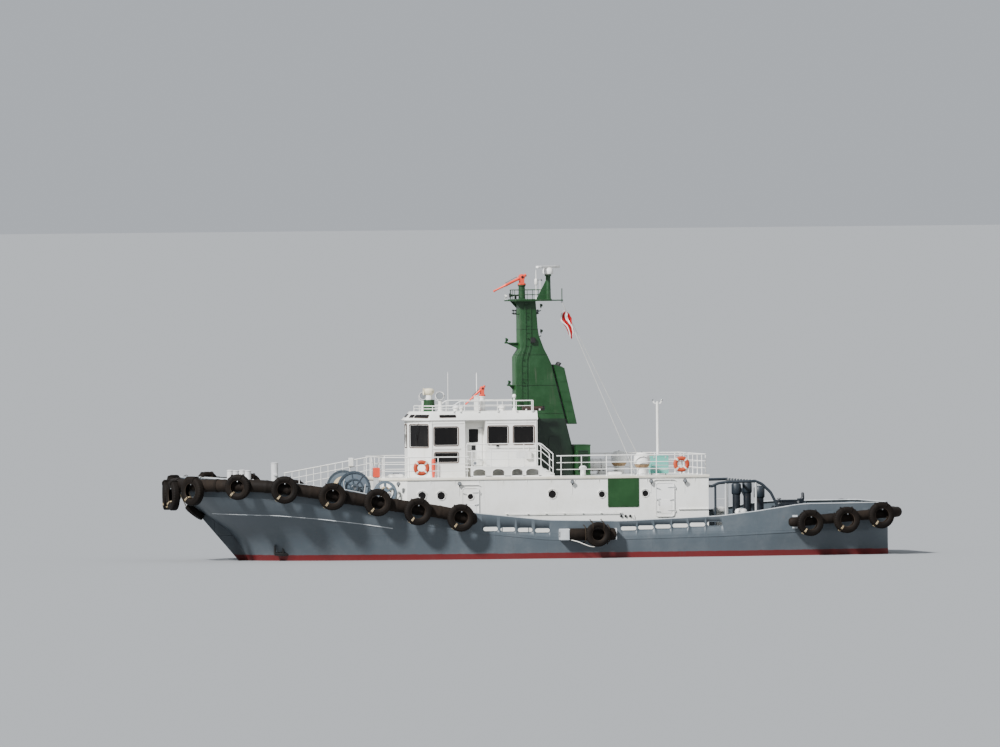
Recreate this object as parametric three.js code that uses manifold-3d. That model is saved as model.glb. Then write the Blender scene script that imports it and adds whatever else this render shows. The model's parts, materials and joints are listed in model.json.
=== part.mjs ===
// Harbour tug, whole and afloat: hull, fenders, superstructure, mast, deck gear and twin steerable drives.
// Sizes are in millimetres. +X points to the bow, +Y to port and +Z up.
// The origin is on the waterline, on the centreline, at the middle of the steel hull's length.
import * as THREE from 'three';
import { mergeVertices } from 'three/addons/utils/BufferGeometryUtils.js';
import Module from 'manifold-3d';

const wasm = await Module();
wasm.setup();

// Fits
const SEAT = 0.3;            // gap between a piece and what it rests on
const RUN = 0.4;             // gap between a turning piece and its bearing face
const SWING = 5;             // gap between a closed door and its frame
const SUNK = 40;             // how far a joined piece reaches into its carrier
const WELD = 0.01;           // corners closer than this are one

// Roundness
const BAR_SIDES = 4;
const DRUM_SIDES = 12;
const NOZZLE_SIDES = 16;
const POST_SIDES = 8;
const TYRE_SIDES = 10;
const RING_SIDES = 12;

const SIDES = [{ name: 'port', sign: 1 }, { name: 'starboard', sign: -1 }];

const HULL = {
  aft: -15850, fore: 15850, half: 4600,
  bowFrom: 9000, bowPower: 2.5,
  taperFrom: -8000, taper: 700, taperPower: 1.3, corner: 600,
  waterHalf: 4500, waterBowFrom: 1000, waterTaper: 1100,
  keel: -2700, riseFrom: -5000, rise: 2100,
  fullSection: 3, fineSection: 2, fineFrom: 2000,
  knuckleHeight: 0.8, knuckleBreadth: 0.86, flareHeight: 0.4, flareBreadth: 0.36, stemBar: 40,
};
const BILGE_DEGREES = [72, 45, 20];

// Stations along the deck edge, from the stern to the stem
const STATIONS = [
  -15850, -15770, -15550, -15250, -13500, -11700, -9700, -8000, -5500, -3400, 0, 1700, 3300, 4800,
  6800, 8000, 9000, 10000, 11000, 12000, 13000, 13900, 14600, 15200, 15600, 15780, 15850,
];

// Profile of the stem, the deck at side and the bulwark's top
const STEM = [
  { z: -2700, x: 9800 }, { z: -2400, x: 10900 }, { z: -1800, x: 11800 }, { z: -1000, x: 12450 },
  { z: 0, x: 12880 }, { z: 440, x: 13100 }, { z: 880, x: 13350 }, { z: 1380, x: 13800 },
  { z: 1820, x: 14400 }, { z: 2270, x: 15100 }, { z: 2950, x: 15850 },
];
const DECK = [
  { x: -15850, z: 1200 }, { x: -11700, z: 1180 }, { x: -8000, z: 1020 }, { x: -3400, z: 930 },
  { x: 0, z: 950 }, { x: 3300, z: 1300 }, { x: 6800, z: 1850 }, { x: 9000, z: 2280 },
  { x: 11000, z: 2600 }, { x: 13000, z: 2830 }, { x: 15850, z: 2950 },
];
const BULWARK = [
  { x: -15850, z: 2370 }, { x: -11700, z: 2340 }, { x: -9700, z: 2050 }, { x: -8000, z: 1850 },
  { x: -3400, z: 1670 }, { x: 0, z: 1750 }, { x: 3300, z: 2110 }, { x: 4800, z: 2390 },
  { x: 6800, z: 2690 }, { x: 9000, z: 3200 }, { x: 11000, z: 3480 }, { x: 15200, z: 3800 },
  { x: 15850, z: 3800 },
];
const BULWARK_THICK = 90;
const SLOT_REACH = [3600, 5000];
// How far the block that beds the fenders reaches below the deck and above the bulwark
const BED = { below: 600, above: 300 };
const EDGE_STEP = 20;

// Freeing slots through each bulwark: first and last x, height of the middle at each end
const SLOT_ROWS = [
  { count: 4, fore: 2930, aft: -230, zFore: 1380, zAft: 1260, bar: 60, tall: 200 },
  { count: 6, fore: -3360, aft: -8090, zFore: 1300, zAft: 1500, bar: 70, tall: 120 },
];

// The rail that stands on the starboard bulwark beside the towing winch
const FORE_RAIL = {
  aft: 6440, fore: 10440, topAft: 4550, topFore: 3840,
  posts: [6440, 7440, 8440, 9440, 10440], drops: [0, 300, 600],
};

// Rubber fender round the bow and its tyres
const BOW_FENDER = { radius: 300, sides: 6, aft: 3300 };
const BOW_FENDER_LINE = [
  { x: 3300, z: 1790 }, { x: 4800, z: 2150 }, { x: 6800, z: 2460 }, { x: 9000, z: 2830 },
  { x: 11000, z: 3180 }, { x: 13000, z: 3430 }, { x: 15850, z: 3450 },
];
const TYRE = { thick: 360, hole: 0.52, stand: 370, crown: 0.75, sunk: 60 };
// Tyres on each side of the bow: deck-edge x, height of the centre, outer diameter
const BOW_TYRES = [
  { x: 15810, z: 2990, across: 1390 }, { x: 15300, z: 3200, across: 1350 },
  { x: 13740, z: 3380, across: 1190 }, { x: 11900, z: 3240, across: 1260 },
  { x: 9870, z: 2920, across: 1260 }, { x: 7830, z: 2630, across: 1260 },
  { x: 6000, z: 2200, across: 1260 }, { x: 4050, z: 1900, across: 1260 },
];
// The tyre that leans on the stem, under the fender, and the link that it hangs by
const STEM_TYRE = { x: 15310, z: 2215, across: 950, thick: 300, lean: 38 };
const STEM_LINK = { low: { x: 15660, z: 2380 }, high: { x: 16100, z: 3300 }, radius: 50 };

const SIDE_FENDER = {
  z: 1080, radius: 280, bedded: 30, fore: -900, aft: -3060, tyreX: -2200, tyreAcross: 1130, plate: 380,
  plateIn: 60, plateShare: 0.7,
};
const STERN_FENDER = {
  zFore: 1520, zAft: 1900, radius: 240, off: 420, sides: 6, fore: -11300,
  brackets: [-11300, -13000, -14600], bracketWide: 160, bracketIn: 60, bracketShare: 0.8,
  sternBracket: [1200, 1400],
};
const STERN_TYRES = [
  { x: -11880, z: 1480, across: 1220 }, { x: -13580, z: 1590, across: 1220 },
  { x: -15200, z: 1780, across: 1220 },
];

const SKEG = { half: 120, profile: [[2500, -2300], [-9400, -1200], [-8900, -3350], [-2600, -3350]] };

const DRIVE = {
  x: -12400, y: 1900, padRadius: 800, padTop: -700, padFace: -1640,
  collarRadius: 480, collarFace: -1770, legRadius: 230, centre: -2800,
  podRadius: 260, podFore: 680, podAft: -430,
  nozzleFore: -330, nozzleAft: -1130, nozzleOuter: 1050, nozzleInner: 920, nozzleThroat: 900,
  hubAft: -980, hubRadius: 190, hubFoot: 0.7, hubNose: 160, propX: -760, tip: 860, blades: 4, bladeThick: 45,
  bladeRoot: 300, bladeWide: 560, bladeBelly: 560, bladeShoulder: 800, pitch: 28,
};
// Pod and nozzle as radius and distance aft of the drive's axis, and the struts that hold the nozzle
const POD = [[0, -680], [156, -590], [260, -350], [260, 280], [190, 430], [0, 430]];
const NOZZLE = [[900, 590], [920, 1130], [980, 1130], [1050, 630], [1050, 410], [990, 330], [900, 590]];
const STRUTS = {
  top: { x: [-710, 150], half: 130, over: 20, sunk: 60 },
  low: { profile: [[-360, -200], [20, -200], [-330, -980], [-420, -980]], half: 50 },
};

const HOUSE = {
  outline: [[7150, 2400], [6170, 3400], [-7620, 3400]],
  wall: 120, foot: 700, top: 3570, deckTop: 3670, eave: 45,
};
// Weathertight doors on each side of the house: opening, and the height of its sill and head
const HOUSE_DOORS = [
  { name: 'fore', aft: 2930, fore: 3650, sill: 1740, head: 3180 },
  { name: 'aft', aft: -6010, fore: -5210, sill: 1840, head: 3320 },
];
const DOOR = {
  lap: 40, thick: 50, pin: 16, pinSides: 6, knuckle: 60, lugIn: 160, strap: 70, off: 45, leaf: 9, rooted: 10,
};
// How far the tools that cut openings reach inside and outside a wall
const WALL_CUT = { inner: 250, outer: 100 };
const BOARD = { aft: -4420, fore: -3010, low: 2270, high: 3560, thick: 25, bedded: 20 };

// The wheelhouse, its recessed door bays and its windows
const BRIDGE = {
  outline: [
    [5620, 400], [4820, 1900], [3240, 1900], [3240, 1350], [2300, 1350], [2300, 1900], [-70, 1900],
  ],
  wall: 80, top: 6220, floorLow: 4090, floorTop: 4150, glassThick: 14, glassGap: 20,
  legs: { x: [600, 4300], y: [900, 1000] },
};
const BRIDGE_WINDOWS = [
  { at: 'side', aft: 3560, fore: 4660, low: 5100, high: 5930 },
  { at: 'side', aft: 3560, fore: 4640, low: 4330, high: 4790 },
  { at: 'side', aft: 1270, fore: 2200, low: 5120, high: 5950 },
  { at: 'side', aft: 80, fore: 1030, low: 5120, high: 5950 },
];
const FRONT_WINDOW = { low: 5020, high: 6040, half: 290 };
const CHAMFER_WINDOW = { half: 700, low: 5020, high: 6040 };
const BACK_WINDOW = { half: 700, low: 5120, high: 5950 };
const BRIDGE_DOOR = { aft: 2420, fore: 3120, low: 4170, high: 6060, thick: 45, lap: 30, pinShift: 20 };
const BRIDGE_DOOR_WINDOW = { aft: 2540, fore: 3000, low: 5210, high: 5840 };
const BRIDGE_ROOF = {
  eave: BRIDGE.top + SEAT, shoulder: 6260, top: 6630, lip: 130, aftLip: 20, slope: 330,
  corner: 0.4, sideLip: 40, hollow: { fore: 4700, half: 1700, top: 6540 },
};
const COWL = { x: 4550, drum: 250, drumTop: 7150, neck: 150, neckTop: 7680 };
const AERIALS = [
  { x: 3577, y: -600, top: 8400, radius: 14 }, { x: 2203, y: -900, top: 8350, radius: 24 },
  { x: 803, y: 900, top: 7360, radius: 40 },
];
const ROOF_TUBE = { aft: -520, fore: 530, y: 1150, radius: 95, seat: 0.8 };
// The bar round the roof: low in front, then higher along each side
const ROOF_RAIL = [
  { x: 5120, y: 720, z: 6880 }, { x: 4650, y: 1500, z: 6880 }, { x: 3750, y: 1800, z: 6880 },
  { x: 3450, y: 1800, z: 7090 }, { x: 2610, y: 1800, z: 7090 }, { x: 1730, y: 1800, z: 7090 },
  { x: 701, y: 1800, z: 7090 }, { x: 167, y: 1800, z: 7090 },
];

const CONSOLE = { aft: 3900, fore: 4650, half: 1150, top: 5030, rake: 280 };
const CHAIR = { x: 2900, half: 260, seat: 4750, back: 5320, post: 60, cushion: 90, sunk: 20 };

const WING = {
  aft: -20, fore: 3235, inner: 1905, outer: 3300, web: 60,
  arches: [
    { aft: 2560, fore: 3140 }, { aft: 1700, fore: 2254 }, { aft: 860, fore: 1368 }, { aft: 129, fore: 723 },
  ],
  archLow: 3720, archHigh: 4050, archCorner: 140, posts: [2300, 1505, 800], railEnd: 60,
  railTop: 5170, barDrop: 500, steps: 3, tread: 190, stepThick: 120, stepInner: 2350, bayGap: 5,
};
const RAIL = {
  radius: 26, post: 18, top: 4600, mids: [4290, 3980], inset: 80, corner: 30, end: 90, spacing: 1900,
};

// The mast stands on the boat deck behind the wheelhouse and steps forward over its roof.
const MAST_FOOT = HOUSE.deckTop + SEAT;
const MAST_STEP = BRIDGE_ROOF.top + SEAT;
const MAST = {
  half: 520,
  profile: [
    [-140, MAST_FOOT], [-140, MAST_STEP], [640, MAST_STEP], [640, 9050], [430, 9380], [430, 11560],
    [-300, 11560], [-400, 10100], [-720, 9250], [-950, 8880],
    [-1670, 5980], [-1980, 4700], [-1980, MAST_FOOT],
  ],
};
const FUNNEL = {
  half: 450, profile: [[-1090, 8690], [-1600, 8530], [-2160, 5990], [-1750, 5990]],
  brackets: [{ low: 6200, high: 6320 }, { low: 8200, high: 8320 }],
  bracketFore: -900, bracketAft: -1800, bracketHalf: 300,
};
const MAST_TOP = {
  z: 11560, thick: 60, aft: -1000, fore: 760, half: 850, railTop: 12070, railInset: 50,
  armAft: -1640, armFore: 1060, armHalf: 60, stalkX: -960, stalkTop: 12760, stalkRadius: 110,
  gussetReach: 560, gussetTop: 12500, gussetHalf: 30,
  aerialX: -407, aerialTop: 12980, aerialRadius: 20, eyeTall: 560, eyeRadius: 22,
};
const RADAR = {
  turnTop: 13060, gearRadius: 240, barHalf: 860, barDeep: 90, barTall: 110, sunk: 20, degrees: 45,
};
const LAMP_ARMS = [
  { z: 9600, thick: 100, reach: 1055, from: 430, half: 90 },
  { z: 7680, thick: 100, reach: 950, from: 640, half: 120 },
];

// Water monitors: where each stands, how far its barrel droops at rest
const MONITORS = [
  { name: 'mast', x: 250, y: 0, neck: 12300, pivot: 12650, barrel: 1450, droop: 26, radius: 150 },
  { name: 'roof', x: 2200, y: 500, neck: 7300, pivot: 7640, barrel: 1050, droop: 43, radius: 115 },
];
const SEARCHLIGHTS = [
  { name: 'port', x: 4130, y: 500, post: 7060, centre: 7330, lamp: 190, aim: 72 },
  { name: 'starboard', x: 4700, y: -600, post: 7060, centre: 7330, lamp: 175, aim: 72 },
];
// Their common sizes: a monitor's as shares of its radius or its barrel's length, a searchlight's as lengths
const MONITOR = {
  body: 0.95, trunnion: 0.9, boss: 0.4, cheek: 0.6, saddle: 1.3, saddleTall: 90, bridgeLow: 10, fork: 60,
  breech: 0.42, breechTo: 0.55, muzzle: 0.3, muzzleFrom: 0.5, tail: 1.5, tailRadius: 0.5,
};
const SEARCHLIGHT = {
  post: 85, foot: 90, footTall: 40, bridge: [10, 50], bridgeHalf: 30, arm: 40, armGap: 8,
  canHalf: 150, pin: 22, pinOut: 20,
};

const ENGINE_CASING = { aft: -2700, fore: -2010, half: 800, top: 5060 };
const DECK_VENT = { x: -4670, y: 2880, neck: 230, cap: 360, capLow: 4180, brim: 160, crown: 0.6, top: 4690 };
const LOCKER = { aft: -6030, fore: -5200, low: 1600, high: 2200, top: 4540 };
const LIGHT_POLE = {
  x: -5930, y: 0, radius: 60, top: 6900, fork: 200, forkFoot: 140, forkDrop: 20, forkTop: 7060, forkRadius: 28,
};

const LIFEBUOY = { ring: 290, tube: 76, sides: 6 };
const LIFEBUOYS = [
  { name: 'fore', x: 5510, z: 4130, sides: ['port'] },
  { name: 'aft', x: -6380, z: 4170, sides: ['port', 'starboard'] },
];

const FLAG = {
  x: -1860, y: 150, z: 10490, wide: 420, tall: 1450, thick: 60, degrees: 14,
  toggles: [11100, 10250], toggle: 20, toggleIn: 5,
};
const HALYARD = {
  radius: 9, headX: -1590, headZ: 11500, feet: [{ x: -4800, y: 500 }, { x: -5500, y: -500 }], cleat: 60,
  shackle: { along: 25, across: 15, low: 20 },
};

const WINCH = {
  x: 8270, z: 3230, shaft: 80, bore: 81, boreSides: 24, drum: 430, flange: 770, flangeThick: 45,
  half: 1500, cheekIn: 1560, cheekThick: 110, cheekHalf: 480, headHalf: 190, foot: 1500, spokes: 6,
  rim: 660, sill: 160, head: 150, spokeFoot: 60, spokeGap: 0.16, spokeTaper: 1.2,
  motor: { half: 380, outer: 2350, gap: 10, over: 200 }, axle: { inner: 20, outer: 1800, radius: 160 },
};
const REEL = {
  x: 7150, z: 3060, inner: 3060, outer: 3440, flange: 500, drum: 200, side: 40, bracket: 90,
  arm: { aft: 6900, inner: 2250, outer: 2450 },
};

const FORE_BITTS = { y: 800, posts: [13000, 13550], radius: 140, top: 4080, bar: 3600, foot: 2500 };
const TOW_POST = {
  x: 11650, radius: 160, top: 4400, foot: 2400, cross: 3850, crossHalf: 420, crossRadius: 70,
  plate: 360, plateTall: 100,
};
const STERN_BITTS = { y: 2600, posts: [-15250, -14800], radius: 110, top: 2100, bar: 1800, foot: 1000 };
const BITT_CAP = { over: 50, tall: 60, reach: 1.9 };

const ANCHOR = {
  x: 11670, z: 430, shank: [-60, 280], shankOut: 2380, crown: [-190, -40], crownOut: 2350, inner: 1890,
  fluke: 420, arm: 300, thick: 90,
};

const TOW_ARCH = {
  half: 3500, tube: 65, post: 52, foot: 800,
  line: [
    [-7760, 3150], [-8050, 3290], [-8700, 3340], [-9750, 3360], [-10050, 3230], [-10450, 2850], [-10760, 2220],
    [-10900, 1000],
  ],
  posts: [-7910, -8390, -9770], cross: [0, 3],
};
const VENTS = [
  { x: -9700, radius: 220, top: 3250 }, { x: -10200, radius: 220, top: 3300 },
  { x: -10760, radius: 250, top: 3080 },
];
const VENT_ROW = { y: -900, low: 900, plate: 60, cap: 100, capShare: 0.62, margin: 330 };
const TOW_GEAR = {
  x: -11500, foot: 900, footHalf: 700, top: 2180, topHalf: 260, half: 380,
  pin: 60, pinTop: 2530, pinSides: 24,
};
const TOW_HOOK = {
  length: 1150, low: 2230, high: 2450, arm: [250, 160], armHalf: 130, clawHalf: 170, clawLong: 300,
  clawTop: 2510, tipLong: 110, tipTop: 2780, slack: 1,
};

// Finishes: colour, roughness and metalness of each painted or bare surface
function paint(color, roughness = 0.5, metalness = 0) {
  return new THREE.MeshStandardMaterial({ color, roughness, metalness });
}
const FINISH = {
  hull: paint(0x77838c, 0.55), white: paint(0xe9e7e0, 0.45), mast: paint(0x1d6b32, 0.45),
  rubber: paint(0x1b1613, 0.9), steel: paint(0x6d7880, 0.5, 0.4),
  orange: paint(0xd8431f, 0.55), red: paint(0xd22a16, 0.4), teal: paint(0x3f9c86, 0.6),
  navy: paint(0x16222d, 0.55), bollard: paint(0xb2b6b8, 0.5, 0.3), glass: paint(0x1d1712, 0.1),
  bronze: paint(0xa98645, 0.35, 0.9), cloth: paint(0xc8303a, 0.8), covering: paint(0x3a3f45, 0.7),
};

// A closed triangle mesh as a solid to join and cut, its faces turned outwards.
function solid(geometry) {
  const bare = geometry.clone();
  bare.deleteAttribute('normal');
  bare.deleteAttribute('uv');
  const merged = mergeVertices(bare, WELD);
  const corners = merged.index.array;
  const position = merged.attributes.position;
  const kept = [];
  let volume = 0;
  const [a, b, c] = [new THREE.Vector3(), new THREE.Vector3(), new THREE.Vector3()];
  for (let i = 0; i < corners.length; i += 3) {
    const [p, q, r] = [corners[i], corners[i + 1], corners[i + 2]];
    if (p === q || q === r || r === p) continue;
    kept.push([p, q, r]);
    a.fromBufferAttribute(position, p);
    b.fromBufferAttribute(position, q);
    c.fromBufferAttribute(position, r);
    volume += a.dot(b.cross(c));
  }
  const faces = volume < 0 ? kept.map(([p, q, r]) => [p, r, q]) : kept;
  return new wasm.Manifold(new wasm.Mesh({
    numProp: 3,
    vertProperties: new Float32Array(position.array),
    triVerts: new Uint32Array(faces.flat()),
  }));
}

// The triangles of a solid as a three.js geometry.
function surface(body) {
  const mesh = body.getMesh();
  const geometry = new THREE.BufferGeometry();
  geometry.setAttribute('position', new THREE.BufferAttribute(new Float32Array(mesh.vertProperties), 3));
  geometry.setIndex(new THREE.BufferAttribute(new Uint32Array(mesh.triVerts), 1));
  return geometry;
}

function join(...bodies) {
  return bodies.reduce((whole, body) => whole.add(body));
}

function cut(body, ...tools) {
  return tools.reduce((left, tool) => left.subtract(tool), body);
}

// The same solid on the other side of the centreline.
function mirrored(body) {
  return solid(surface(body).scale(1, -1, 1));
}

function bothSides(body) {
  return join(body, mirrored(body));
}

// A box from its low and high ends along each axis.
function block(x, y, z) {
  const geometry = new THREE.BoxGeometry(x[1] - x[0], y[1] - y[0], z[1] - z[0]);
  return solid(geometry.translate((x[0] + x[1]) / 2, (y[0] + y[1]) / 2, (z[0] + z[1]) / 2));
}

// A round bar between two points.
function rod(from, to, radius, sides = BAR_SIDES) {
  const start = new THREE.Vector3(...from);
  const along = new THREE.Vector3(...to).sub(start);
  const axis = new THREE.Vector3(0, 1, 0);
  const turn = new THREE.Quaternion().setFromUnitVectors(axis, along.clone().normalize());
  const geometry = new THREE.CylinderGeometry(radius, radius, along.length(), sides);
  const middle = start.addScaledVector(along, 0.5);
  return solid(geometry.applyQuaternion(turn).translate(middle.x, middle.y, middle.z));
}

// One bar bent through a list of points, mitred at each bend, and carried back to its start if closed.
function railing(points, radius, closed = false) {
  const path = points.map((point) => new THREE.Vector3(...point));
  const ends = closed ? [...path.slice(1), path[0]] : path.slice(1);
  const runs = ends.map((point, i) => point.clone().sub(path[i]).normalize());
  const across = new THREE.Vector3().crossVectors(runs[0], new THREE.Vector3(0, 0, 1)).normalize();
  const upward = new THREE.Vector3().crossVectors(across, runs[0]);
  const onto = (ring, point, run, next) => {
    const mitre = run.clone().add(next).normalize();
    return ring.map((corner) => {
      const reach = point.clone().sub(corner).dot(mitre) / run.dot(mitre);
      return corner.clone().addScaledVector(run, reach);
    });
  };
  const square = Array.from({ length: BAR_SIDES }, (_, i) => {
    const angle = 2 * Math.PI * (i + 0.5) / BAR_SIDES;
    const corner = path[0].clone().addScaledVector(across, radius * Math.cos(angle));
    return corner.addScaledVector(upward, radius * Math.sin(angle));
  });
  const rings = [closed ? onto(square, path[0], runs[0], runs[runs.length - 1]) : square];
  runs.slice(0, closed ? -1 : undefined).forEach((run, i) => {
    rings.push(onto(rings[i], path[i + 1], run, runs[i + 1] ?? run));
  });
  return loft(rings.map((corners) => corners.map((corner) => corner.toArray())), closed);
}

// A flat outline in X and Y, raised from one height to another.
function slab(outline, low, high) {
  const shape = new THREE.Shape(outline.map(([x, y]) => new THREE.Vector2(x, y)));
  const geometry = new THREE.ExtrudeGeometry(shape, { depth: high - low, bevelEnabled: false });
  return solid(geometry.translate(0, 0, low));
}

// A flat outline in X and Z, carried across from one y to another.
function web(outline, inner, outer) {
  const shape = new THREE.Shape(outline.map(([x, z]) => new THREE.Vector2(x, z)));
  const geometry = new THREE.ExtrudeGeometry(shape, { depth: outer - inner, bevelEnabled: false });
  return solid(geometry.rotateX(Math.PI / 2).translate(0, outer, 0));
}

// A profile of radius and height turned about +Z.
function turnedGeometry(profile, sides) {
  const points = profile.map(([radius, height]) => new THREE.Vector2(radius, height));
  return new THREE.LatheGeometry(points, sides).rotateX(Math.PI / 2);
}

// The closed skin over a row of rings with equal corner counts, capped at its ends or led back to its start.
function loft(rings, closed = false) {
  const count = rings[0].length;
  const points = rings.flat();
  const faces = [];
  for (let ring = 0; ring < rings.length - (closed ? 0 : 1); ring += 1) {
    for (let i = 0; i < count; i += 1) {
      const next = (i + 1) % count;
      const [here, beyond] = [ring * count, ((ring + 1) % rings.length) * count];
      faces.push([here + i, here + next, beyond + next], [here + i, beyond + next, beyond + i]);
    }
  }
  for (const [ring, flip] of closed ? [] : [[0, true], [rings.length - 1, false]]) {
    const centre = points.length;
    const sum = rings[ring].reduce((total, p) => total.map((value, axis) => value + p[axis]), [0, 0, 0]);
    points.push(sum.map((value) => value / count));
    for (let i = 0; i < count; i += 1) {
      const [a, b] = [ring * count + i, ring * count + (i + 1) % count];
      faces.push(flip ? [centre, b, a] : [centre, a, b]);
    }
  }
  const geometry = new THREE.BufferGeometry();
  geometry.setAttribute('position', new THREE.Float32BufferAttribute(points.flat(), 3));
  geometry.setIndex(faces.flat());
  return solid(geometry);
}

// The value of one column of a table where another has a given value, on straight lines between rows.
function lookup(table, from, value, to) {
  const after = table.findIndex((row) => row[from] >= value);
  if (after === -1) return table[table.length - 1][to];
  if (after === 0) return table[0][to];
  const [low, high] = [table[after - 1], table[after]];
  return THREE.MathUtils.mapLinear(value, low[from], high[from], low[to], high[to]);
}

const stemX = (z) => lookup(STEM, 'z', z, 'x');
const deckZ = (x) => lookup(DECK, 'x', x, 'z');
const bulwarkZ = (x) => lookup(BULWARK, 'x', x, 'z');

// Half breadth at the deck edge: a squared bow, straight sides, a slight taper aft and a round corner.
function deckHalf(x) {
  if (x > HULL.bowFrom) {
    const share = Math.min((x - HULL.bowFrom) / (HULL.fore - HULL.bowFrom), 1);
    return HULL.half * (1 - share ** HULL.bowPower) ** (1 / HULL.bowPower);
  }
  const aft = Math.max((HULL.taperFrom - x) / (HULL.taperFrom - HULL.aft), 0);
  const side = HULL.half - HULL.taper * aft ** HULL.taperPower;
  const turn = Math.max((HULL.aft + HULL.corner - x) / HULL.corner, 0);
  return side - HULL.corner * (1 - Math.sqrt(Math.max(1 - turn ** 2, 0)));
}

// Half breadth at the waterline: an elliptical bow and a tapered run aft.
function waterHalf(x) {
  const share = Math.max((x - HULL.waterBowFrom) / (stemX(0) - HULL.waterBowFrom), 0);
  const aft = Math.max((HULL.taperFrom - x) / (HULL.taperFrom - HULL.aft), 0);
  const side = HULL.waterHalf - HULL.waterTaper * aft ** HULL.taperPower;
  return side * Math.sqrt(Math.max(1 - share ** 2, 0));
}

// One ring of the hull: keel, bilge, waterline, flare, knuckle and deck edge on each side.
function hullRing(station) {
  const share = (station - HULL.aft) / (HULL.fore - HULL.aft);
  const deck = deckZ(station);
  const bowZ = (z) => (z > 0 ? z * deckZ(HULL.fore) / deck : z);
  const along = (z) => station - share * (HULL.fore - stemX(bowZ(z)));
  const water = Math.max(waterHalf(along(0)), HULL.stemBar);
  const edge = Math.max(deckHalf(station), HULL.stemBar);
  const keel = HULL.keel + HULL.rise * Math.max((HULL.riseFrom - station) / (HULL.riseFrom - HULL.aft), 0);
  const fine = Math.max((station - HULL.fineFrom) / (HULL.fore - HULL.fineFrom), 0);
  const power = 2 / THREE.MathUtils.lerp(HULL.fullSection, HULL.fineSection, fine);
  const knuckle = water + (edge - water) * HULL.knuckleBreadth;
  const half = BILGE_DEGREES.map((degrees) => {
    const angle = THREE.MathUtils.degToRad(degrees);
    return [water * Math.cos(angle) ** power, keel * Math.sin(angle) ** power];
  });
  half.push([water, 0]);
  half.push([water + (edge - water) * HULL.flareBreadth, deck * HULL.flareHeight]);
  half.push([knuckle, deck * HULL.knuckleHeight]);
  half.push([edge, deck]);
  const port = half.map(([y, z]) => [along(z), y, z]);
  const starboard = port.map(([x, y, z]) => [x, -y, z]).reverse();
  return [[along(keel), 0, keel], ...port, ...starboard];
}

// The deck edge in plan at a station, with the outward direction there.
function edgeAt(x) {
  const low = Math.max(x - EDGE_STEP, HULL.aft);
  const high = Math.min(x + EDGE_STEP, HULL.fore);
  const along = new THREE.Vector2(high - low, deckHalf(high) - deckHalf(low)).normalize();
  return { x, y: deckHalf(x), out: new THREE.Vector2(-along.y, along.x) };
}

// The same edge as a closed run down the port side, from the stem to the middle of the stern.
function portEdge(aftmost = HULL.aft) {
  const run = STATIONS.filter((x) => x >= aftmost).reverse().map(edgeAt);
  run[0] = { x: HULL.fore, y: SEAT / 2, out: new THREE.Vector2(1, 0) };
  if (aftmost > HULL.aft) return run;
  run[run.length - 1].out = new THREE.Vector2(-1, 0.5).normalize();
  run.push({ x: HULL.aft, y: SEAT / 2, out: new THREE.Vector2(-1, 0) });
  return run;
}

const hullBody = loft(STATIONS.map(hullRing));

// The hull moved by the gap that pieces standing on it, or hung under it, keep.
const hullForDeck = solid(surface(hullBody).translate(0, 0, SEAT));
const hullForKeel = solid(surface(hullBody).translate(0, 0, -SEAT));

// The sides as a full block, a little larger, that beds the fenders.
const sideBlock = loft(STATIONS.map((station) => {
  const half = Math.max(deckHalf(station), HULL.stemBar) + SEAT;
  const x = station + SEAT * Math.sign(station) * (Math.abs(station) === HULL.fore ? 1 : 0);
  const [low, high] = [deckZ(station) - BED.below, bulwarkZ(station) + BED.above];
  return [[x, half, low], [x, half, high], [x, -half, high], [x, -half, low]];
}));

const tug = new THREE.Group();

// Adds one named piece to a group.
function add(name, body, material, group = tug) {
  const mesh = new THREE.Mesh(surface(body), material);
  mesh.name = name;
  group.add(mesh);
  return mesh;
}

// Hull with the round pads that the drives hang from
function makeHull() {
  const pads = SIDES.map(({ sign }) => {
    const centre = [DRIVE.x, sign * DRIVE.y];
    return rod([...centre, DRIVE.padFace], [...centre, DRIVE.padTop], DRIVE.padRadius, DRUM_SIDES);
  });
  add('hull', join(hullBody, ...pads), FINISH.hull);
  const keel = web(SKEG.profile, -SKEG.half, SKEG.half);
  add('skeg', cut(keel, hullForKeel), FINISH.hull);
}

// The rail beside the towing winch, as it would stand to port
function foreRail() {
  const middle = (x) => {
    const edge = edgeAt(x);
    return [x - edge.out.x * BULWARK_THICK / 2, edge.y - edge.out.y * BULWARK_THICK / 2];
  };
  const { aft, fore, topAft, topFore } = FORE_RAIL;
  const topZ = (x) => THREE.MathUtils.mapLinear(x, aft, fore, topAft, topFore);
  const posts = FORE_RAIL.posts.map((x) => (
    rod([...middle(x), bulwarkZ(x) - SUNK], [...middle(x), topZ(x)], RAIL.post)
  ));
  const bars = FORE_RAIL.drops.map((drop) => {
    const over = FORE_RAIL.posts.filter((x) => topZ(x) - drop > bulwarkZ(x));
    return railing(over.map((x) => [...middle(x), topZ(x) - drop]), RAIL.radius);
  });
  return join(...posts, ...bars);
}

function makeBulwarks() {
  const rings = portEdge().map(({ x, y, out }) => {
    const inner = [x - out.x * BULWARK_THICK, Math.max(y - out.y * BULWARK_THICK, SEAT / 2)];
    const [low, high] = [deckZ(x) + SEAT, bulwarkZ(x)];
    return [[x, y, low], [x, y, high], [...inner, high], [...inner, low]];
  });
  const slots = SLOT_ROWS.flatMap((row) => {
    const pitch = (row.fore - row.aft) / row.count;
    return Array.from({ length: row.count }, (_, i) => {
      const fore = row.fore - pitch * i;
      const z = THREE.MathUtils.lerp(row.zFore, row.zAft, (i + 0.5) / row.count);
      return block([fore - pitch + row.bar, fore], SLOT_REACH, [z - row.tall / 2, z + row.tall / 2]);
    });
  });
  const port = cut(loft(rings), ...slots);
  add('bulwark_port', port, FINISH.hull);
  add('bulwark_starboard', mirrored(join(port, foreRail())), FINISH.hull);
}

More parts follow.
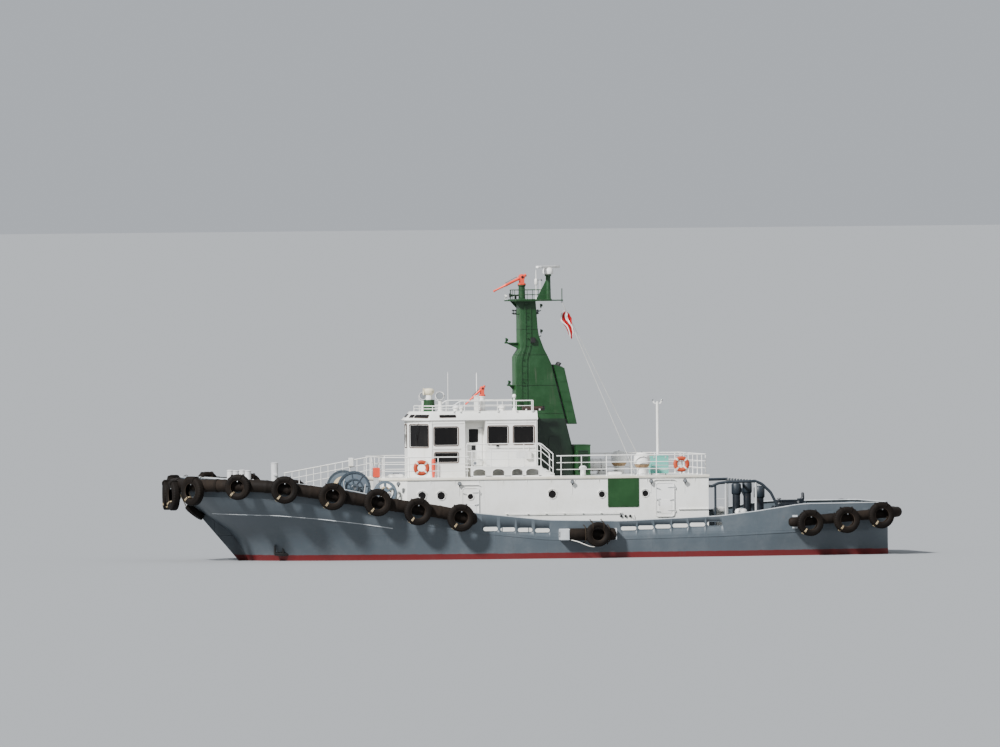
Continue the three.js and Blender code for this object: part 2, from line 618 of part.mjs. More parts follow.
// A tyre whose hole faces along a direction.
function tyre(centre, facing, across, thick = TYRE.thick) {
  const [radius, inner, half] = [across / 2, across / 2 * TYRE.hole, thick / 2];
  const profile = [
    [inner, -half], [radius, -half * TYRE.crown], [radius, half * TYRE.crown], [inner, half], [inner, -half],
  ];
  const turn = new THREE.Quaternion().setFromUnitVectors(new THREE.Vector3(0, 0, 1), facing);
  return solid(turnedGeometry(profile, TYRE_SIDES).applyQuaternion(turn).translate(...centre));
}

// A tyre hung outside the deck edge, its hole facing squarely away from the side.
function hangTyre({ x, z, across }, stand) {
  const edge = edgeAt(x);
  const centre = [edge.x + edge.out.x * stand, edge.y + edge.out.y * stand, z];
  return tyre(centre, new THREE.Vector3(edge.out.x, edge.out.y, 0), across);
}

// A round fender along a plan edge, standing off it by a distance.
function fenderTube(run, off, radius, sides, heightAt) {
  const rings = run.map(({ x, y, out }) => Array.from({ length: sides }, (_, i) => {
    const angle = 2 * Math.PI * (i + 0.5) / sides;
    const reach = off + radius * Math.cos(angle);
    return [x + out.x * reach, y + out.y * reach, heightAt(x) + radius * Math.sin(angle)];
  }));
  return loft(rings);
}

// The full run of the deck edge round one end, from port to starboard.
function wrapped(run) {
  const flip = ({ x, y, out }) => ({ x, y: -y, out: new THREE.Vector2(out.x, -out.y) });
  return [...run.slice(1).reverse(), { ...run[0], y: 0 }, ...run.slice(1).map(flip)];
}

function makeBowFender() {
  const off = BOW_FENDER.radius * Math.cos(Math.PI / BOW_FENDER.sides) + SEAT;
  const run = wrapped(portEdge(BOW_FENDER.aft));
  const height = (x) => lookup(BOW_FENDER_LINE, 'x', x, 'z');
  const tube = fenderTube(run, off, BOW_FENDER.radius, BOW_FENDER.sides, height);
  const tyres = BOW_TYRES.map((row) => hangTyre(row, off + TYRE.stand));
  const lean = THREE.MathUtils.degToRad(STEM_TYRE.lean);
  const facing = new THREE.Vector3(Math.sin(lean), 0, -Math.cos(lean));
  const free = tyre([STEM_TYRE.x, 0, STEM_TYRE.z], facing, STEM_TYRE.across, STEM_TYRE.thick);
  const leaning = cut(free, hullForKeel);
  const { low, high, radius } = STEM_LINK;
  const link = rod([low.x, 0, low.z], [high.x, 0, high.z], radius);
  add('bow_fender', join(tube, bothSides(join(...tyres)), leaning, link), FINISH.rubber);
}

function makeSideFenders() {
  const s = SIDE_FENDER;
  const y = HULL.half + s.radius - s.bedded;
  const roll = rod([s.fore, y, s.z], [s.aft, y, s.z], s.radius, DRUM_SIDES);
  const end = block(
    [s.fore - s.plateIn, s.fore + s.plate], [y - s.radius, y + s.radius * s.plateShare],
    [s.z - s.radius, s.z + s.radius],
  );
  const centre = [s.tyreX, y + s.radius + TYRE.thick / 2 - TYRE.sunk, s.z];
  const disc = tyre(centre, new THREE.Vector3(0, 1, 0), s.tyreAcross);
  const port = cut(join(roll, end, disc), sideBlock);
  add('side_fender_port', port, FINISH.rubber);
  add('side_fender_starboard', mirrored(port), FINISH.rubber);
}

function makeSternFender() {
  const s = STERN_FENDER;
  const height = (x) => THREE.MathUtils.mapLinear(x, s.fore, HULL.aft, s.zFore, s.zAft);
  const edge = portEdge().filter(({ x }) => x <= s.fore);
  const tube = fenderTube(wrapped([edgeAt(s.fore), ...edge].reverse()), s.off, s.radius, s.sides, height);
  const tyres = STERN_TYRES.map((row) => hangTyre(row, s.off + s.radius + TYRE.thick / 2 - TYRE.sunk));
  const tall = s.radius * s.bracketShare;
  const brackets = s.brackets.map((x) => {
    const at = edgeAt(x);
    const [low, high] = [height(x) - tall, height(x) + tall];
    return block([x - s.bracketWide, x], [at.y - s.bracketIn, at.y + s.off], [low, high]);
  });
  const sternX = [HULL.aft - s.off, HULL.aft + s.bracketIn];
  const sternBracket = block(sternX, s.sternBracket, [s.zAft - tall, s.zAft + tall]);
  const half = join(...tyres, cut(join(...brackets, sternBracket), sideBlock));
  add('stern_fender', join(tube, bothSides(half)), FINISH.rubber);
}

// A steerable drive under the stern, with its nozzle and propeller
function makeDrives() {
  const d = DRIVE;
  const alongX = (geometry) => solid(geometry.rotateY(-Math.PI / 2));
  const lift = (body) => solid(surface(body).translate(0, 0, d.centre));
  const collar = rod([0, 0, d.padFace - RUN], [0, 0, d.collarFace], d.collarRadius, DRUM_SIDES);
  const leg = rod([0, 0, d.collarFace + SUNK], [0, 0, d.centre], d.legRadius, DRUM_SIDES);
  const { top, low } = STRUTS;
  const topStrut = block(
    top.x, [-top.half, top.half], [d.centre + d.nozzleInner + top.over, d.collarFace + top.sunk],
  );
  const lowStrut = web(low.profile, -low.half, low.half);
  const pod = alongX(turnedGeometry(POD, DRUM_SIDES));
  const nozzle = alongX(turnedGeometry(NOZZLE, NOZZLE_SIDES));
  const unit = join(collar, leg, lift(pod), lift(nozzle), topStrut, lift(lowStrut));
  const hub = alongX(turnedGeometry([
    [0, -d.podAft + RUN], [d.hubRadius, -d.podAft + RUN],
    [d.hubRadius, -d.hubAft - d.hubNose], [0, -d.hubAft],
  ], DRUM_SIDES));
  const half = [
    [d.bladeRoot / 2, d.hubRadius * d.hubFoot], [d.bladeWide / 2, d.bladeBelly],
    [d.bladeWide / 3, d.bladeShoulder],
  ];
  const outline = [...half.map(([x, y]) => [-x, y]), [0, d.tip], ...half.slice().reverse()];
  const blades = Array.from({ length: d.blades }, (_, i) => {
    const shape = new THREE.Shape(outline.map(([x, y]) => new THREE.Vector2(x, y)));
    const blade = new THREE.ExtrudeGeometry(shape, { depth: d.bladeThick, bevelEnabled: false });
    blade.translate(0, 0, -d.bladeThick / 2).rotateX(Math.PI / 2);
    blade.rotateZ(Math.PI / 2 - THREE.MathUtils.degToRad(d.pitch));
    return solid(blade.rotateX(2 * Math.PI * i / d.blades).translate(d.propX, 0, 0));
  });
  const propeller = lift(join(hub, ...blades));
  for (const { name, sign } of SIDES) {
    const place = new THREE.Group();
    place.position.set(d.x, sign * d.y, 0);
    add(`drive_${name}`, unit, FINISH.steel, place);
    add(`propeller_${name}`, propeller, FINISH.bronze, place);
    tug.add(place);
  }
}

// Both halves of an outline that is given for port, foremost point first.
function wholeOutline(port) {
  return [...port, ...port.map(([x, y]) => [x, -y]).reverse()];
}

// A closed outline moved inwards by a distance, corner by corner.
function inset(outline, distance) {
  const count = outline.length;
  const line = (i) => {
    const [a, b] = [outline[i % count], outline[(i + 1) % count]];
    const along = new THREE.Vector2(b[0] - a[0], b[1] - a[1]).normalize();
    return { point: [a[0] - along.y * distance, a[1] + along.x * distance], along };
  };
  return outline.map((_, i) => {
    const [p, q] = [line((i + count - 1) % count), line(i)];
    const turn = p.along.x * q.along.y - p.along.y * q.along.x;
    const [dx, dy] = [q.point[0] - p.point[0], q.point[1] - p.point[1]];
    const reach = (dx * q.along.y - dy * q.along.x) / turn;
    return [p.point[0] + p.along.x * reach, p.point[1] + p.along.y * reach];
  });
}

// Knuckles and straps of a door hung at its aft edge on a wall that faces port.
function hinge(pinX, wallY, low, high, onWall) {
  const y = wallY + DOOR.off;
  const heights = [low + DOOR.lugIn, high - DOOR.lugIn - 2 * DOOR.knuckle];
  return heights.map((z) => {
    const [from, to] = onWall ? [z, z + DOOR.knuckle] : [z + DOOR.knuckle + RUN, z + 2 * DOOR.knuckle];
    const pin = rod([pinX, y, from], [pinX, y, to], DOOR.pin, DOOR.pinSides);
    const lug = onWall
      ? block([pinX - DOOR.leaf, pinX + DOOR.leaf], [wallY - DOOR.rooted, y], [from, to])
      : block([pinX, pinX + DOOR.off + DOOR.strap], [y - DOOR.leaf, y + DOOR.leaf], [from, to]);
    return join(pin, lug);
  });
}

const doorPinX = (aft, lap) => aft - lap - DOOR.off;

function makeHouse() {
  const outer = wholeOutline(HOUSE.outline);
  const shell = cut(
    slab(outer, HOUSE.foot, HOUSE.top - SEAT),
    slab(inset(outer, HOUSE.wall), HOUSE.foot - WALL_CUT.outer, HOUSE.top + WALL_CUT.outer),
    hullForDeck,
  );
  const side = HOUSE.outline[2][1];
  const openings = HOUSE_DOORS.map(({ aft, fore, sill, head }) => (
    block([aft, fore], [side - WALL_CUT.inner, side + WALL_CUT.outer], [sill, head])
  ));
  const lugs = HOUSE_DOORS.flatMap(({ aft, sill, head }) => (
    hinge(doorPinX(aft, DOOR.lap), side, sill, head, true)
  ));
  const [bracketFore, bracketAft] = [REEL.x + REEL.bracket, REEL.x - REEL.bracket];
  const bracketZ = [REEL.z - REEL.bracket, REEL.z + REEL.bracket];
  const bracket = join(
    block([bracketAft, bracketFore], [REEL.arm.inner, REEL.inner - RUN], bracketZ),
    block([REEL.arm.aft, bracketFore], [REEL.arm.inner, REEL.arm.outer], bracketZ),
  );
  const boardY = [side - BOARD.bedded, side + BOARD.thick];
  const board = block([BOARD.aft, BOARD.fore], boardY, [BOARD.low, BOARD.high]);
  const walls = cut(shell, ...openings, ...openings.map(mirrored));
  const house = join(walls, ...lugs, ...lugs.map(mirrored), bothSides(board), bracket);
  add('deckhouse', house, FINISH.white);
  for (const { name, aft, fore, sill, head } of HOUSE_DOORS) {
    const leaf = block(
      [aft - DOOR.lap, fore + DOOR.lap], [side + SWING, side + SWING + DOOR.thick],
      [sill - DOOR.lap, head + DOOR.lap],
    );
    const door = join(leaf, ...hinge(doorPinX(aft, DOOR.lap), side, sill, head, false));
    add(`house_door_${name}_port`, door, FINISH.white);
    add(`house_door_${name}_starboard`, mirrored(door), FINISH.white);
  }
  const reel = join(
    rod([REEL.x, REEL.inner, REEL.z], [REEL.x, REEL.outer, REEL.z], REEL.drum, DRUM_SIDES),
    rod([REEL.x, REEL.inner, REEL.z], [REEL.x, REEL.inner + REEL.side, REEL.z], REEL.flange, DRUM_SIDES),
    rod([REEL.x, REEL.outer - REEL.side, REEL.z], [REEL.x, REEL.outer, REEL.z], REEL.flange, DRUM_SIDES),
  );
  add('rope_reel', reel, FINISH.steel);
}

// Boat deck over the house, with its ventilators, locker and stern light pole
function makeBoatDeck() {
  const plate = slab(inset(wholeOutline(HOUSE.outline), -HOUSE.eave), HOUSE.top, HOUSE.deckTop);
  const low = HOUSE.deckTop - SUNK;
  const v = DECK_VENT;
  const vent = solid(turnedGeometry([
    [0, low], [v.neck, low], [v.neck, v.capLow], [v.cap, v.capLow], [v.cap, v.top - v.brim],
    [v.cap * v.crown, v.top], [0, v.top],
  ], DRUM_SIDES).translate(v.x, v.y, 0));
  const p = LIGHT_POLE;
  const pole = join(
    rod([p.x, p.y, low], [p.x, p.y, p.top], p.radius, POST_SIDES),
    railing([
      [p.x + p.fork, p.y, p.forkTop], [p.x + p.forkFoot, p.y, p.top - p.forkDrop],
      [p.x - p.forkFoot, p.y, p.top - p.forkDrop], [p.x - p.fork, p.y, p.forkTop],
    ], p.forkRadius),
  );
  add('boat_deck', join(plate, bothSides(vent), pole), FINISH.white);
  const seat = HOUSE.deckTop + SEAT;
  const locker = block([LOCKER.aft, LOCKER.fore], [LOCKER.low, LOCKER.high], [seat, LOCKER.top]);
  add('deck_locker', locker, FINISH.teal);
  const { aft, fore, half, top } = ENGINE_CASING;
  const casing = block([aft, fore], [-half, half], [seat, top]);
  add('engine_casing', casing, FINISH.mast);
}

// A guard rail through plan points: posts where it bends and along its runs, and three bars.
function guardRail(corners, foot, spacing) {
  const posts = corners.flatMap(([x, y], i) => {
    if (i === 0) return [[x, y]];
    const [fromX, fromY] = corners[i - 1];
    const count = Math.max(1, Math.round(Math.hypot(x - fromX, y - fromY) / spacing));
    return Array.from({ length: count }, (_, k) => [
      THREE.MathUtils.lerp(fromX, x, (k + 1) / count), THREE.MathUtils.lerp(fromY, y, (k + 1) / count),
    ]);
  });
  const rise = foot - HOUSE.deckTop;
  const stands = posts.map(([x, y]) => rod([x, y, foot + SEAT], [x, y, RAIL.top + rise], RAIL.post));
  const bars = [RAIL.top, ...RAIL.mids].map((z) => (
    railing(corners.map(([x, y]) => [x, y, z + rise]), RAIL.radius)
  ));
  return join(...stands, ...bars);
}

function makeBoatDeckRails() {
  const [[foreX, foreY], [cornerX, side], [aftX]] = HOUSE.outline;
  const edge = side - RAIL.inset;
  const port = [
    [foreX - RAIL.inset, foreY - RAIL.corner], [cornerX - RAIL.corner, edge], [WING.fore + RAIL.end, edge],
  ];
  const front = [...port.slice().reverse(), ...port.map(([x, y]) => [x, -y])];
  add('boat_deck_rail_fore', guardRail(front, HOUSE.deckTop, RAIL.spacing), FINISH.white);
  const aft = [[WING.aft - WING.steps * WING.tread - RAIL.end, edge], [aftX + RAIL.inset, edge]];
  const back = [...aft, ...aft.map(([x, y]) => [x, -y]).reverse()];
  add('boat_deck_rail_aft', guardRail(back, HOUSE.deckTop, RAIL.spacing), FINISH.white);
  const ring = turnedGeometry(Array.from({ length: LIFEBUOY.sides + 1 }, (_, i) => {
    const angle = 2 * Math.PI * (i + 0.5) / LIFEBUOY.sides;
    return [LIFEBUOY.ring + LIFEBUOY.tube * Math.cos(angle), LIFEBUOY.tube * Math.sin(angle)];
  }), RING_SIDES);
  const buoy = solid(ring.rotateX(Math.PI / 2));
  for (const place of LIFEBUOYS) {
    for (const { name, sign } of SIDES.filter((side) => place.sides.includes(side.name))) {
      const mesh = add(`lifebuoy_${place.name}_${name}`, buoy, FINISH.orange);
      mesh.position.set(place.x, sign * (edge + RAIL.radius * Math.SQRT1_2 + LIFEBUOY.tube + SEAT), place.z);
    }
  }
}

// A box of window that looks out across a wall at an angle in plan.
function slantedWindow(from, to, half, low, high) {
  const middle = new THREE.Vector2((from[0] + to[0]) / 2, (from[1] + to[1]) / 2);
  const angle = Math.atan2(to[1] - from[1], to[0] - from[0]);
  const geometry = new THREE.BoxGeometry(2 * half, 2 * WALL_CUT.inner, high - low).rotateZ(angle);
  return solid(geometry.translate(middle.x, middle.y, (low + high) / 2));
}

function bridgeWindows() {
  const [corner, shoulder] = BRIDGE.outline;
  const side = BRIDGE.outline[2][1];
  const back = BRIDGE.outline[6][0];
  const reach = (wall) => [wall - WALL_CUT.inner, wall + WALL_CUT.outer];
  const sides = BRIDGE_WINDOWS.map(({ aft, fore, low, high }) => block([aft, fore], reach(side), [low, high]));
  const [c, f, b] = [CHAMFER_WINDOW, FRONT_WINDOW, BACK_WINDOW];
  const chamfer = slantedWindow(corner, shoulder, c.half, c.low, c.high);
  const front = block(reach(corner[0]), [-f.half, f.half], [f.low, f.high]);
  const rear = block([back - WALL_CUT.outer, back + WALL_CUT.inner], [-b.half, b.half], [b.low, b.high]);
  return [...sides, ...sides.map(mirrored), chamfer, mirrored(chamfer), front, rear];
}

function makeBridge() {
  const outer = wholeOutline(BRIDGE.outline);
  const bay = BRIDGE.outline[3][1];
  const doorway = block(
    [BRIDGE_DOOR.aft, BRIDGE_DOOR.fore], [bay - WALL_CUT.inner, bay + SUNK], [BRIDGE_DOOR.low, BRIDGE_DOOR.high],
  );
  const inner = inset(outer, BRIDGE.wall);
  const walls = cut(
    slab(outer, HOUSE.deckTop + SEAT, BRIDGE.top),
    slab(inner, HOUSE.deckTop - SUNK, BRIDGE.top + SUNK),
    ...bridgeWindows(), doorway, mirrored(doorway),
  );
  const pinX = doorPinX(BRIDGE_DOOR.aft, BRIDGE_DOOR.lap) + BRIDGE_DOOR.pinShift;
  const lugs = hinge(pinX, bay, BRIDGE_DOOR.low, BRIDGE_DOOR.high, true);
  add('wheelhouse', join(walls, ...lugs, ...lugs.map(mirrored)), FINISH.white);

  const leaf = block(
    [BRIDGE_DOOR.aft - BRIDGE_DOOR.lap, BRIDGE_DOOR.fore + BRIDGE_DOOR.lap],
    [bay + SWING, bay + SWING + BRIDGE_DOOR.thick], [BRIDGE_DOOR.low, BRIDGE_DOOR.high + BRIDGE_DOOR.lap],
  );
  const w = BRIDGE_DOOR_WINDOW;
  const light = block([w.aft, w.fore], [bay, bay + WALL_CUT.outer], [w.low, w.high]);
  const door = join(cut(leaf, light), ...hinge(pinX, bay, BRIDGE_DOOR.low, BRIDGE_DOOR.high, false));
  add('bridge_door_port', door, FINISH.white);
  add('bridge_door_starboard', mirrored(door), FINISH.white);

  // The glass is one belt just inside the walls, open at the two doorways.
  const beltOuter = inset(inner, SEAT);
  const beltInner = inset(inner, BRIDGE.glassThick);
  const wideDoorway = block(
    [BRIDGE_DOOR.aft - SUNK, BRIDGE_DOOR.fore + SUNK], [bay - WALL_CUT.inner, bay],
    [BRIDGE.floorTop, BRIDGE_DOOR.high + BRIDGE.glassGap],
  );
  const belt = cut(
    slab(beltOuter, BRIDGE.floorTop + SEAT, BRIDGE.top - BRIDGE.glassGap),
    slab(beltInner, BRIDGE.floorTop, BRIDGE.top),
    wideDoorway, mirrored(wideDoorway),
  );
  add('bridge_glass', belt, FINISH.glass);

  const floor = slab(inset(inner, SEAT), BRIDGE.floorLow, BRIDGE.floorTop);
  const under = [HOUSE.deckTop + SEAT, BRIDGE.floorLow + SUNK / 2];
  const legs = bothSides(block(BRIDGE.legs.x, BRIDGE.legs.y, under));
  const base = BRIDGE.floorTop - SUNK / 2;
  const desk = web([
    [CONSOLE.aft, base], [CONSOLE.aft, CONSOLE.top - CONSOLE.rake], [CONSOLE.fore, CONSOLE.top],
    [CONSOLE.fore, base],
  ], -CONSOLE.half, CONSOLE.half);
  const h = CHAIR;
  const chairBack = h.x - h.half;
  const chair = join(
    rod([h.x, 0, base], [h.x, 0, h.seat], h.post, POST_SIDES),
    block([chairBack, h.x + h.half], [-h.half, h.half], [h.seat - h.sunk, h.seat + h.cushion]),
    block([chairBack - h.cushion, chairBack + h.sunk / 2], [-h.half, h.half], [h.seat, h.back]),
  );
  add('bridge_floor', join(floor, legs, desk, chair), FINISH.covering);
}

// Roof with sloped brow, pedestals, cowl, aerials and low rails
function makeBridgeRoof() {
  const r = BRIDGE_ROOF;
  const [[foreX, foreY], [sideX, sideY]] = BRIDGE.outline;
  const backX = BRIDGE.outline[6][0];
  const ring = (grow, z) => wholeOutline([
    [foreX + grow, foreY + grow * r.corner],
    [sideX + grow * r.corner, sideY + Math.min(grow, r.sideLip)],
    [backX - r.aftLip, sideY + Math.min(grow, r.sideLip)],
  ]).map(([x, y]) => [x, y, z]);
  const shell = loft([ring(r.lip, r.eave), ring(r.lip, r.shoulder), ring(r.lip - r.slope, r.top)]);
  const { fore, half, top } = r.hollow;
  const hollow = slab(inset(wholeOutline(BRIDGE.outline), BRIDGE.wall), r.eave - SUNK, top)
    .intersect(block([backX, fore], [-half, half], [r.eave - SUNK, top]));
  const low = r.top - SUNK;
  const posts = SEARCHLIGHTS.map((s) => (
    rod([s.x, s.y, low], [s.x, s.y, s.post - RUN], SEARCHLIGHT.post, POST_SIDES)
  ));
  const stands = MONITORS.filter(({ name }) => name === 'roof')
    .map((m) => rod([m.x, m.y, low], [m.x, m.y, m.neck - RUN], m.radius, RING_SIDES));
  const cowl = solid(turnedGeometry([
    [0, low], [COWL.drum, low], [COWL.drum, COWL.drumTop], [COWL.neck, COWL.drumTop],
    [COWL.neck, COWL.neckTop],
    [0, COWL.neckTop],
  ], RING_SIDES).translate(COWL.x, 0, 0));
  const aerials = AERIALS.map(({ x, y, top, radius }) => rod([x, y, low], [x, y, top], radius));
  const tubeZ = r.top + ROOF_TUBE.radius * ROOF_TUBE.seat;
  const tubeEnd = (x) => [x, ROOF_TUBE.y, tubeZ];
  const tube = rod(tubeEnd(ROOF_TUBE.aft), tubeEnd(ROOF_TUBE.fore), ROOF_TUBE.radius, POST_SIDES);
  const railPosts = ROOF_RAIL.map(({ x, y, z }) => rod([x, y, low], [x, y, z], RAIL.post));
  const corners = [...ROOF_RAIL.slice().reverse(), ...ROOF_RAIL.map((row) => ({ ...row, y: -row.y }))];
  const bars = [1, 0.5].map((share) => railing(
    corners.map(({ x, y, z }) => [x, y, THREE.MathUtils.lerp(r.top, z, share)]), RAIL.radius,
  ));
  const fittings = join(...posts, ...stands, cowl, ...aerials, tube, bothSides(join(...railPosts)), ...bars);
  add('bridge_roof', join(cut(shell, hollow), fittings), FINISH.white);
}

// Raised wings beside the wheelhouse, on arched webs, with rails and steps
function makeWings() {
  const w = WING;
  const bay = BRIDGE.outline[3];
  const deckZs = [BRIDGE.floorLow, BRIDGE.floorTop];
  const deck = join(
    block([w.aft, w.fore], [w.inner, w.outer], deckZs),
    block([BRIDGE.outline[4][0] + w.bayGap, w.fore], [bay[1] + w.bayGap, w.inner + SUNK], deckZs),
  );
  const skirtZs = [HOUSE.deckTop + SEAT, BRIDGE.floorLow + SUNK / 2];
  const skirt = block([w.aft, w.fore], [w.outer - w.web, w.outer], skirtZs);
  const springing = w.archHigh - w.archCorner;
  const arches = w.arches.map(({ aft, fore }) => web([
    [aft, w.archLow], [fore, w.archLow], [fore, springing], [fore - w.archCorner, w.archHigh],
    [aft + w.archCorner, w.archHigh], [aft, springing],
  ], w.outer - 2 * w.web, w.outer + w.web));
  const steps = Array.from({ length: w.steps }, (_, i) => {
    const top = BRIDGE.floorTop - (i + 1) * (BRIDGE.floorTop - HOUSE.deckTop) / (w.steps + 1);
    const aft = w.aft - w.tread * (i + 1);
    return block([aft, aft + w.tread + SUNK / 2], [w.stepInner, w.outer], [top - w.stepThick, top]);
  });
  const stepsAft = w.aft - w.steps * w.tread;
  const stringer = (inner) => web([
    [w.aft + 20, BRIDGE.floorTop - w.railEnd], [w.aft + 20, HOUSE.deckTop + SEAT],
    [stepsAft, HOUSE.deckTop + SEAT], [stepsAft, HOUSE.deckTop + 2 * w.railEnd],
  ], inner, inner + SUNK);
  const railY = w.outer - SUNK;
  const [railFore, railAft, railInner] = [w.fore - w.railEnd, w.aft + SUNK, w.inner + w.railEnd];
  const railFoot = stepsAft + w.railEnd;
  const drop = BRIDGE.floorTop - HOUSE.deckTop;
  const deckFoot = BRIDGE.floorTop - SUNK / 2;
  const posts = [railFore, ...w.posts, railAft].map((x) => (
    rod([x, railY, deckFoot], [x, railY, w.railTop], RAIL.post)
  ));
  posts.push(rod([railFoot, railY, HOUSE.deckTop + w.railEnd], [railFoot, railY, w.railTop - drop], RAIL.post));
  posts.push(rod([railFore, railInner, deckFoot], [railFore, railInner, w.railTop], RAIL.post));
  const bars = [w.railTop, w.railTop - w.barDrop].map((z) => railing(
    [[railFore, railInner, z], [railFore, railY, z], [railAft, railY, z], [railFoot, railY, z - drop]], RAIL.radius,
  ));
  const stringers = [stringer(w.stepInner), stringer(w.outer - SUNK)];
  const port = join(cut(join(deck, skirt), ...arches), ...steps, ...stringers, ...posts, ...bars);
  add('bridge_wing_port', port, FINISH.white);
  add('bridge_wing_starboard', mirrored(port), FINISH.white);
}

function makeMast() {
  const m = MAST;
  const trunk = web(m.profile, -m.half, m.half);
  const arms = LAMP_ARMS.map(({ z, thick, reach, from, half }) => (
    block([from - SUNK, reach], [-half, half], [z, z + thick])
  ));
  add('mast', join(trunk, ...arms), FINISH.mast);
  const brackets = FUNNEL.brackets.map(({ low, high }) => (
    block([FUNNEL.bracketAft, FUNNEL.bracketFore], [-FUNNEL.bracketHalf, FUNNEL.bracketHalf], [low, high])
  ));
  const funnel = join(web(FUNNEL.profile, -FUNNEL.half, FUNNEL.half), ...brackets);
  const mastForFunnel = web(m.profile.map(([x, z]) => [x - SEAT, z - SEAT]), -m.half, m.half);
  add('funnel', cut(funnel, mastForFunnel), FINISH.mast);

  const t = MAST_TOP;
  const low = t.z + SEAT;
  const foot = low + t.thick / 2;
  const deck = block([t.aft, t.fore], [-t.half, t.half], [low, low + t.thick]);
  const arm = block([t.armAft, t.armFore], [-t.armHalf, t.armHalf], [low, low + t.thick]);
  const stalk = join(
    rod([t.stalkX, 0, foot], [t.stalkX, 0, t.stalkTop - RUN], t.stalkRadius, POST_SIDES),
    web(
      [[t.stalkX, foot], [t.stalkX + t.gussetReach, foot], [t.stalkX, t.gussetTop]],
      -t.gussetHalf, t.gussetHalf,
    ),
  );
  const monitor = MONITORS.find(({ name }) => name === 'mast');
  const stand = rod([monitor.x, 0, foot], [monitor.x, 0, monitor.neck - RUN], monitor.radius, RING_SIDES);
  const [railFore, railAft, railY] = [t.fore - t.railInset, t.aft + t.railInset, t.half - t.railInset];
  const corners = [[railFore, railY], [railFore, -railY], [railAft, -railY], [railAft, railY]];
  const posts = corners.map(([x, y]) => rod([x, y, foot], [x, y, t.railTop], RAIL.post));
  const bars = [1, 0.5].map((share) => railing(
    corners.map(([x, y]) => [x, y, THREE.MathUtils.lerp(foot, t.railTop, share)]), RAIL.post, true,
  ));
  const aerial = rod([t.aerialX, 0, foot], [t.aerialX, 0, t.aerialTop], t.aerialRadius);
  const eye = rod([HALYARD.headX, 0, foot], [HALYARD.headX, 0, low + t.eyeTall], t.eyeRadius);
  add('mast_platform', join(deck, arm, stalk, stand, ...posts, ...bars, aerial, eye), FINISH.mast);

  const gear = rod([t.stalkX, 0, t.stalkTop], [t.stalkX, 0, RADAR.turnTop], RADAR.gearRadius, RING_SIDES);
  const across = new THREE.BoxGeometry(2 * RADAR.barHalf, 2 * RADAR.barDeep, RADAR.barTall);
  across.rotateZ(THREE.MathUtils.degToRad(RADAR.degrees));
  const bar = solid(across.translate(t.stalkX, 0, RADAR.turnTop + RADAR.barTall / 2 - RADAR.sunk));
  add('radar_scanner', join(gear, bar), FINISH.white);
}

// A water monitor: a swivel body on its stand, and the barrel on its trunnions
function makeMonitors() {
  const n = MONITOR;
  for (const m of MONITORS) {
    const half = m.radius * n.body;
    const neckTop = m.neck + n.saddleTall;
    const cheek = [-m.radius * n.cheek, m.radius * n.cheek];
    const forkZ = [neckTop - SUNK, m.pivot + m.radius * n.cheek];
    const fork = bothSides(block(cheek, [half + SWING, half + n.fork], forkZ));
    const saddle = rod([0, 0, m.neck], [0, 0, neckTop], m.radius * n.saddle, RING_SIDES);
    const bridge = block(cheek, [-half - n.fork, half + n.fork], [m.neck + n.bridgeLow, neckTop]);
    const swivel = new THREE.Group();
    swivel.position.set(m.x, m.y, 0);
    add(`monitor_${m.name}_swivel`, join(saddle, bridge, fork), FINISH.red, swivel);
    const droop = THREE.MathUtils.degToRad(m.droop);
    const reach = (distance) => [distance * Math.cos(droop), 0, m.pivot - distance * Math.sin(droop)];
    const pivot = [0, 0, m.pivot];
    const boss = half + SWING - RUN;
    const barrel = join(
      rod([0, -half, m.pivot], [0, half, m.pivot], m.radius * n.trunnion, POST_SIDES),
      rod([0, -boss, m.pivot], [0, boss, m.pivot], m.radius * n.boss, POST_SIDES),
      rod(pivot, reach(m.barrel * n.breechTo), m.radius * n.breech, POST_SIDES),
      rod(reach(m.barrel * n.muzzleFrom), reach(m.barrel), m.radius * n.muzzle, POST_SIDES),
      rod(pivot, reach(-m.radius * n.tail), m.radius * n.tailRadius, POST_SIDES),
    );
    add(`monitor_${m.name}_barrel`, barrel, FINISH.red, swivel);
    tug.add(swivel);
  }
}

function makeSearchlights() {
  const n = SEARCHLIGHT;
  const across = [-n.bridgeHalf, n.bridgeHalf];
  for (const s of SEARCHLIGHTS) {
    const outer = s.lamp + n.arm;
    const armZ = [s.post + n.bridge[0], s.centre + n.arm];
    const yoke = join(
      rod([0, 0, s.post], [0, 0, s.post + n.footTall], n.foot, POST_SIDES),
      block(across, [-outer, outer], n.bridge.map((z) => s.post + z)),
      bothSides(block(across, [s.lamp + n.armGap, outer], armZ)),
    );
    const pinEnd = s.lamp + n.pinOut;
    const can = join(
      rod([-n.canHalf, 0, s.centre], [n.canHalf, 0, s.centre], s.lamp, DRUM_SIDES),
      rod([0, -pinEnd, s.centre], [0, pinEnd, s.centre], n.pin, POST_SIDES),
    );
    const light = new THREE.Group();
    light.position.set(s.x, s.y, 0);
    const lamp = surface(join(yoke, can)).rotateZ(THREE.MathUtils.degToRad(s.aim));
    add(`searchlight_${s.name}`, solid(lamp), FINISH.white, light);
    tug.add(light);
  }
}

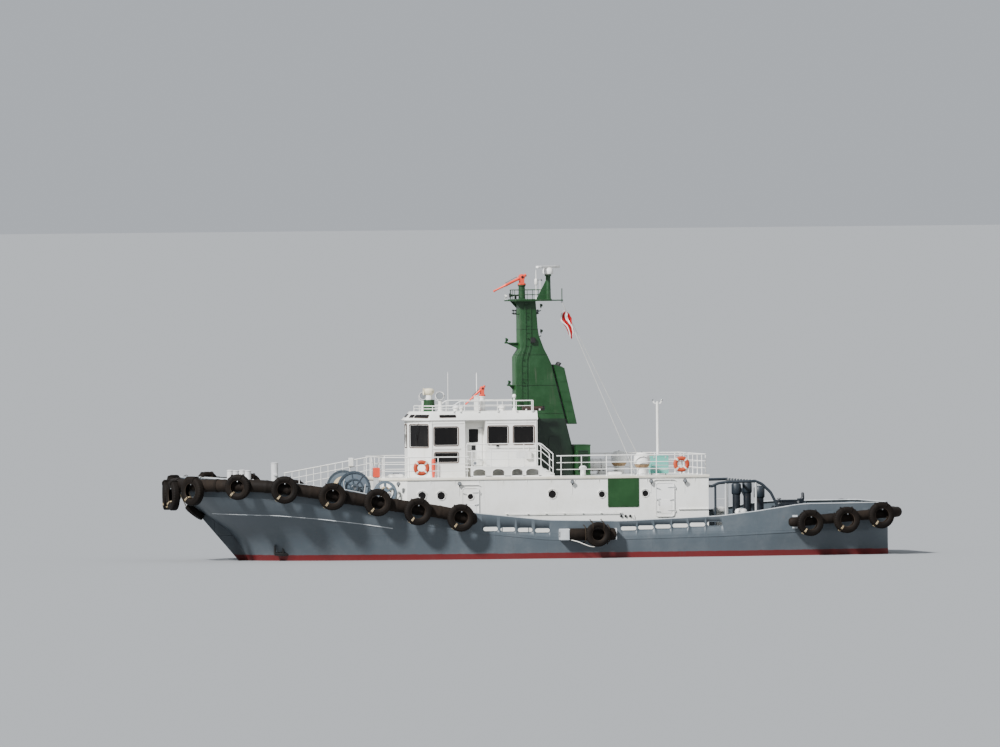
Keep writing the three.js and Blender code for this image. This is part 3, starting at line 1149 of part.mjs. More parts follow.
function makeWinch() {
  const w = WINCH;
  const span = (from, to, radius, sides = DRUM_SIDES) => rod([w.x, from, w.z], [w.x, to, w.z], radius, sides);
  const windows = Array.from({ length: w.spokes }, (_, i) => {
    const [a, b] = [i, i + 1].map((k) => 2 * Math.PI * k / w.spokes);
    const inner = w.drum + w.spokeFoot;
    const lean = w.spokeGap * w.spokeTaper;
    const corner = (angle, radius) => [w.x + radius * Math.cos(angle), w.z + radius * Math.sin(angle)];
    return web([
      corner(a + lean, inner), corner(a + w.spokeGap, w.rim), corner((a + b) / 2, w.rim),
      corner(b - w.spokeGap, w.rim), corner(b - lean, inner),
    ], -w.cheekIn, w.cheekIn);
  });
  const flanges = [-w.half, w.half - w.flangeThick].map((y) => (
    span(y, y + w.flangeThick, w.flange, NOZZLE_SIDES)
  ));
  const shaftEnd = w.cheekIn + w.cheekThick;
  const shaft = span(-shaftEnd, shaftEnd, w.shaft);
  const drum = join(span(-w.half, w.half, w.drum), cut(join(...flanges), ...windows), shaft);
  add('winch_drum', drum, FINISH.steel);

  const headZ = w.z + w.head;
  const cheekProfile = [
    [w.x - w.cheekHalf, w.foot], [w.x + w.cheekHalf, w.foot], [w.x + w.headHalf, headZ], [w.x - w.headHalf, headZ],
  ];
  const cheek = web(cheekProfile, w.cheekIn, w.cheekIn + w.cheekThick);
  const bore = span(-w.motor.outer, w.motor.outer, w.bore, w.boreSides);
  const sillEnd = w.cheekIn + SUNK;
  const sill = [w.x - w.cheekHalf, w.x + w.cheekHalf - w.sill].map((x) => (
    block([x, x + w.sill], [-sillEnd, sillEnd], [w.foot, deckZ(x) + w.sill])
  ));
  const m = w.motor;
  const motor = block([w.x - m.half, w.x + m.half], [-m.outer, -shaftEnd - m.gap], [w.foot, w.z + m.over]);
  const axle = span(-w.axle.outer, -w.cheekIn - w.axle.inner, w.axle.radius);
  const frame = cut(join(bothSides(cheek), ...sill), bore);
  const housing = cut(join(motor, cut(axle, bore)), hullForDeck);
  add('winch_frame', join(cut(frame, hullForDeck), housing), FINISH.steel);
}

// A double bollard: two capped posts with a bar through them, on a foot plate.
function bitts(posts, y, radius, top, foot, barZ) {
  const columns = posts.map((x) => join(
    rod([x, y, foot], [x, y, top], radius, POST_SIDES),
    rod([x, y, top - BITT_CAP.tall], [x, y, top], radius + BITT_CAP.over, POST_SIDES),
  ));
  const reach = radius * BITT_CAP.reach;
  const deck = Math.max(...posts.map(deckZ));
  const ends = [Math.min(...posts) - reach, Math.max(...posts) + reach];
  const bar = rod([ends[0], y, barZ], [ends[1], y, barZ], radius / 2, DRUM_SIDES / 2);
  const plate = block(ends, [y - reach, y + reach], [foot, deck + BITT_CAP.tall]);
  return cut(join(...columns, bar, plate), hullForDeck);
}

function makeDeckGear() {
  const f = FORE_BITTS;
  const fore = bitts(f.posts, f.y, f.radius, f.top, f.foot, f.bar);
  add('fore_bitts_port', fore, FINISH.bollard);
  add('fore_bitts_starboard', mirrored(fore), FINISH.bollard);
  const s = STERN_BITTS;
  const stern = bitts(s.posts, s.y, s.radius, s.top, s.foot, s.bar);
  add('stern_bitts_port', stern, FINISH.bollard);
  add('stern_bitts_starboard', mirrored(stern), FINISH.bollard);
  const p = TOW_POST;
  const post = join(
    rod([p.x, 0, p.foot], [p.x, 0, p.top], p.radius, DRUM_SIDES),
    rod([p.x, 0, p.top - BITT_CAP.tall], [p.x, 0, p.top], p.radius + BITT_CAP.over, DRUM_SIDES),
    rod([p.x, -p.crossHalf, p.cross], [p.x, p.crossHalf, p.cross], p.crossRadius, POST_SIDES),
    block([p.x - p.plate, p.x + p.plate], [-p.plate, p.plate], [p.foot, deckZ(p.x) + p.plateTall]),
  );
  add('bow_tow_post', cut(post, hullForDeck), FINISH.bollard);

  const a = ANCHOR;
  const above = (levels) => levels.map((z) => a.z + z);
  const armZ = above([a.crown[0], a.arm]);
  const anchor = join(
    block([a.x - a.thick / 2, a.x + a.thick / 2], [a.inner, a.shankOut], above(a.shank)),
    block([a.x - a.fluke, a.x + a.fluke], [a.inner, a.crownOut], above(a.crown)),
    block([a.x - a.fluke, a.x - a.fluke + a.thick], [a.inner, a.crownOut], armZ),
    block([a.x + a.fluke - a.thick, a.x + a.fluke], [a.inner, a.crownOut], armZ),
  );
  for (const { name, sign } of SIDES) {
    const hullForSide = solid(surface(hullBody).translate(0, sign * SEAT, 0));
    add(`anchor_${name}`, cut(sign > 0 ? anchor : mirrored(anchor), hullForSide), FINISH.navy);
  }
}

function makeAftGear() {
  const t = TOW_ARCH;
  const bars = [t.half, -t.half].map((y) => railing(t.line.map(([x, z]) => [x, y, z]), t.tube));
  const posts = t.posts.flatMap((x) => [t.half, -t.half].map((y) => {
    const top = lookup(t.line.map(([px, pz]) => ({ x: px, z: pz })).reverse(), 'x', x, 'z');
    return rod([x, y, t.foot], [x, y, top], t.post);
  }));
  const cross = t.cross.map((i) => t.line[i]).map(([x, z]) => rod([x, -t.half, z], [x, t.half, z], t.tube));
  add('tow_arch', cut(join(...bars, ...posts, ...cross), hullForDeck), FINISH.hull);

  const v = VENT_ROW;
  const stacks = VENTS.map(({ x, radius, top }) => join(
    rod([x, v.y, v.low], [x, v.y, top - v.cap], radius, RING_SIDES),
    rod([x, v.y, top - v.cap - SUNK], [x, v.y, top], radius * v.capShare, RING_SIDES),
  ));
  const plateTop = deckZ(TOW_GEAR.x) + v.plate;
  const plate = block(
    [TOW_GEAR.x, VENTS[0].x + v.margin], [v.y - v.margin, SUNK - TOW_GEAR.half], [v.low, plateTop],
  );

  const g = TOW_GEAR;
  const pedestal = join(
    web([
      [g.x - g.footHalf, g.foot], [g.x + g.footHalf, g.foot], [g.x + g.topHalf, g.top], [g.x - g.topHalf, g.top],
    ], -g.half, g.half),
    rod([g.x, 0, g.top - SUNK], [g.x, 0, g.pinTop], g.pin, DRUM_SIDES),
  );
  add('towing_foundation', cut(join(pedestal, plate, ...stacks), hullForDeck), FINISH.navy);
  const k = TOW_HOOK;
  const hole = rod([g.x, 0, g.top], [g.x, 0, k.clawTop], g.pin + k.slack, g.pinSides);
  const tail = g.x - k.length;
  const across = [-k.clawHalf, k.clawHalf];
  const arm = block([tail + k.arm[0], g.x + k.arm[1]], [-k.armHalf, k.armHalf], [g.top + RUN, k.high]);
  const claw = join(
    block([tail, tail + k.clawLong], across, [k.low, k.clawTop]),
    block([tail, tail + k.tipLong], across, [k.high, k.tipTop]),
  );
  add('tow_hook', cut(join(arm, claw), hole), FINISH.navy);
}

// Two halyards from the platform's arm to the boat deck, and the flag on the port one
function makeFlag() {
  const h = HALYARD;
  const deck = HOUSE.deckTop + SEAT;
  const head = [h.headX, 0, h.headZ];
  const lines = h.feet.map(({ x, y }) => rod([x, y, deck + h.radius], head, h.radius));
  const cleats = h.feet.map(({ x, y }) => (
    block([x - h.cleat, x + h.cleat], [y - h.cleat / 2, y + h.cleat / 2], [deck, deck + h.cleat])
  ));
  const s = h.shackle;
  const shackleZ = [h.headZ - s.low, MAST_TOP.z];
  const shackle = block([h.headX - s.along, h.headX + s.along], [-s.across, s.across], shackleZ);
  const port = h.feet[0];
  const toggles = FLAG.toggles.map((z) => {
    const x = THREE.MathUtils.mapLinear(z, h.headZ, deck, h.headX, port.x);
    const y = THREE.MathUtils.mapLinear(z, h.headZ, deck, 0, port.y);
    const half = FLAG.toggle;
    const reach = [y - FLAG.toggleIn, FLAG.y - FLAG.thick / 2 - SEAT];
    return block([x - half, x + half], reach, [z - half, z + half]);
  });
  add('halyards', join(...lines, ...cleats, shackle, ...toggles), FINISH.white);
  const cloth = new THREE.BoxGeometry(FLAG.wide, FLAG.thick, FLAG.tall);
  cloth.rotateY(THREE.MathUtils.degToRad(FLAG.degrees)).translate(FLAG.x, FLAG.y, FLAG.z);
  add('flag', solid(cloth), FINISH.cloth);
}

makeHull();
makeBulwarks();
makeBowFender();
makeSideFenders();
makeSternFender();
makeDrives();
makeHouse();
makeBoatDeck();
makeBoatDeckRails();
makeBridge();
makeBridgeRoof();
makeWings();
makeMast();
makeMonitors();
makeSearchlights();
makeWinch();
makeDeckGear();
makeAftGear();
makeFlag();

export default tug;
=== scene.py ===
"""Looks of the harbour tug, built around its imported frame.

Every new surface is worked out with numpy: a grid of two parameters, or a profile carried along a path.
Lengths are metres in the frame's own axes: +X to the bow, +Y to port, +Z up, origin on the waterline.
"""

import json
import logging
import math
from dataclasses import dataclass, field
from enum import Enum
from typing import Callable, Sequence

import bpy
import numpy as np
from mathutils import Matrix

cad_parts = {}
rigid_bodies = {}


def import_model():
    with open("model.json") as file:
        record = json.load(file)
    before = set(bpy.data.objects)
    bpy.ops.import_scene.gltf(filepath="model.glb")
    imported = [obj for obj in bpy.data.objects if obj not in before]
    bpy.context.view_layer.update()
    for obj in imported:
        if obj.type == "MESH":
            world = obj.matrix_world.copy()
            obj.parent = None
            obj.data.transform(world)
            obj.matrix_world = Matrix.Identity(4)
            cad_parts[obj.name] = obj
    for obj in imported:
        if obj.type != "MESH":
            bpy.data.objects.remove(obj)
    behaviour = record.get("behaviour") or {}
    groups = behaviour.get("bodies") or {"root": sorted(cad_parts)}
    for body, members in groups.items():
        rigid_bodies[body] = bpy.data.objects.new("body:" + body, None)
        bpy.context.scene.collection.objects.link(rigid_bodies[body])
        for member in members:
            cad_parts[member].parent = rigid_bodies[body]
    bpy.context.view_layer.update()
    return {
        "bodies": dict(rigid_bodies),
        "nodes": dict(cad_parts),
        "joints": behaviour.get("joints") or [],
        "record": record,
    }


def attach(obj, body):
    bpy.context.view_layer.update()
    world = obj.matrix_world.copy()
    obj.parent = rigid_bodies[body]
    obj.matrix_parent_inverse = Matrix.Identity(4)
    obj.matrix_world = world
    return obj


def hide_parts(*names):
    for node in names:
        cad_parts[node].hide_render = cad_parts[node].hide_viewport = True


log = logging.getLogger("tug")
Array = np.ndarray
SIDES = (("port", 1.0), ("starboard", -1.0))
ROOT = "tug"
PLANES = {"z": (0, 1, 2), "y": (0, 2, 1), "x": (2, 0, 1)}
MIRROR = (1.0, -1.0, 1.0)
REFERENCES = ((0.0, 0.0, 1.0), (1.0, 0.0, 0.0), (0.0, 1.0, 0.0), (0.6, 0.5, 0.62), (0.55, -0.6, 0.58),
              (-0.5, 0.55, 0.67))


# Closed patches of surface

def round_angles(steps: int) -> Array:
    """Even angles once round a circle."""
    return np.linspace(0.0, 2.0 * math.pi, steps, endpoint=False)


@dataclass(frozen=True)
class Patch:
    """One closed surface: its corners and its faces, grouped by how many corners they have."""

    points: Array
    faces: tuple[Array, ...]

    def moved(self, x: float = 0.0, y: float = 0.0, z: float = 0.0) -> "Patch":
        """The patch shifted by an offset."""
        return Patch(self.points + np.array((x, y, z)), self.faces)

    def turned(self, axis: str, degrees: float, about: Sequence[float] = (0.0, 0.0, 0.0)) -> "Patch":
        """The patch turned about an axis through a point, by the right-hand rule.

        Args:
            axis: x, y or z.
            degrees: The angle.
            about: A point on the axis.

        Returns:
            The turned patch: each corner's two other coordinates are mixed by the angle's cosine and sine.
        """
        first, second = {"x": (1, 2), "y": (2, 0), "z": (0, 1)}[axis]
        c, s = math.cos(math.radians(degrees)), math.sin(math.radians(degrees))
        around = self.points - np.array(about)
        out = around.copy()
        out[:, first] = c * around[:, first] - s * around[:, second]
        out[:, second] = s * around[:, first] + c * around[:, second]
        return Patch(out + np.array(about), self.faces)

    def mirrored(self) -> "Patch":
        """The patch on the other side of the centreline, its faces turned to point out again."""
        return Patch(self.points * MIRROR, tuple(f[:, ::-1] for f in self.faces))

    def outward(self) -> "Patch":
        """The patch with its faces flipped if the volume they enclose comes out negative."""
        volume = 0.0
        for face in self.faces:
            a = self.points[face[:, 0]]
            for k in range(1, face.shape[1] - 1):
                b, c = self.points[face[:, k]], self.points[face[:, k + 1]]
                volume += float(np.einsum("ij,ij->", a, np.cross(b, c)))
        if volume >= 0.0:
            return self
        return Patch(self.points, tuple(f[:, ::-1] for f in self.faces))


def skin(rings: Array, wrap: bool = False) -> Patch:
    """The closed surface over rings of corners.

    Args:
        rings: Corners, one ring a row, shape (rings, corners, 3).
        wrap: Whether the last ring leads back to the first; if not, both ends are capped.

    Returns:
        Quads between corner i and i + 1 of each ring and the next, and a flat cap on each open end.
    """
    count, corners = rings.shape[:2]
    rows = np.arange(count if wrap else count - 1)[:, None]
    cols = np.arange(corners)[None, :]
    near, far = rows * corners, ((rows + 1) % count) * corners
    after = (cols + 1) % corners
    quads = np.stack([near + cols, near + after, far + after, far + cols], axis=-1).reshape(-1, 4)
    faces = [quads]
    if not wrap:
        last = (count - 1) * corners
        faces.append(np.arange(corners)[::-1][None, :])
        faces.append(np.arange(last, last + corners)[None, :])
    return Patch(rings.reshape(-1, 3), tuple(faces)).outward()


def lathe(profile: Sequence[Sequence[float]], centre: Sequence[float], axis: str = "z", sides: int = 32,
          closed: bool = False, reach: Callable[[Array], Array] | None = None) -> Patch:
    """A profile turned about an axis.

    Args:
        profile: Pairs of radius and distance along the axis.
        centre: The point that distance zero stands for.
        axis: x, y or z.
        sides: Number of steps round the axis.
        closed: Whether the profile closes on itself, as a ring's does.
        reach: Gives each step's own scale of radius from its angle.

    Returns:
        Rings of radius times (cosine, sine) of the angle, one ring to each profile point.
    """
    shape = np.array(profile, float)
    angle = round_angles(sides)
    radius = shape[:, :1] * (np.ones_like(angle) if reach is None else reach(angle))[None, :]
    along = np.broadcast_to(shape[:, 1:], radius.shape)
    flat = np.stack([radius * np.cos(angle), radius * np.sin(angle), along], axis=-1)
    order = {"z": (0, 1, 2), "x": (2, 0, 1), "y": (1, 2, 0)}[axis]
    return skin(flat[:, :, order] + np.array(centre, float), wrap=closed)


def torus(radius: float, tube: tuple[float, float], centre: Sequence[float], axis: str, sides: int,
          steps: int) -> Patch:
    """A ring about an axis: an ellipse of the tube's half widths, across and along, turned at a radius.

    Args:
        radius: From the axis to the middle of the tube.
        tube: Half widths of the tube, across the axis and along it.
        centre: The ring's middle.
        axis: x, y or z.
        sides: Number of steps round the axis.
        steps: Number of steps round the tube.

    Returns:
        The closed ring.
    """
    angle = round_angles(steps)
    section = np.column_stack([radius + tube[0] * np.cos(angle), tube[1] * np.sin(angle)])
    return lathe(section, centre, axis, sides, closed=True)


def level_ring(outline: Array, level: float, axis: str = "z") -> Array:
    """A flat outline as points in space, at a distance along an axis."""
    return np.column_stack([outline, np.full(len(outline), level)])[:, PLANES[axis]]


def stacked(levels: Sequence[tuple[Array, float]], axis: str = "z") -> Array:
    """Flat outlines as rings in space, each at its own distance along an axis."""
    return np.array([level_ring(outline, level, axis) for outline, level in levels])


def distances(path: Array) -> Array:
    """How far along a path each of its points is."""
    return np.concatenate([[0.0], np.cumsum(np.linalg.norm(np.diff(path, axis=0), axis=1))])


def inset(outline: Array, distance: float) -> Array:
    """A closed flat outline moved inwards: each corner slides along its two edges' bisector."""
    before, after = np.roll(outline, 1, axis=0), np.roll(outline, -1, axis=0)
    first, second = outline - before, after - outline
    first /= np.linalg.norm(first, axis=1, keepdims=True)
    second /= np.linalg.norm(second, axis=1, keepdims=True)
    x, y = outline[:, 0], outline[:, 1]
    area = float(np.sum(x * np.roll(y, -1) - np.roll(x, -1) * y))
    turn = np.array([[0.0, 1.0], [-1.0, 0.0]]) if area > 0 else np.array([[0.0, -1.0], [1.0, 0.0]])
    normal = first @ turn + second @ turn
    cosine = np.clip(np.sum(normal * (first @ turn), axis=1, keepdims=True), 0.35, None)
    return outline + normal * (distance / cosine)


def slab(outline: Sequence[Sequence[float]], low: float, high: float, axis: str = "z", bevel: float = 0.012) -> Patch:
    """A flat outline given thickness, its edges chamfered.

    Args:
        outline: Corners in the plane: x, y for axis z; x, z for axis y; y, z for axis x.
        low: Where it starts along the axis.
        high: Where it ends along the axis.
        axis: The direction of its thickness.
        bevel: Width of the chamfer.

    Returns:
        Four rings of the outline: inset at both faces, and full size one chamfer further in.
    """
    flat = np.array(outline, float)
    small = inset(flat, bevel) if bevel else flat
    levels = [(small, low), (flat, low + bevel), (flat, high - bevel), (small, high)]
    if not bevel:
        levels = [levels[0], levels[3]]
    return skin(stacked(levels, axis))


def block(x: Sequence[float], y: Sequence[float], z: Sequence[float], bevel: float = 0.012) -> Patch:
    """A box from its low and high ends along each axis, its edges chamfered."""
    return slab([(x[0], y[0]), (x[1], y[0]), (x[1], y[1]), (x[0], y[1])], z[0], z[1], "z", bevel)


def rounded(width: float, height: float, radius: float, steps: int = 5) -> Array:
    """A rectangle about the origin with round corners, as arcs of a quarter turn."""
    angle = np.linspace(0.0, math.pi / 2, steps)
    corners = []
    for k, (sx, sy) in enumerate([(1, 1), (-1, 1), (-1, -1), (1, -1)]):
        turn = angle + k * math.pi / 2
        centre = (sx * (width / 2 - radius), sy * (height / 2 - radius))
        corners.append(np.column_stack([centre[0] + radius * np.cos(turn), centre[1] + radius * np.sin(turn)]))
    return np.concatenate(corners)


def bent(points: Sequence[Sequence[float]], radius: float, steps: int = 5) -> Array:
    """A path with its corners rounded.

    Args:
        points: The path's corners.
        radius: How far from a corner its round part starts, at most.
        steps: Points on each round part.

    Returns:
        Points in which each corner is a parabola between its two edges: the sum of start, corner and end
        weighted by (1 - t) squared, 2 t (1 - t) and t squared.
    """
    path = np.array(points, float)
    t = np.linspace(0.0, 1.0, steps)[:, None]
    out = [path[:1]]
    for before, corner, after in zip(path[:-2], path[1:-1], path[2:]):
        back, on = before - corner, after - corner
        reach = min(radius, np.linalg.norm(back) * 0.45, np.linalg.norm(on) * 0.45)
        start = corner + back / np.linalg.norm(back) * reach
        end = corner + on / np.linalg.norm(on) * reach
        out.append((1 - t) ** 2 * start + 2 * t * (1 - t) * corner + t ** 2 * end)
    out.append(path[-1:])
    return np.concatenate(out)


def sweep(path: Array, section: Array, wrap: bool = False) -> Patch:
    """A flat section carried along a path.

    Args:
        path: Points of the path, shape (points, 3).
        section: Pairs of distance across and upward, either one section or one for each point.
        wrap: Whether the path closes on itself.

    Returns:
        At each point the section lies in the plane across the path. The path's direction is the sum of the unit
        directions before and after the point. The section's first direction is that, crossed with whichever
        reference direction the path stays furthest from: the vertical, if it keeps clear of it.
    """
    steps = np.roll(path, -1, axis=0) - path if wrap else np.diff(path, axis=0)
    steps = steps / np.linalg.norm(steps, axis=1, keepdims=True)
    if wrap:
        along = steps + np.roll(steps, 1, axis=0)
    else:
        along = np.concatenate([steps[:1], steps[1:] + steps[:-1], steps[-1:]])
    along /= np.linalg.norm(along, axis=1, keepdims=True)
    clear = [float(np.linalg.norm(np.cross(along, way), axis=1).min()) for way in REFERENCES]
    best = 0 if clear[0] > 0.25 else int(np.argmax(clear))
    across = np.cross(along, REFERENCES[best])
    across /= np.linalg.norm(across, axis=1, keepdims=True)
    upward = np.cross(across, along)
    parts = np.broadcast_to(section, (len(path),) + section.shape[-2:])
    rings = path[:, None, :] + parts[..., :1] * across[:, None, :] + parts[..., 1:] * upward[:, None, :]
    return skin(rings, wrap)


def circle(radius: float, sides: int) -> Array:
    """A round section as cosine and sine of equal angles."""
    angle = round_angles(sides)
    return radius * np.column_stack([np.cos(angle), np.sin(angle)])


def bar(points: Sequence[Sequence[float]], radius: float, sides: int = 8, bend: float = 0.0,
        wrap: bool = False) -> Patch:
    """A round bar through points, its corners rounded by bend."""
    path = bent(points, bend) if bend else np.array(points, float)
    return sweep(path, circle(radius, sides), wrap)


def rope(path: Array, radius: float, lay: float = 0.09, strands: int = 3, sides: int = 12) -> Patch:
    """A laid rope: its radius rises and falls with the angle and with the distance gone along the path."""
    gone = distances(path)
    angle = round_angles(sides)
    swell = 1.0 + 0.14 * np.cos(strands * (angle[None, :] + 2.0 * math.pi * gone[:, None] / (lay * strands)))
    section = radius * np.stack([swell * np.cos(angle), swell * np.sin(angle)], axis=-1)
    return sweep(path, section)


def resampled(points: Sequence[Sequence[float]], step: float) -> Array:
    """Points at an even step along a path of straight runs."""
    path = np.array(points, float)
    gone = distances(path)
    at = np.linspace(0.0, gone[-1], max(3, int(gone[-1] / step)))
    return np.column_stack([np.interp(at, gone, path[:, k]) for k in range(3)])


@dataclass
class Shell:
    """Patches gathered into one mesh, each with the number of its finish, or one number for each face group."""

    name: str
    parts: list[tuple[Patch, int | tuple[int, ...]]] = field(default_factory=list)

    def add(self, *patches: Patch, finish: int | tuple[int, ...] = 0) -> "Shell":
        """Adds patches with one finish."""
        self.parts.extend((patch, finish) for patch in patches)
        return self

    def both(self, *patches: Patch, finish: int = 0) -> "Shell":
        """Adds patches and their mirror images."""
        return self.add(*patches, *(patch.mirrored() for patch in patches), finish=finish)

    def group(self, patches: Sequence[tuple[Patch, int]], both: bool = False) -> "Shell":
        """Adds patches that each name their own finish, and their mirror images too if both is set."""
        for patch, finish in patches:
            (self.both if both else self.add)(patch, finish=finish)
        return self

    def each(self, change: Callable[[Patch], Patch]) -> "Shell":
        """The shell with every patch changed in the same way."""
        return Shell(self.name, [(change(patch), finish) for patch, finish in self.parts])

    def side(self, sign: float) -> "Shell":
        """The same shell, or its mirror image for a negative sign."""
        return self if sign > 0 else self.each(Patch.mirrored)

    def named(self, name: str) -> "Shell":
        """The same patches under another name."""
        return Shell(name, self.parts)

    def mesh(self) -> bpy.types.Mesh:
        """The mesh: corners, loops and faces written as whole arrays, and sharp edges by angle."""
        points, loops, sizes, finishes, offset = [], [], [], [], 0
        for patch, finish in self.parts:
            points.append(patch.points)
            groups = finish if isinstance(finish, tuple) else (finish,) * len(patch.faces)
            for face, group in zip(patch.faces, groups):
                loops.append((face + offset).ravel())
                sizes.append(np.full(len(face), face.shape[1]))
                finishes.append(np.full(len(face), group))
            offset += len(patch.points)
        corner = np.concatenate(loops).astype(np.int32)
        size = np.concatenate(sizes).astype(np.int32)
        mesh = bpy.data.meshes.new(self.name)
        mesh.vertices.add(offset)
        mesh.vertices.foreach_set("co", np.concatenate(points).astype(np.float32).ravel())
        mesh.loops.add(len(corner))
        mesh.loops.foreach_set("vertex_index", corner)
        mesh.polygons.add(len(size))
        mesh.polygons.foreach_set("loop_start", np.concatenate([[0], np.cumsum(size)[:-1]]).astype(np.int32))
        mesh.update(calc_edges=True)
        mesh.polygons.foreach_set("material_index", np.concatenate(finishes).astype(np.int32))
        mesh.polygons.foreach_set("use_smooth", np.ones(len(size), bool))
        mesh.validate()
        mesh.set_sharp_from_angle(angle=math.radians(34.0))
        return mesh


def make(shell: Shell, finishes: Sequence["Finish"], body: str, replaces: Sequence[str] = ()) -> bpy.types.Object:
    """Turns a shell into a dressed piece that rides on a body.

    Args:
        shell: The patches.
        finishes: One finish for each number used in the shell.
        body: The body it moves with.
        replaces: The CAD nodes it stands for.

    Returns:
        The piece.
    """
    mesh = shell.mesh()
    for finish in finishes:
        mesh.materials.append(finish.material())
    piece = bpy.data.objects.new(shell.name, mesh)
    bpy.context.scene.collection.objects.link(piece)
    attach(piece, body)
    if replaces:
        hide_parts(*replaces)
    sizes = np.zeros(len(mesh.polygons), np.int32)
    mesh.polygons.foreach_get("loop_total", sizes)
    log.info("%s: %d triangles on %s", shell.name, int((sizes - 2).sum()), body)
    return piece


def carve(piece: bpy.types.Object, cutter: Shell) -> None:
    """Cuts the cutter's closed patches out of a piece, with an exact boolean that is applied."""
    tool = bpy.data.objects.new(cutter.name, cutter.mesh())
    bpy.context.scene.collection.objects.link(tool)
    modifier = piece.modifiers.new("cut", "BOOLEAN")
    modifier.operation = "DIFFERENCE"
    modifier.solver = "EXACT"
    modifier.object = tool
    bpy.context.view_layer.update()
    carved = bpy.data.meshes.new_from_object(piece.evaluated_get(bpy.context.evaluated_depsgraph_get()))
    piece.modifiers.clear()
    old, piece.data = piece.data, carved
    bpy.data.meshes.remove(old)
    bpy.data.objects.remove(tool)


# Finishes: shared shader groups first, then the paints and rubbers that use them

Colour = tuple[float, float, float]


class Graph:
    """A node tree, with short ways to add nodes and join them."""

    def __init__(self, tree: bpy.types.NodeTree) -> None:
        """Keeps the tree that nodes are added to."""
        self.tree = tree

    def feed(self, socket: bpy.types.NodeSocket, value: object) -> None:
        """Links a socket to the input, or sets the input's own value."""
        if isinstance(value, bpy.types.NodeSocket):
            self.tree.links.new(value, socket)
        elif socket.type == "RGBA":
            socket.default_value = (*value, 1.0)
        else:
            socket.default_value = value

    def node(self, kind: str, inputs: dict[int | str, object] | None = None, **settings: object) -> bpy.types.Node:
        """Adds a node with the given settings and inputs."""
        item = self.tree.nodes.new(kind)
        for key, value in settings.items():
            setattr(item, key, value)
        for key, value in (inputs or {}).items():
            self.feed(item.inputs[key], value)
        return item

    def math(self, operation: str, *values: object) -> bpy.types.NodeSocket:
        """The result of a Math node."""
        return self.node("ShaderNodeMath", dict(enumerate(values)), operation=operation).outputs[0]

    def scaled(self, vector: bpy.types.NodeSocket, scale: Sequence[float]) -> bpy.types.NodeSocket:
        """A vector stretched along each axis."""
        node = self.node("ShaderNodeVectorMath", {0: vector, 1: tuple(scale)}, operation="MULTIPLY")
        return node.outputs[0]

    def noise(self, vector: bpy.types.NodeSocket, scale: float, detail: float = 3.0,
              roughness: float = 0.55) -> bpy.types.NodeSocket:
        """Fractal noise, 0 to 1, at a number of features to the metre."""
        inputs = {"Vector": vector, "Scale": scale, "Detail": detail, "Roughness": roughness}
        return self.node("ShaderNodeTexNoise", inputs).outputs[0]

    def step(self, value: bpy.types.NodeSocket, low: float, high: float) -> bpy.types.NodeSocket:
        """A smooth rise from 0 at low to 1 at high."""
        inputs = {"Value": value, "From Min": low, "From Max": high}
        return self.node("ShaderNodeMapRange", inputs, interpolation_type="SMOOTHSTEP").outputs[0]

    def between(self, mask: bpy.types.NodeSocket, low: float, high: float) -> bpy.types.NodeSocket:
        """A value between low and high by a mask."""
        return self.node("ShaderNodeMapRange", {"Value": mask, "To Min": low, "To Max": high}).outputs[0]

    def blend(self, mask: object, first: object, second: object) -> bpy.types.NodeSocket:
        """The first colour where the mask is 0, the second where it is 1."""
        return self.node("ShaderNodeMix", {0: mask, 6: first, 7: second}, data_type="RGBA").outputs[2]


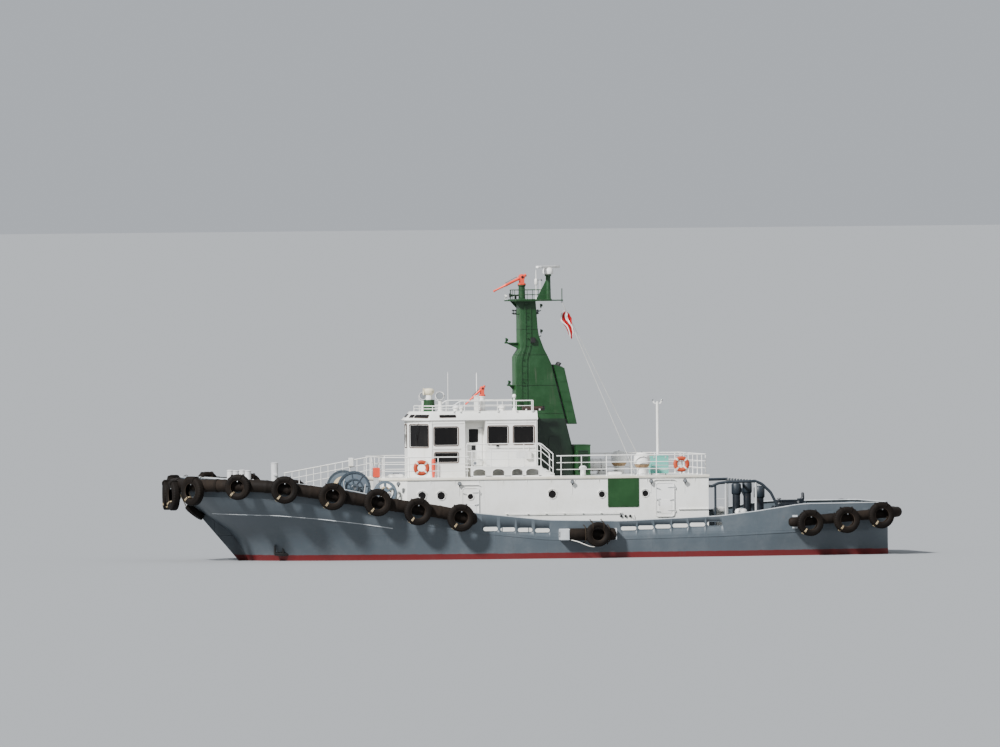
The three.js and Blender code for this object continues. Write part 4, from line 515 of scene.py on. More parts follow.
class Effect(Enum):
    """The shared shader groups. Each takes a point on the object and gives one mask."""

    MOTTLE = "mottle"
    STREAKS = "streaks"
    RUST = "rust"
    SEAMS = "seams"
    DENTS = "dents"
    WEAVE = "weave"

    def mask(self, graph: Graph, point: bpy.types.NodeSocket) -> bpy.types.NodeSocket:
        """The group's mask at a point, in a material."""
        tree = bpy.data.node_groups.get(self.value) or self.build()
        node = graph.node("ShaderNodeGroup", node_tree=tree)
        graph.feed(node.inputs[0], point)
        return node.outputs[0]

    def build(self) -> bpy.types.NodeTree:
        """Makes the group."""
        tree = bpy.data.node_groups.new(self.value, "ShaderNodeTree")
        tree.interface.new_socket("Point", in_out="INPUT", socket_type="NodeSocketVector")
        tree.interface.new_socket("Mask", in_out="OUTPUT", socket_type="NodeSocketFloat")
        graph = Graph(tree)
        point = graph.node("NodeGroupInput").outputs[0]
        mask = getattr(self, f"_{self.value}")(graph, point)
        graph.feed(graph.node("NodeGroupOutput").inputs[0], mask)
        return tree

    def _mottle(self, graph: Graph, point: bpy.types.NodeSocket) -> bpy.types.NodeSocket:
        """Broad patches about a metre across, broken up by finer ones."""
        broad = graph.step(graph.noise(point, 0.9, 4.0, 0.6), 0.38, 0.66)
        fine = graph.step(graph.noise(point, 6.0, 4.0, 0.65), 0.35, 0.7)
        return graph.math("MULTIPLY", broad, graph.between(fine, 0.45, 1.0))

    def _streaks(self, graph: Graph, point: bpy.types.NodeSocket) -> bpy.types.NodeSocket:
        """Runs of dirt drawn out downwards: noise squeezed along the height, cut off in places."""
        runs = graph.step(graph.noise(graph.scaled(point, (5.5, 5.5, 0.45)), 1.0, 4.0, 0.7), 0.52, 0.78)
        places = graph.step(graph.noise(point, 0.7, 2.0), 0.42, 0.62)
        return graph.math("MULTIPLY", runs, places)

    def _rust(self, graph: Graph, point: bpy.types.NodeSocket) -> bpy.types.NodeSocket:
        """Specks of rust with short runs under them."""
        specks = graph.step(graph.noise(point, 9.0, 5.0, 0.7), 0.63, 0.72)
        runs = graph.step(graph.noise(graph.scaled(point, (11.0, 11.0, 0.9)), 1.0, 3.0, 0.6), 0.66, 0.8)
        places = graph.step(graph.noise(point, 0.55, 3.0), 0.44, 0.64)
        return graph.math("MULTIPLY", graph.math("MAXIMUM", specks, graph.math("MULTIPLY", runs, 0.7)), places)

    def _seams(self, graph: Graph, point: bpy.types.NodeSocket) -> bpy.types.NodeSocket:
        """Weld seams between plates: thin lines 2.4 m apart along the boat and 1.15 m apart in height."""
        parts = graph.node("ShaderNodeSeparateXYZ", {0: point}).outputs
        wander = graph.math("MULTIPLY", graph.math("SUBTRACT", graph.noise(point, 1.5, 2.0), 0.5), 0.012)
        lines = []
        for part, pitch in ((parts[0], 2.4), (parts[2], 1.15)):
            moved = graph.math("ADD", part, wander)
            folded = graph.math("PINGPONG", moved, pitch / 2)
            lines.append(graph.step(folded, 0.016, 0.004))
        return graph.math("MAXIMUM", *lines)

    def _dents(self, graph: Graph, point: bpy.types.NodeSocket) -> bpy.types.NodeSocket:
        """Plating drawn in between its frames 0.6 m apart, and a few broad dents."""
        along = graph.node("ShaderNodeSeparateXYZ", {0: point}).outputs[0]
        frames = graph.math("SINE", graph.math("MULTIPLY", along, 2 * math.pi / 0.6))
        broad = graph.noise(point, 1.1, 2.0)
        return graph.math("ADD", graph.math("MULTIPLY", frames, 0.12), broad)

    def _weave(self, graph: Graph, point: bpy.types.NodeSocket) -> bpy.types.NodeSocket:
        """Threads over and under each other: the product of two sines, 6 mm apart."""
        parts = graph.node("ShaderNodeSeparateXYZ", {0: point}).outputs
        pitch = 2 * math.pi / 0.006
        warp = graph.math("SINE", graph.math("MULTIPLY", graph.math("ADD", parts[0], parts[1]), pitch))
        weft = graph.math("SINE", graph.math("MULTIPLY", parts[2], pitch))
        return graph.math("MULTIPLY", warp, weft)


@dataclass(frozen=True)
class Finish:
    """One surface: its colours, its gloss and how it has weathered."""

    name: str
    colour: Colour
    faded: Colour
    rough: tuple[float, float] = (0.42, 0.6)
    metal: float = 0.0
    dirt: float = 0.35
    dirt_colour: Colour = (0.11, 0.1, 0.085)
    rust: float = 0.0
    rust_colour: Colour = (0.21, 0.085, 0.035)
    grain: float = 0.0006
    grain_scale: float = 55.0
    seams: float = 0.0
    dents: float = 0.0
    weave: float = 0.0
    below: tuple[float, Colour] | None = None
    coat: float = 0.0
    glass: bool = False
    glass_gloss: float = 0.3
    dull_from: float = 0.6
    dull_gloss: float = 0.12

    def material(self) -> bpy.types.Material:
        """The finish as a material, made on first use."""
        known = bpy.data.materials.get(self.name)
        if known:
            return known
        material = bpy.data.materials.new(self.name)
        material.use_nodes = True
        material.diffuse_color = (*self.colour, 1.0)
        graph = Graph(material.node_tree)
        shader = material.node_tree.nodes["Principled BSDF"]
        point = graph.node("ShaderNodeTexCoord").outputs["Object"]
        mottle = Effect.MOTTLE.mask(graph, point)
        graph.feed(shader.inputs["Base Color"], self._colour(graph, point, mottle))
        graph.feed(shader.inputs["Roughness"], graph.between(mottle, *self.rough))
        shader.inputs["Metallic"].default_value = self.metal
        shader.inputs["Coat Weight"].default_value = self.coat
        graph.feed(shader.inputs["Normal"], self._relief(graph, point))
        if self.glass:
            shader.inputs["Specular IOR Level"].default_value = self.glass_gloss
        elif self.rough[0] > self.dull_from:
            shader.inputs["Specular IOR Level"].default_value = self.dull_gloss
        return material

    def _colour(self, graph: Graph, point: bpy.types.NodeSocket, mottle: bpy.types.NodeSocket) -> object:
        """Paint, faded in patches, with runs of dirt and then rust over it."""
        colour = graph.blend(mottle, self.colour, self.faded)
        if self.below:
            level, under = self.below
            height = graph.node("ShaderNodeSeparateXYZ", {0: point}).outputs[2]
            ragged = graph.math("MULTIPLY", graph.math("SUBTRACT", graph.noise(point, 3.0), 0.5), 0.05)
            line = graph.step(graph.math("ADD", height, ragged), level + 0.012, level - 0.012)
            colour = graph.blend(line, colour, under)
            scum = graph.math("MULTIPLY", graph.step(height, level + 0.55, level), graph.noise(point, 4.0, 5.0))
            colour = graph.blend(graph.math("MULTIPLY", scum, 0.12), colour, self.dirt_colour)
        if self.dirt:
            runs = graph.math("MULTIPLY", Effect.STREAKS.mask(graph, point), self.dirt)
            colour = graph.blend(runs, colour, self.dirt_colour)
        if self.rust:
            rust = graph.math("MULTIPLY", Effect.RUST.mask(graph, point), self.rust)
            colour = graph.blend(rust, colour, self.rust_colour)
        return colour

    def _relief(self, graph: Graph, point: bpy.types.NodeSocket) -> bpy.types.NodeSocket:
        """Grain, seams, dents and weave as one height in metres, turned into a normal."""
        height = graph.math("MULTIPLY", graph.noise(point, self.grain_scale, 3.0), self.grain)
        for effect, depth in ((Effect.SEAMS, self.seams), (Effect.DENTS, self.dents), (Effect.WEAVE, self.weave)):
            if depth:
                height = graph.math("ADD", height, graph.math("MULTIPLY", effect.mask(graph, point), depth))
        return graph.node("ShaderNodeBump", {"Height": height, "Distance": 1.0}).outputs[0]


BOOT_RED = (0.11, 0.0015, 0.003)
HULL_GREY = Finish("hull_grey", (0.062, 0.079, 0.093), (0.084, 0.1, 0.113), (0.45, 0.65), dirt=0.25,
                   dirt_colour=(0.05, 0.045, 0.04), rust=0.5, seams=0.0035, dents=0.007, below=(0.26, BOOT_RED))
INNER_GREY = Finish("bulwark_inner_grey", (0.1, 0.12, 0.14), (0.14, 0.155, 0.17), (0.45, 0.65), dirt=0.45, rust=0.7)
DECK_GREEN = Finish("deck_covering", (0.06, 0.085, 0.075), (0.1, 0.115, 0.1), (0.65, 0.85), dirt=0.4, rust=0.4,
                    grain=0.0025, grain_scale=90.0)
# Pale steel on the cap rail, fender plates and one stern bracket, and a painted highlight where it colours the knuckle
# bead.
PALE_EDGE_AND_HIGHLIGHT = Finish("pale_steel_edge_and_painted_highlight", (0.42, 0.45, 0.47), (0.55, 0.56, 0.56), (0.35, 0.5), dirt=0.3, rust=0.6)
WHITE = Finish("superstructure_white", (0.78, 0.775, 0.74), (0.7, 0.69, 0.64), (0.32, 0.5), dirt=0.22,
               dirt_colour=(0.3, 0.25, 0.18), rust=0.35, rust_colour=(0.33, 0.17, 0.08), seams=0.0012, dents=0.0035)
WHITE_TRIM = Finish("trim_white", (0.8, 0.795, 0.77), (0.68, 0.66, 0.6), (0.3, 0.5), dirt=0.2,
                    dirt_colour=(0.3, 0.24, 0.17), rust=0.4, rust_colour=(0.33, 0.17, 0.08))
MAST_GREEN = Finish("mast_green", (0.0035, 0.036, 0.006), (0.006, 0.05, 0.011), (0.4, 0.6), dirt=0.35, rust=0.15,
                    seams=0.002, dents=0.004)
# Lighter mast green for the front face: a painted highlight of its sunlit side.
MAST_FRONT_HIGHLIGHT = Finish("mast_front_green_painted_highlight", (0.007, 0.055, 0.007), (0.011, 0.07, 0.011), (0.35, 0.55), dirt=0.25,
                    rust=0.15)
# Darker mast green: painted shade of the wheelhouse on the mast's foot and doors, and painted shade between the
# casing's louvre fins.
MAST_SHADE_GREEN = Finish("mast_green_painted_shade", (0.002, 0.012, 0.004), (0.004, 0.018, 0.007), (0.4, 0.6), dirt=0.3, rust=0.1)
SOOT = Finish("soot_black", (0.008, 0.008, 0.008), (0.02, 0.019, 0.018), (0.6, 0.85), dirt=0.0, grain=0.0015)
RUBBER = Finish("tyre_rubber", (0.005, 0.0035, 0.0026), (0.011, 0.0078, 0.0055), (0.66, 0.9), dirt=0.2,
                dirt_colour=(0.04, 0.031, 0.022), grain=0.002, grain_scale=40.0)
RUBBER_RIM = Finish("tyre_bead_rubber", (0.016, 0.011, 0.008), (0.035, 0.025, 0.018), (0.65, 0.88), dirt=0.25,
                    dirt_colour=(0.08, 0.058, 0.038), grain=0.0015)
ROLL_RUBBER = Finish("fender_roll_rubber", (0.008, 0.0058, 0.0045), (0.02, 0.014, 0.01), (0.68, 0.9), dirt=0.25,
                     dirt_colour=(0.06, 0.045, 0.03), grain=0.003, grain_scale=30.0)
ROPE = Finish("manila_rope", (0.4, 0.32, 0.2), (0.27, 0.205, 0.125), (0.8, 0.95), dirt=0.4, grain=0.001,
              grain_scale=220.0)
WHITE_ROPE = Finish("white_rope", (0.66, 0.64, 0.58), (0.5, 0.47, 0.4), (0.8, 0.95), dirt=0.3, grain=0.001,
                    grain_scale=220.0)
STEEL_WIRE = Finish("galvanised_steel", (0.33, 0.34, 0.35), (0.2, 0.2, 0.2), (0.38, 0.6), metal=0.85, dirt=0.35,
                    rust=0.5)
BOLLARD = Finish("bollard_silver_grey", (0.52, 0.52, 0.52), (0.63, 0.62, 0.61), (0.35, 0.55), dirt=0.35, rust=0.55)
WINCH_BLUE = Finish("winch_grey_blue", (0.035, 0.05, 0.065), (0.06, 0.075, 0.09), (0.38, 0.55), dirt=0.4, rust=0.45)
NAVY = Finish("deck_gear_dark_navy", (0.002, 0.005, 0.009), (0.004, 0.008, 0.014), (0.4, 0.6), dirt=0.3, rust=0.5)
WINCH_PALE = Finish("winch_disc_blue_grey", (0.1, 0.13, 0.16), (0.14, 0.17, 0.195), (0.4, 0.6), dirt=0.35, rust=0.4)
TARRED = Finish("tarred_rope", (0.028, 0.02, 0.014), (0.05, 0.037, 0.025), (0.8, 0.95), dirt=0.2, grain=0.001)
NAVY_TOP = Finish("ventilator_top_dark_blue", (0.008, 0.014, 0.021), (0.015, 0.022, 0.03), (0.4, 0.6), dirt=0.35,
                  rust=0.4)
ORANGE = Finish("lifebuoy_orange", (0.36, 0.035, 0.006), (0.42, 0.06, 0.014), (0.5, 0.7), dirt=0.25, grain=0.0008,
                grain_scale=130.0)
RED = Finish("monitor_red", (0.12, 0.0006, 0.0005), (0.15, 0.002, 0.0015), (0.4, 0.6), dirt=0.1, rust=0.1)
TEAL = Finish("locker_teal", (0.008, 0.085, 0.06), (0.016, 0.12, 0.085), (0.4, 0.6), dirt=0.3, rust=0.4)
BOARD_GREEN = Finish("board_green", (0.006, 0.04, 0.007), (0.009, 0.053, 0.011), (0.3, 0.45), dirt=0.12)
CREAM = Finish("cowl_cream", (0.68, 0.62, 0.46), (0.56, 0.5, 0.36), (0.4, 0.6), dirt=0.3, rust=0.4)
TUBE_BROWN = Finish("tube_dark_brown", (0.022, 0.01, 0.006), (0.035, 0.017, 0.011), (0.45, 0.65), dirt=0.3)
TAN_EDGE = Finish("deck_edge_yellowed", (0.74, 0.71, 0.62), (0.62, 0.56, 0.44), (0.45, 0.65), dirt=0.45,
                  dirt_colour=(0.3, 0.2, 0.1), rust=0.8)
PALE_WEAR = Finish("worn_pale_steel", (0.4, 0.41, 0.41), (0.5, 0.5, 0.49), (0.4, 0.6), dirt=0.4, rust=0.7)
TAN = Finish("rusty_tan", (0.36, 0.24, 0.13), (0.24, 0.13, 0.06), (0.6, 0.8), dirt=0.4, rust=0.6)
GASKET = Finish("window_gasket_brown", (0.05, 0.026, 0.015), (0.085, 0.045, 0.028), (0.5, 0.7), dirt=0.2)
BLACK = Finish("black_fittings", (0.004, 0.004, 0.004), (0.01, 0.01, 0.0095), (0.35, 0.55), dirt=0.2)
GLASS = Finish("tinted_window_glass", (0.003, 0.0025, 0.0025), (0.006, 0.005, 0.0045), (0.16, 0.24), dirt=0.1,
               grain=0.0001, grain_scale=3.0, glass=True)
LENS = Finish("lamp_glass", (0.16, 0.17, 0.18), (0.24, 0.25, 0.26), (0.06, 0.14), dirt=0.1, grain=0.0004, coat=1.0,
              glass=True)
LAMP_RED = Finish("lamp_glass_red", (0.5, 0.02, 0.015), (0.6, 0.05, 0.03), (0.08, 0.16), dirt=0.1, coat=1.0)
LAMP_GREEN = Finish("lamp_glass_green", (0.01, 0.3, 0.09), (0.03, 0.38, 0.14), (0.08, 0.16), dirt=0.1, coat=1.0)
BRONZE = Finish("propeller_bronze", (0.42, 0.25, 0.09), (0.27, 0.19, 0.09), (0.22, 0.42), metal=0.95, dirt=0.35,
                dirt_colour=(0.06, 0.08, 0.05))
DRIVE_RED = Finish("drive_antifouling_red", (0.2, 0.03, 0.022), (0.28, 0.06, 0.04), (0.5, 0.75), dirt=0.5,
                   dirt_colour=(0.05, 0.06, 0.035), rust=0.3)
FLOOR_GREY = Finish("wheelhouse_floor_covering", (0.045, 0.05, 0.055), (0.07, 0.075, 0.08), (0.55, 0.75), dirt=0.1,
                    grain=0.0015, grain_scale=120.0)
SEAT_CLOTH = Finish("seat_cloth_blue", (0.02, 0.035, 0.07), (0.04, 0.06, 0.1), (0.75, 0.92), dirt=0.1, weave=0.0004)
FLAG_RED = Finish("flag_red", (0.34, 0.008, 0.012), (0.42, 0.02, 0.022), (0.75, 0.9), dirt=0.1, weave=0.0004)
FLAG_WHITE = Finish("flag_white", (0.8, 0.79, 0.77), (0.7, 0.68, 0.64), (0.75, 0.9), dirt=0.12, weave=0.0004)


# The hull's form, from the same dimensions as its solids

@dataclass(frozen=True)
class HullForm:
    """The hull's shape as formulas of the distance along the boat."""

    aft: float = -15.85
    fore: float = 15.85
    half: float = 4.6
    bow_from: float = 9.0
    bow_power: float = 2.5
    taper_from: float = -8.0
    taper: float = 0.7
    taper_power: float = 1.3
    corner: float = 0.6
    water_half: float = 4.5
    water_bow_from: float = 1.0
    water_taper: float = 1.1
    keel: float = -2.7
    rise_from: float = -5.0
    rise: float = 2.1
    fine_from: float = 2.0
    stem_bar: float = 0.04
    stem_z: tuple[float, ...] = (-2.7, -2.4, -1.8, -1.0, 0.0, 0.44, 0.88, 1.38, 1.82, 2.27, 2.95)
    stem_x: tuple[float, ...] = (9.8, 10.9, 11.8, 12.45, 12.88, 13.1, 13.35, 13.8, 14.4, 15.1, 15.85)
    deck_x: tuple[float, ...] = (-15.85, -11.7, -8.0, -3.4, 0.0, 3.3, 6.8, 9.0, 11.0, 13.0, 15.85)
    deck_z: tuple[float, ...] = (1.2, 1.18, 1.02, 0.93, 0.95, 1.3, 1.85, 2.28, 2.6, 2.83, 2.95)
    top_x: tuple[float, ...] = (-15.85, -11.7, -9.7, -8.0, -3.4, 0.0, 3.3, 4.8, 6.8, 9.0, 11.0, 15.2, 15.85)
    top_z: tuple[float, ...] = (2.37, 2.34, 2.05, 1.85, 1.67, 1.75, 2.11, 2.39, 2.69, 3.2, 3.48, 3.8, 3.8)
    fender_x: tuple[float, ...] = (3.3, 4.8, 6.8, 9.0, 11.0, 13.0, 15.85)
    fender_z: tuple[float, ...] = (1.79, 2.15, 2.46, 2.83, 3.18, 3.43, 3.45)

    def stem(self, z: Array) -> Array:
        """Where the stem is at a height."""
        return np.interp(z, self.stem_z, self.stem_x)

    def deck(self, x: Array) -> Array:
        """Height of the deck edge."""
        return np.interp(x, self.deck_x, self.deck_z)

    def top(self, x: Array) -> Array:
        """Height of the bulwark's top."""
        return np.interp(x, self.top_x, self.top_z)

    def fender(self, x: Array) -> Array:
        """Height of the bow fender's middle."""
        return np.interp(x, self.fender_x, self.fender_z)

    def _aft_share(self, x: Array) -> Array:
        """How far the stern has drawn in at a distance along the boat, 0 to 1."""
        return np.clip((self.taper_from - x) / (self.taper_from - self.aft), 0.0, None) ** self.taper_power

    def edge(self, x: Array) -> Array:
        """Half breadth at the deck: a superellipse at the bow, and a quarter circle at the stern's corner."""
        x = np.asarray(x, float)
        share = np.clip((x - self.bow_from) / (self.fore - self.bow_from), 0.0, 1.0)
        bow = self.half * (1.0 - share ** self.bow_power) ** (1.0 / self.bow_power)
        turn = np.clip((self.aft + self.corner - x) / self.corner, 0.0, 1.0)
        side = self.half - self.taper * self._aft_share(x) - self.corner * (1.0 - np.sqrt(1.0 - turn ** 2))
        return np.where(x > self.bow_from, bow, side)

    def water(self, x: Array) -> Array:
        """Half breadth at the waterline: an ellipse forward and a power curve aft."""
        share = np.clip((x - self.water_bow_from) / (self.stem(0.0) - self.water_bow_from), 0.0, 1.0)
        side = self.water_half - self.water_taper * self._aft_share(x)
        return side * np.sqrt(1.0 - share ** 2)

    def stations(self) -> Array:
        """Distances along the boat, close together where the stern's corner and the stem turn."""
        stern = self.aft + self.corner * (1.0 - np.cos(np.linspace(0.0, math.pi / 2, 9)))
        middle = np.linspace(self.aft + self.corner, self.bow_from, 62)[1:-1]
        bow = self.bow_from + (self.fore - self.bow_from) * np.sin(np.linspace(0.0, math.pi / 2, 34))
        return np.concatenate([stern, middle, bow])

    def section(self, station: float, bilge: int = 12) -> Array:
        """Half a section of the hull at a station, from the keel to the deck edge.

        Args:
            station: Distance along the deck edge.
            bilge: Number of points round the bilge.

        Returns:
            Points: below the water a superellipse between keel and waterline, above it a smooth flare to the
            knuckle and a straight run to the deck edge. Each point slides back along the stem's rake in the
            ratio of the station's place along the hull.
        """
        share = (station - self.aft) / (self.fore - self.aft)
        deck = float(self.deck(station))

        def along(z: Array) -> Array:
            """Distance along the boat of the section's points at a height."""
            raised = np.where(z > 0, z * self.deck(self.fore) / deck, z)
            return station - share * (self.fore - self.stem(raised))

        water = max(float(self.water(along(np.array(0.0)))), self.stem_bar)
        edge = max(float(self.edge(station)), self.stem_bar)
        keel = self.keel + self.rise * max((self.rise_from - station) / (self.rise_from - self.aft), 0.0)
        fine = max((station - self.fine_from) / (self.fore - self.fine_from), 0.0)
        power = 2.0 / (3.0 - fine)
        angle = np.linspace(math.pi / 2, 0.0, bilge)
        y = water * np.cos(angle) ** power
        z = keel * np.sin(angle) ** power
        y[0] = 0.0
        flare = np.linspace(0.0, 1.0, 8)[1:]
        knuckle_y, knuckle_z = water + (edge - water) * 0.86, deck * 0.8
        bend_y, bend_z = water + (edge - water) * 0.27, deck * 0.42
        flare_y = (1 - flare) ** 2 * water + 2 * flare * (1 - flare) * bend_y + flare ** 2 * knuckle_y
        flare_z = 2 * flare * (1 - flare) * bend_z + flare ** 2 * knuckle_z
        y = np.concatenate([y, flare_y, [edge]])
        z = np.concatenate([z, flare_z, [deck]])
        return np.column_stack([along(z), y, z])

    def plan(self, aftmost: float | None = None, step: float = 0.12) -> tuple[Array, Array]:
        """The port deck edge in plan, from the stem aft, at even steps, with its outward direction.

        Args:
            aftmost: Where to stop; the edge runs on round the stern to the centreline if it is left out.
            step: Distance between points.

        Returns:
            Points and unit normals in the plane, each of shape (points, 2).
        """
        turn = np.linspace(0.0, math.pi / 2, 90)
        shape = 2.0 / self.bow_power
        bow = np.column_stack([self.bow_from + (self.fore - self.bow_from) * np.cos(turn) ** shape,
                               self.half * np.sin(turn) ** shape])
        x = np.linspace(self.bow_from, self.aft + self.corner, 160)[1:]
        side = np.column_stack([x, self.edge(x)])
        round_off = np.linspace(0.0, math.pi / 2, 16)[1:]
        at = self.aft + self.corner - self.corner * np.sin(round_off)
        stern = np.column_stack([at, self.edge(at)])
        line = np.concatenate([bow, side, stern, [[self.aft, 0.0]]])
        if aftmost is not None:
            line = line[line[:, 0] >= aftmost]
        line[0] = (self.fore, 0.0)
        gone = distances(line)
        at = np.linspace(0.0, gone[-1], int(gone[-1] / step))
        line = np.column_stack([np.interp(at, gone, line[:, k]) for k in range(2)])
        run = np.gradient(line, axis=0)
        run /= np.linalg.norm(run, axis=1, keepdims=True)
        out = np.column_stack([run[:, 1], -run[:, 0]])
        out[0] = (1.0, 0.0)
        return line, out

    def at(self, x: float) -> tuple[Array, Array]:
        """The port deck edge at a distance along the boat, and its outward direction there."""
        low, high = max(x - 0.02, self.aft), min(x + 0.02, self.fore)
        run = np.array([high - low, float(self.edge(high)) - float(self.edge(low))])
        run /= np.linalg.norm(run)
        return np.array([x, float(self.edge(x))]), np.array([-run[1], run[0]])


FORM = HullForm()


@dataclass(frozen=True)
class Drive:
    """A steerable drive under the stern: pad, leg, pod, nozzle and propeller."""

    x: float = -12.4
    y: float = 1.9
    pad: float = 0.8
    pad_top: float = -0.7
    pad_face: float = -1.64
    collar: float = 0.48
    centre: float = -2.8
    pod: float = 0.26
    pod_fore: float = 0.68
    pod_aft: float = -0.43
    nozzle_fore: float = -0.33
    nozzle_aft: float = -1.13
    outer: float = 1.05
    hub: float = 0.19
    hub_aft: float = -0.98
    blade_x: float = -0.76
    tip: float = 0.86
    blades: int = 4
    run: float = 0.0005

    def blade(self, turn: float) -> Patch:
        """One propeller blade about the X axis, its root in the hub.

        Args:
            turn: Its angle round the axis, in degrees.

        Returns:
            Sections at growing radius r. Each is a thin ellipse as long as the chord there, set at the pitch angle
            whose tangent is the pitch over the circle that r runs on, and wrapped onto that circle.
        """
        share = np.linspace(0.0, 1.0, 16)
        radius = self.hub * 0.8 + (self.tip - self.hub * 0.8) * share
        chord = 0.3 + 0.36 * np.sin(np.clip(share * 1.25, 0,
                                            1) * math.pi / 2) - 0.52 * np.clip(share - 0.62, 0, 1) ** 1.25
        chord = np.where(share > 0.999, 0.12, chord)
        thick = 0.052 * (1 - share) + 0.012
        pitch = np.arctan(0.85 / (2 * math.pi * radius))
        skew = 0.16 * share ** 2
        angle = round_angles(20)
        run = chord[:, None] / 2 * np.cos(angle)[None, :]
        off = thick[:, None] / 2 * np.sin(angle)[None, :] + 0.03 * (run / chord[:, None]) ** 2
        x = self.blade_x + run * np.sin(pitch)[:, None] + off * np.cos(pitch)[:, None]
        arc = (run * np.cos(pitch)[:, None] - off * np.sin(pitch)[:, None]) / radius[:, None] + skew[:, None]
        arc = arc + math.radians(turn)
        grid = np.stack([x, radius[:, None] * np.cos(arc), radius[:, None] * np.sin(arc)], axis=-1)
        return skin(grid)

    def unit(self, side: str, sign: float) -> None:
        """The steerable drive on one side, with its nozzle, struts, zincs and bolts."""
        where = (self.x, sign * self.y, 0.0)
        unit = Shell(f"drive_unit_{side}")
        face = self.pad_face - self.run
        unit.add(lathe([(0.3, face), (self.collar, face), (self.collar, face - 0.09),
                        (self.collar - 0.03, face - 0.12), (0.33, face - 0.14), (0.29, face - 0.24),
                        (0.27, face - 0.32)], where, sides=56))
        levels = np.linspace(face - 0.2, self.centre, 14)
        angle = round_angles(36)
        waist = 1.0 + 0.5 * np.abs(np.linspace(-1.0, 1.0, 14)) ** 3
        leg = np.stack([np.stack([np.cos(angle) * 0.3 * w + self.x, np.sin(angle) * 0.17 * w + where[1],
                                  np.full_like(angle, z)], axis=-1) for w, z in zip(waist, levels)])
        unit.add(skin(leg))
        along = np.linspace(0.0, 1.0, 22)
        pod_radius = self.pod * np.clip(np.sin(np.clip(along * 2.2, 0, 1) * math.pi / 2), 0.02, 1) ** 0.6
        pod_radius = pod_radius - (self.pod - self.hub) * np.clip((along - 0.7) / 0.3, 0, 1) ** 1.6
        pod_x = self.pod_fore + (self.pod_aft - self.pod_fore) * along
        unit.add(lathe(list(zip(pod_radius, pod_x)), (self.x, where[1], self.centre), "x", 40))
        chord = np.linspace(0.0, 1.0, 18)
        inner = np.interp(chord, [0, 0.06, 0.2, 0.42, 0.62, 1.0], [1.005, 0.965, 0.925, 0.9, 0.9, 0.925])
        outer = np.interp(chord, [0, 0.05, 0.18, 0.4, 1.0], [1.01, 1.04, 1.048, 1.03, 0.945])
        nozzle_x = self.nozzle_fore + (self.nozzle_aft - self.nozzle_fore) * chord
        profile = [*zip(inner, nozzle_x), *zip(outer[::-1], nozzle_x[::-1])]
        unit.add(lathe(profile, (self.x, where[1], self.centre), "x", 96, closed=True))
        liner_x = self.nozzle_fore + (self.nozzle_aft - self.nozzle_fore) * np.array([0.42, 0.62])
        liner = [(0.901, liner_x[0]), (0.899, liner_x[0]), (0.899, liner_x[1]), (0.901, liner_x[1])]
        unit.add(lathe(liner, (self.x, where[1], self.centre), "x", 96, closed=True), finish=1)
        top = self.centre + 0.93
        unit.add(slab([(self.x - 0.72, top), (self.x + 0.16, top), (self.x + 0.2, face - 0.08),
                       (self.x - 0.3, face - 0.08), (self.x - 0.62, face - 0.2)], where[1] - 0.09, where[1] + 0.09,
                      "y", 0.035))
        for lean in (0.0, 62.0, -62.0):
            strut = slab([(self.x - 0.4, self.centre - 0.94), (self.x - 0.36, self.centre - 0.2),
                          (self.x + 0.02, self.centre - 0.2), (self.x - 0.3, self.centre - 0.96)], -0.045, 0.045, "y",
                         0.02)
            strut = strut.turned("x", lean, (self.x, 0.0, self.centre)).moved(0.0, where[1], 0.0)
            unit.add(strut)
        for turn in range(0, 360, 60):
            zinc = block((self.x - 0.75, self.x - 0.45), (-0.05, 0.05), (1.035, 1.06), 0.012)
            unit.add(zinc.turned("x", turn + 30).moved(0.0, where[1], self.centre), finish=2)
        for turn in range(0, 360, 30):
            bolt = lathe([(0.0001, 0.0), (0.026, 0.0), (0.026, -0.022), (0.0001, -0.022)], (0.42, 0.0, face - 0.12),
                         sides=6)
            unit.add(bolt.turned("z", turn).moved(self.x, where[1], 0.0), finish=2)
        make(unit, (DRIVE_RED, BRONZE, STEEL_WIRE), f"drive_{side}", [f"drive_{side}"])

    def screw(self, side: str, sign: float) -> None:
        """The propeller on one side."""
        screw = Shell(f"propeller_screw_{side}")
        hub = [(0.02, self.pod_aft - self.run), (self.hub, self.pod_aft - self.run), (self.hub, self.hub_aft + 0.2),
               (self.hub * 0.92, self.hub_aft + 0.1), (self.hub * 0.6, self.hub_aft + 0.02), (0.02, self.hub_aft)]
        screw.add(lathe(hub, (0.0, 0.0, 0.0), "x", 40))
        for k in range(self.blades):
            screw.add(self.blade(360.0 / self.blades * k + 20.0))
        make(screw.each(lambda patch: patch.moved(self.x, sign * self.y, self.centre)), (BRONZE,),
             f"propeller_{side}", [f"propeller_{side}"])

    def build(self) -> None:
        """Makes both drives and both propellers."""
        for side, sign in SIDES:
            self.unit(side, sign)
            self.screw(side, sign)


DRIVE = Drive()


def around(values: Array, normals: Array, offset: float, heights: Array) -> Array:
    """A line in space: plan points moved outwards by an offset, at given heights."""
    return np.column_stack([values + normals * offset, heights])


def both_ways(points: Array) -> Array:
    """A port line from the centreline aft, led across to starboard as one line."""
    return np.concatenate([points[:0:-1] * MIRROR, points])


def smooth(values: Array, reach: int) -> Array:
    """A running mean over an odd number of samples, the ends held."""
    padded = np.pad(values, reach, mode="edge")
    return np.convolve(padded, np.full(2 * reach + 1, 1.0 / (2 * reach + 1)), mode="valid")


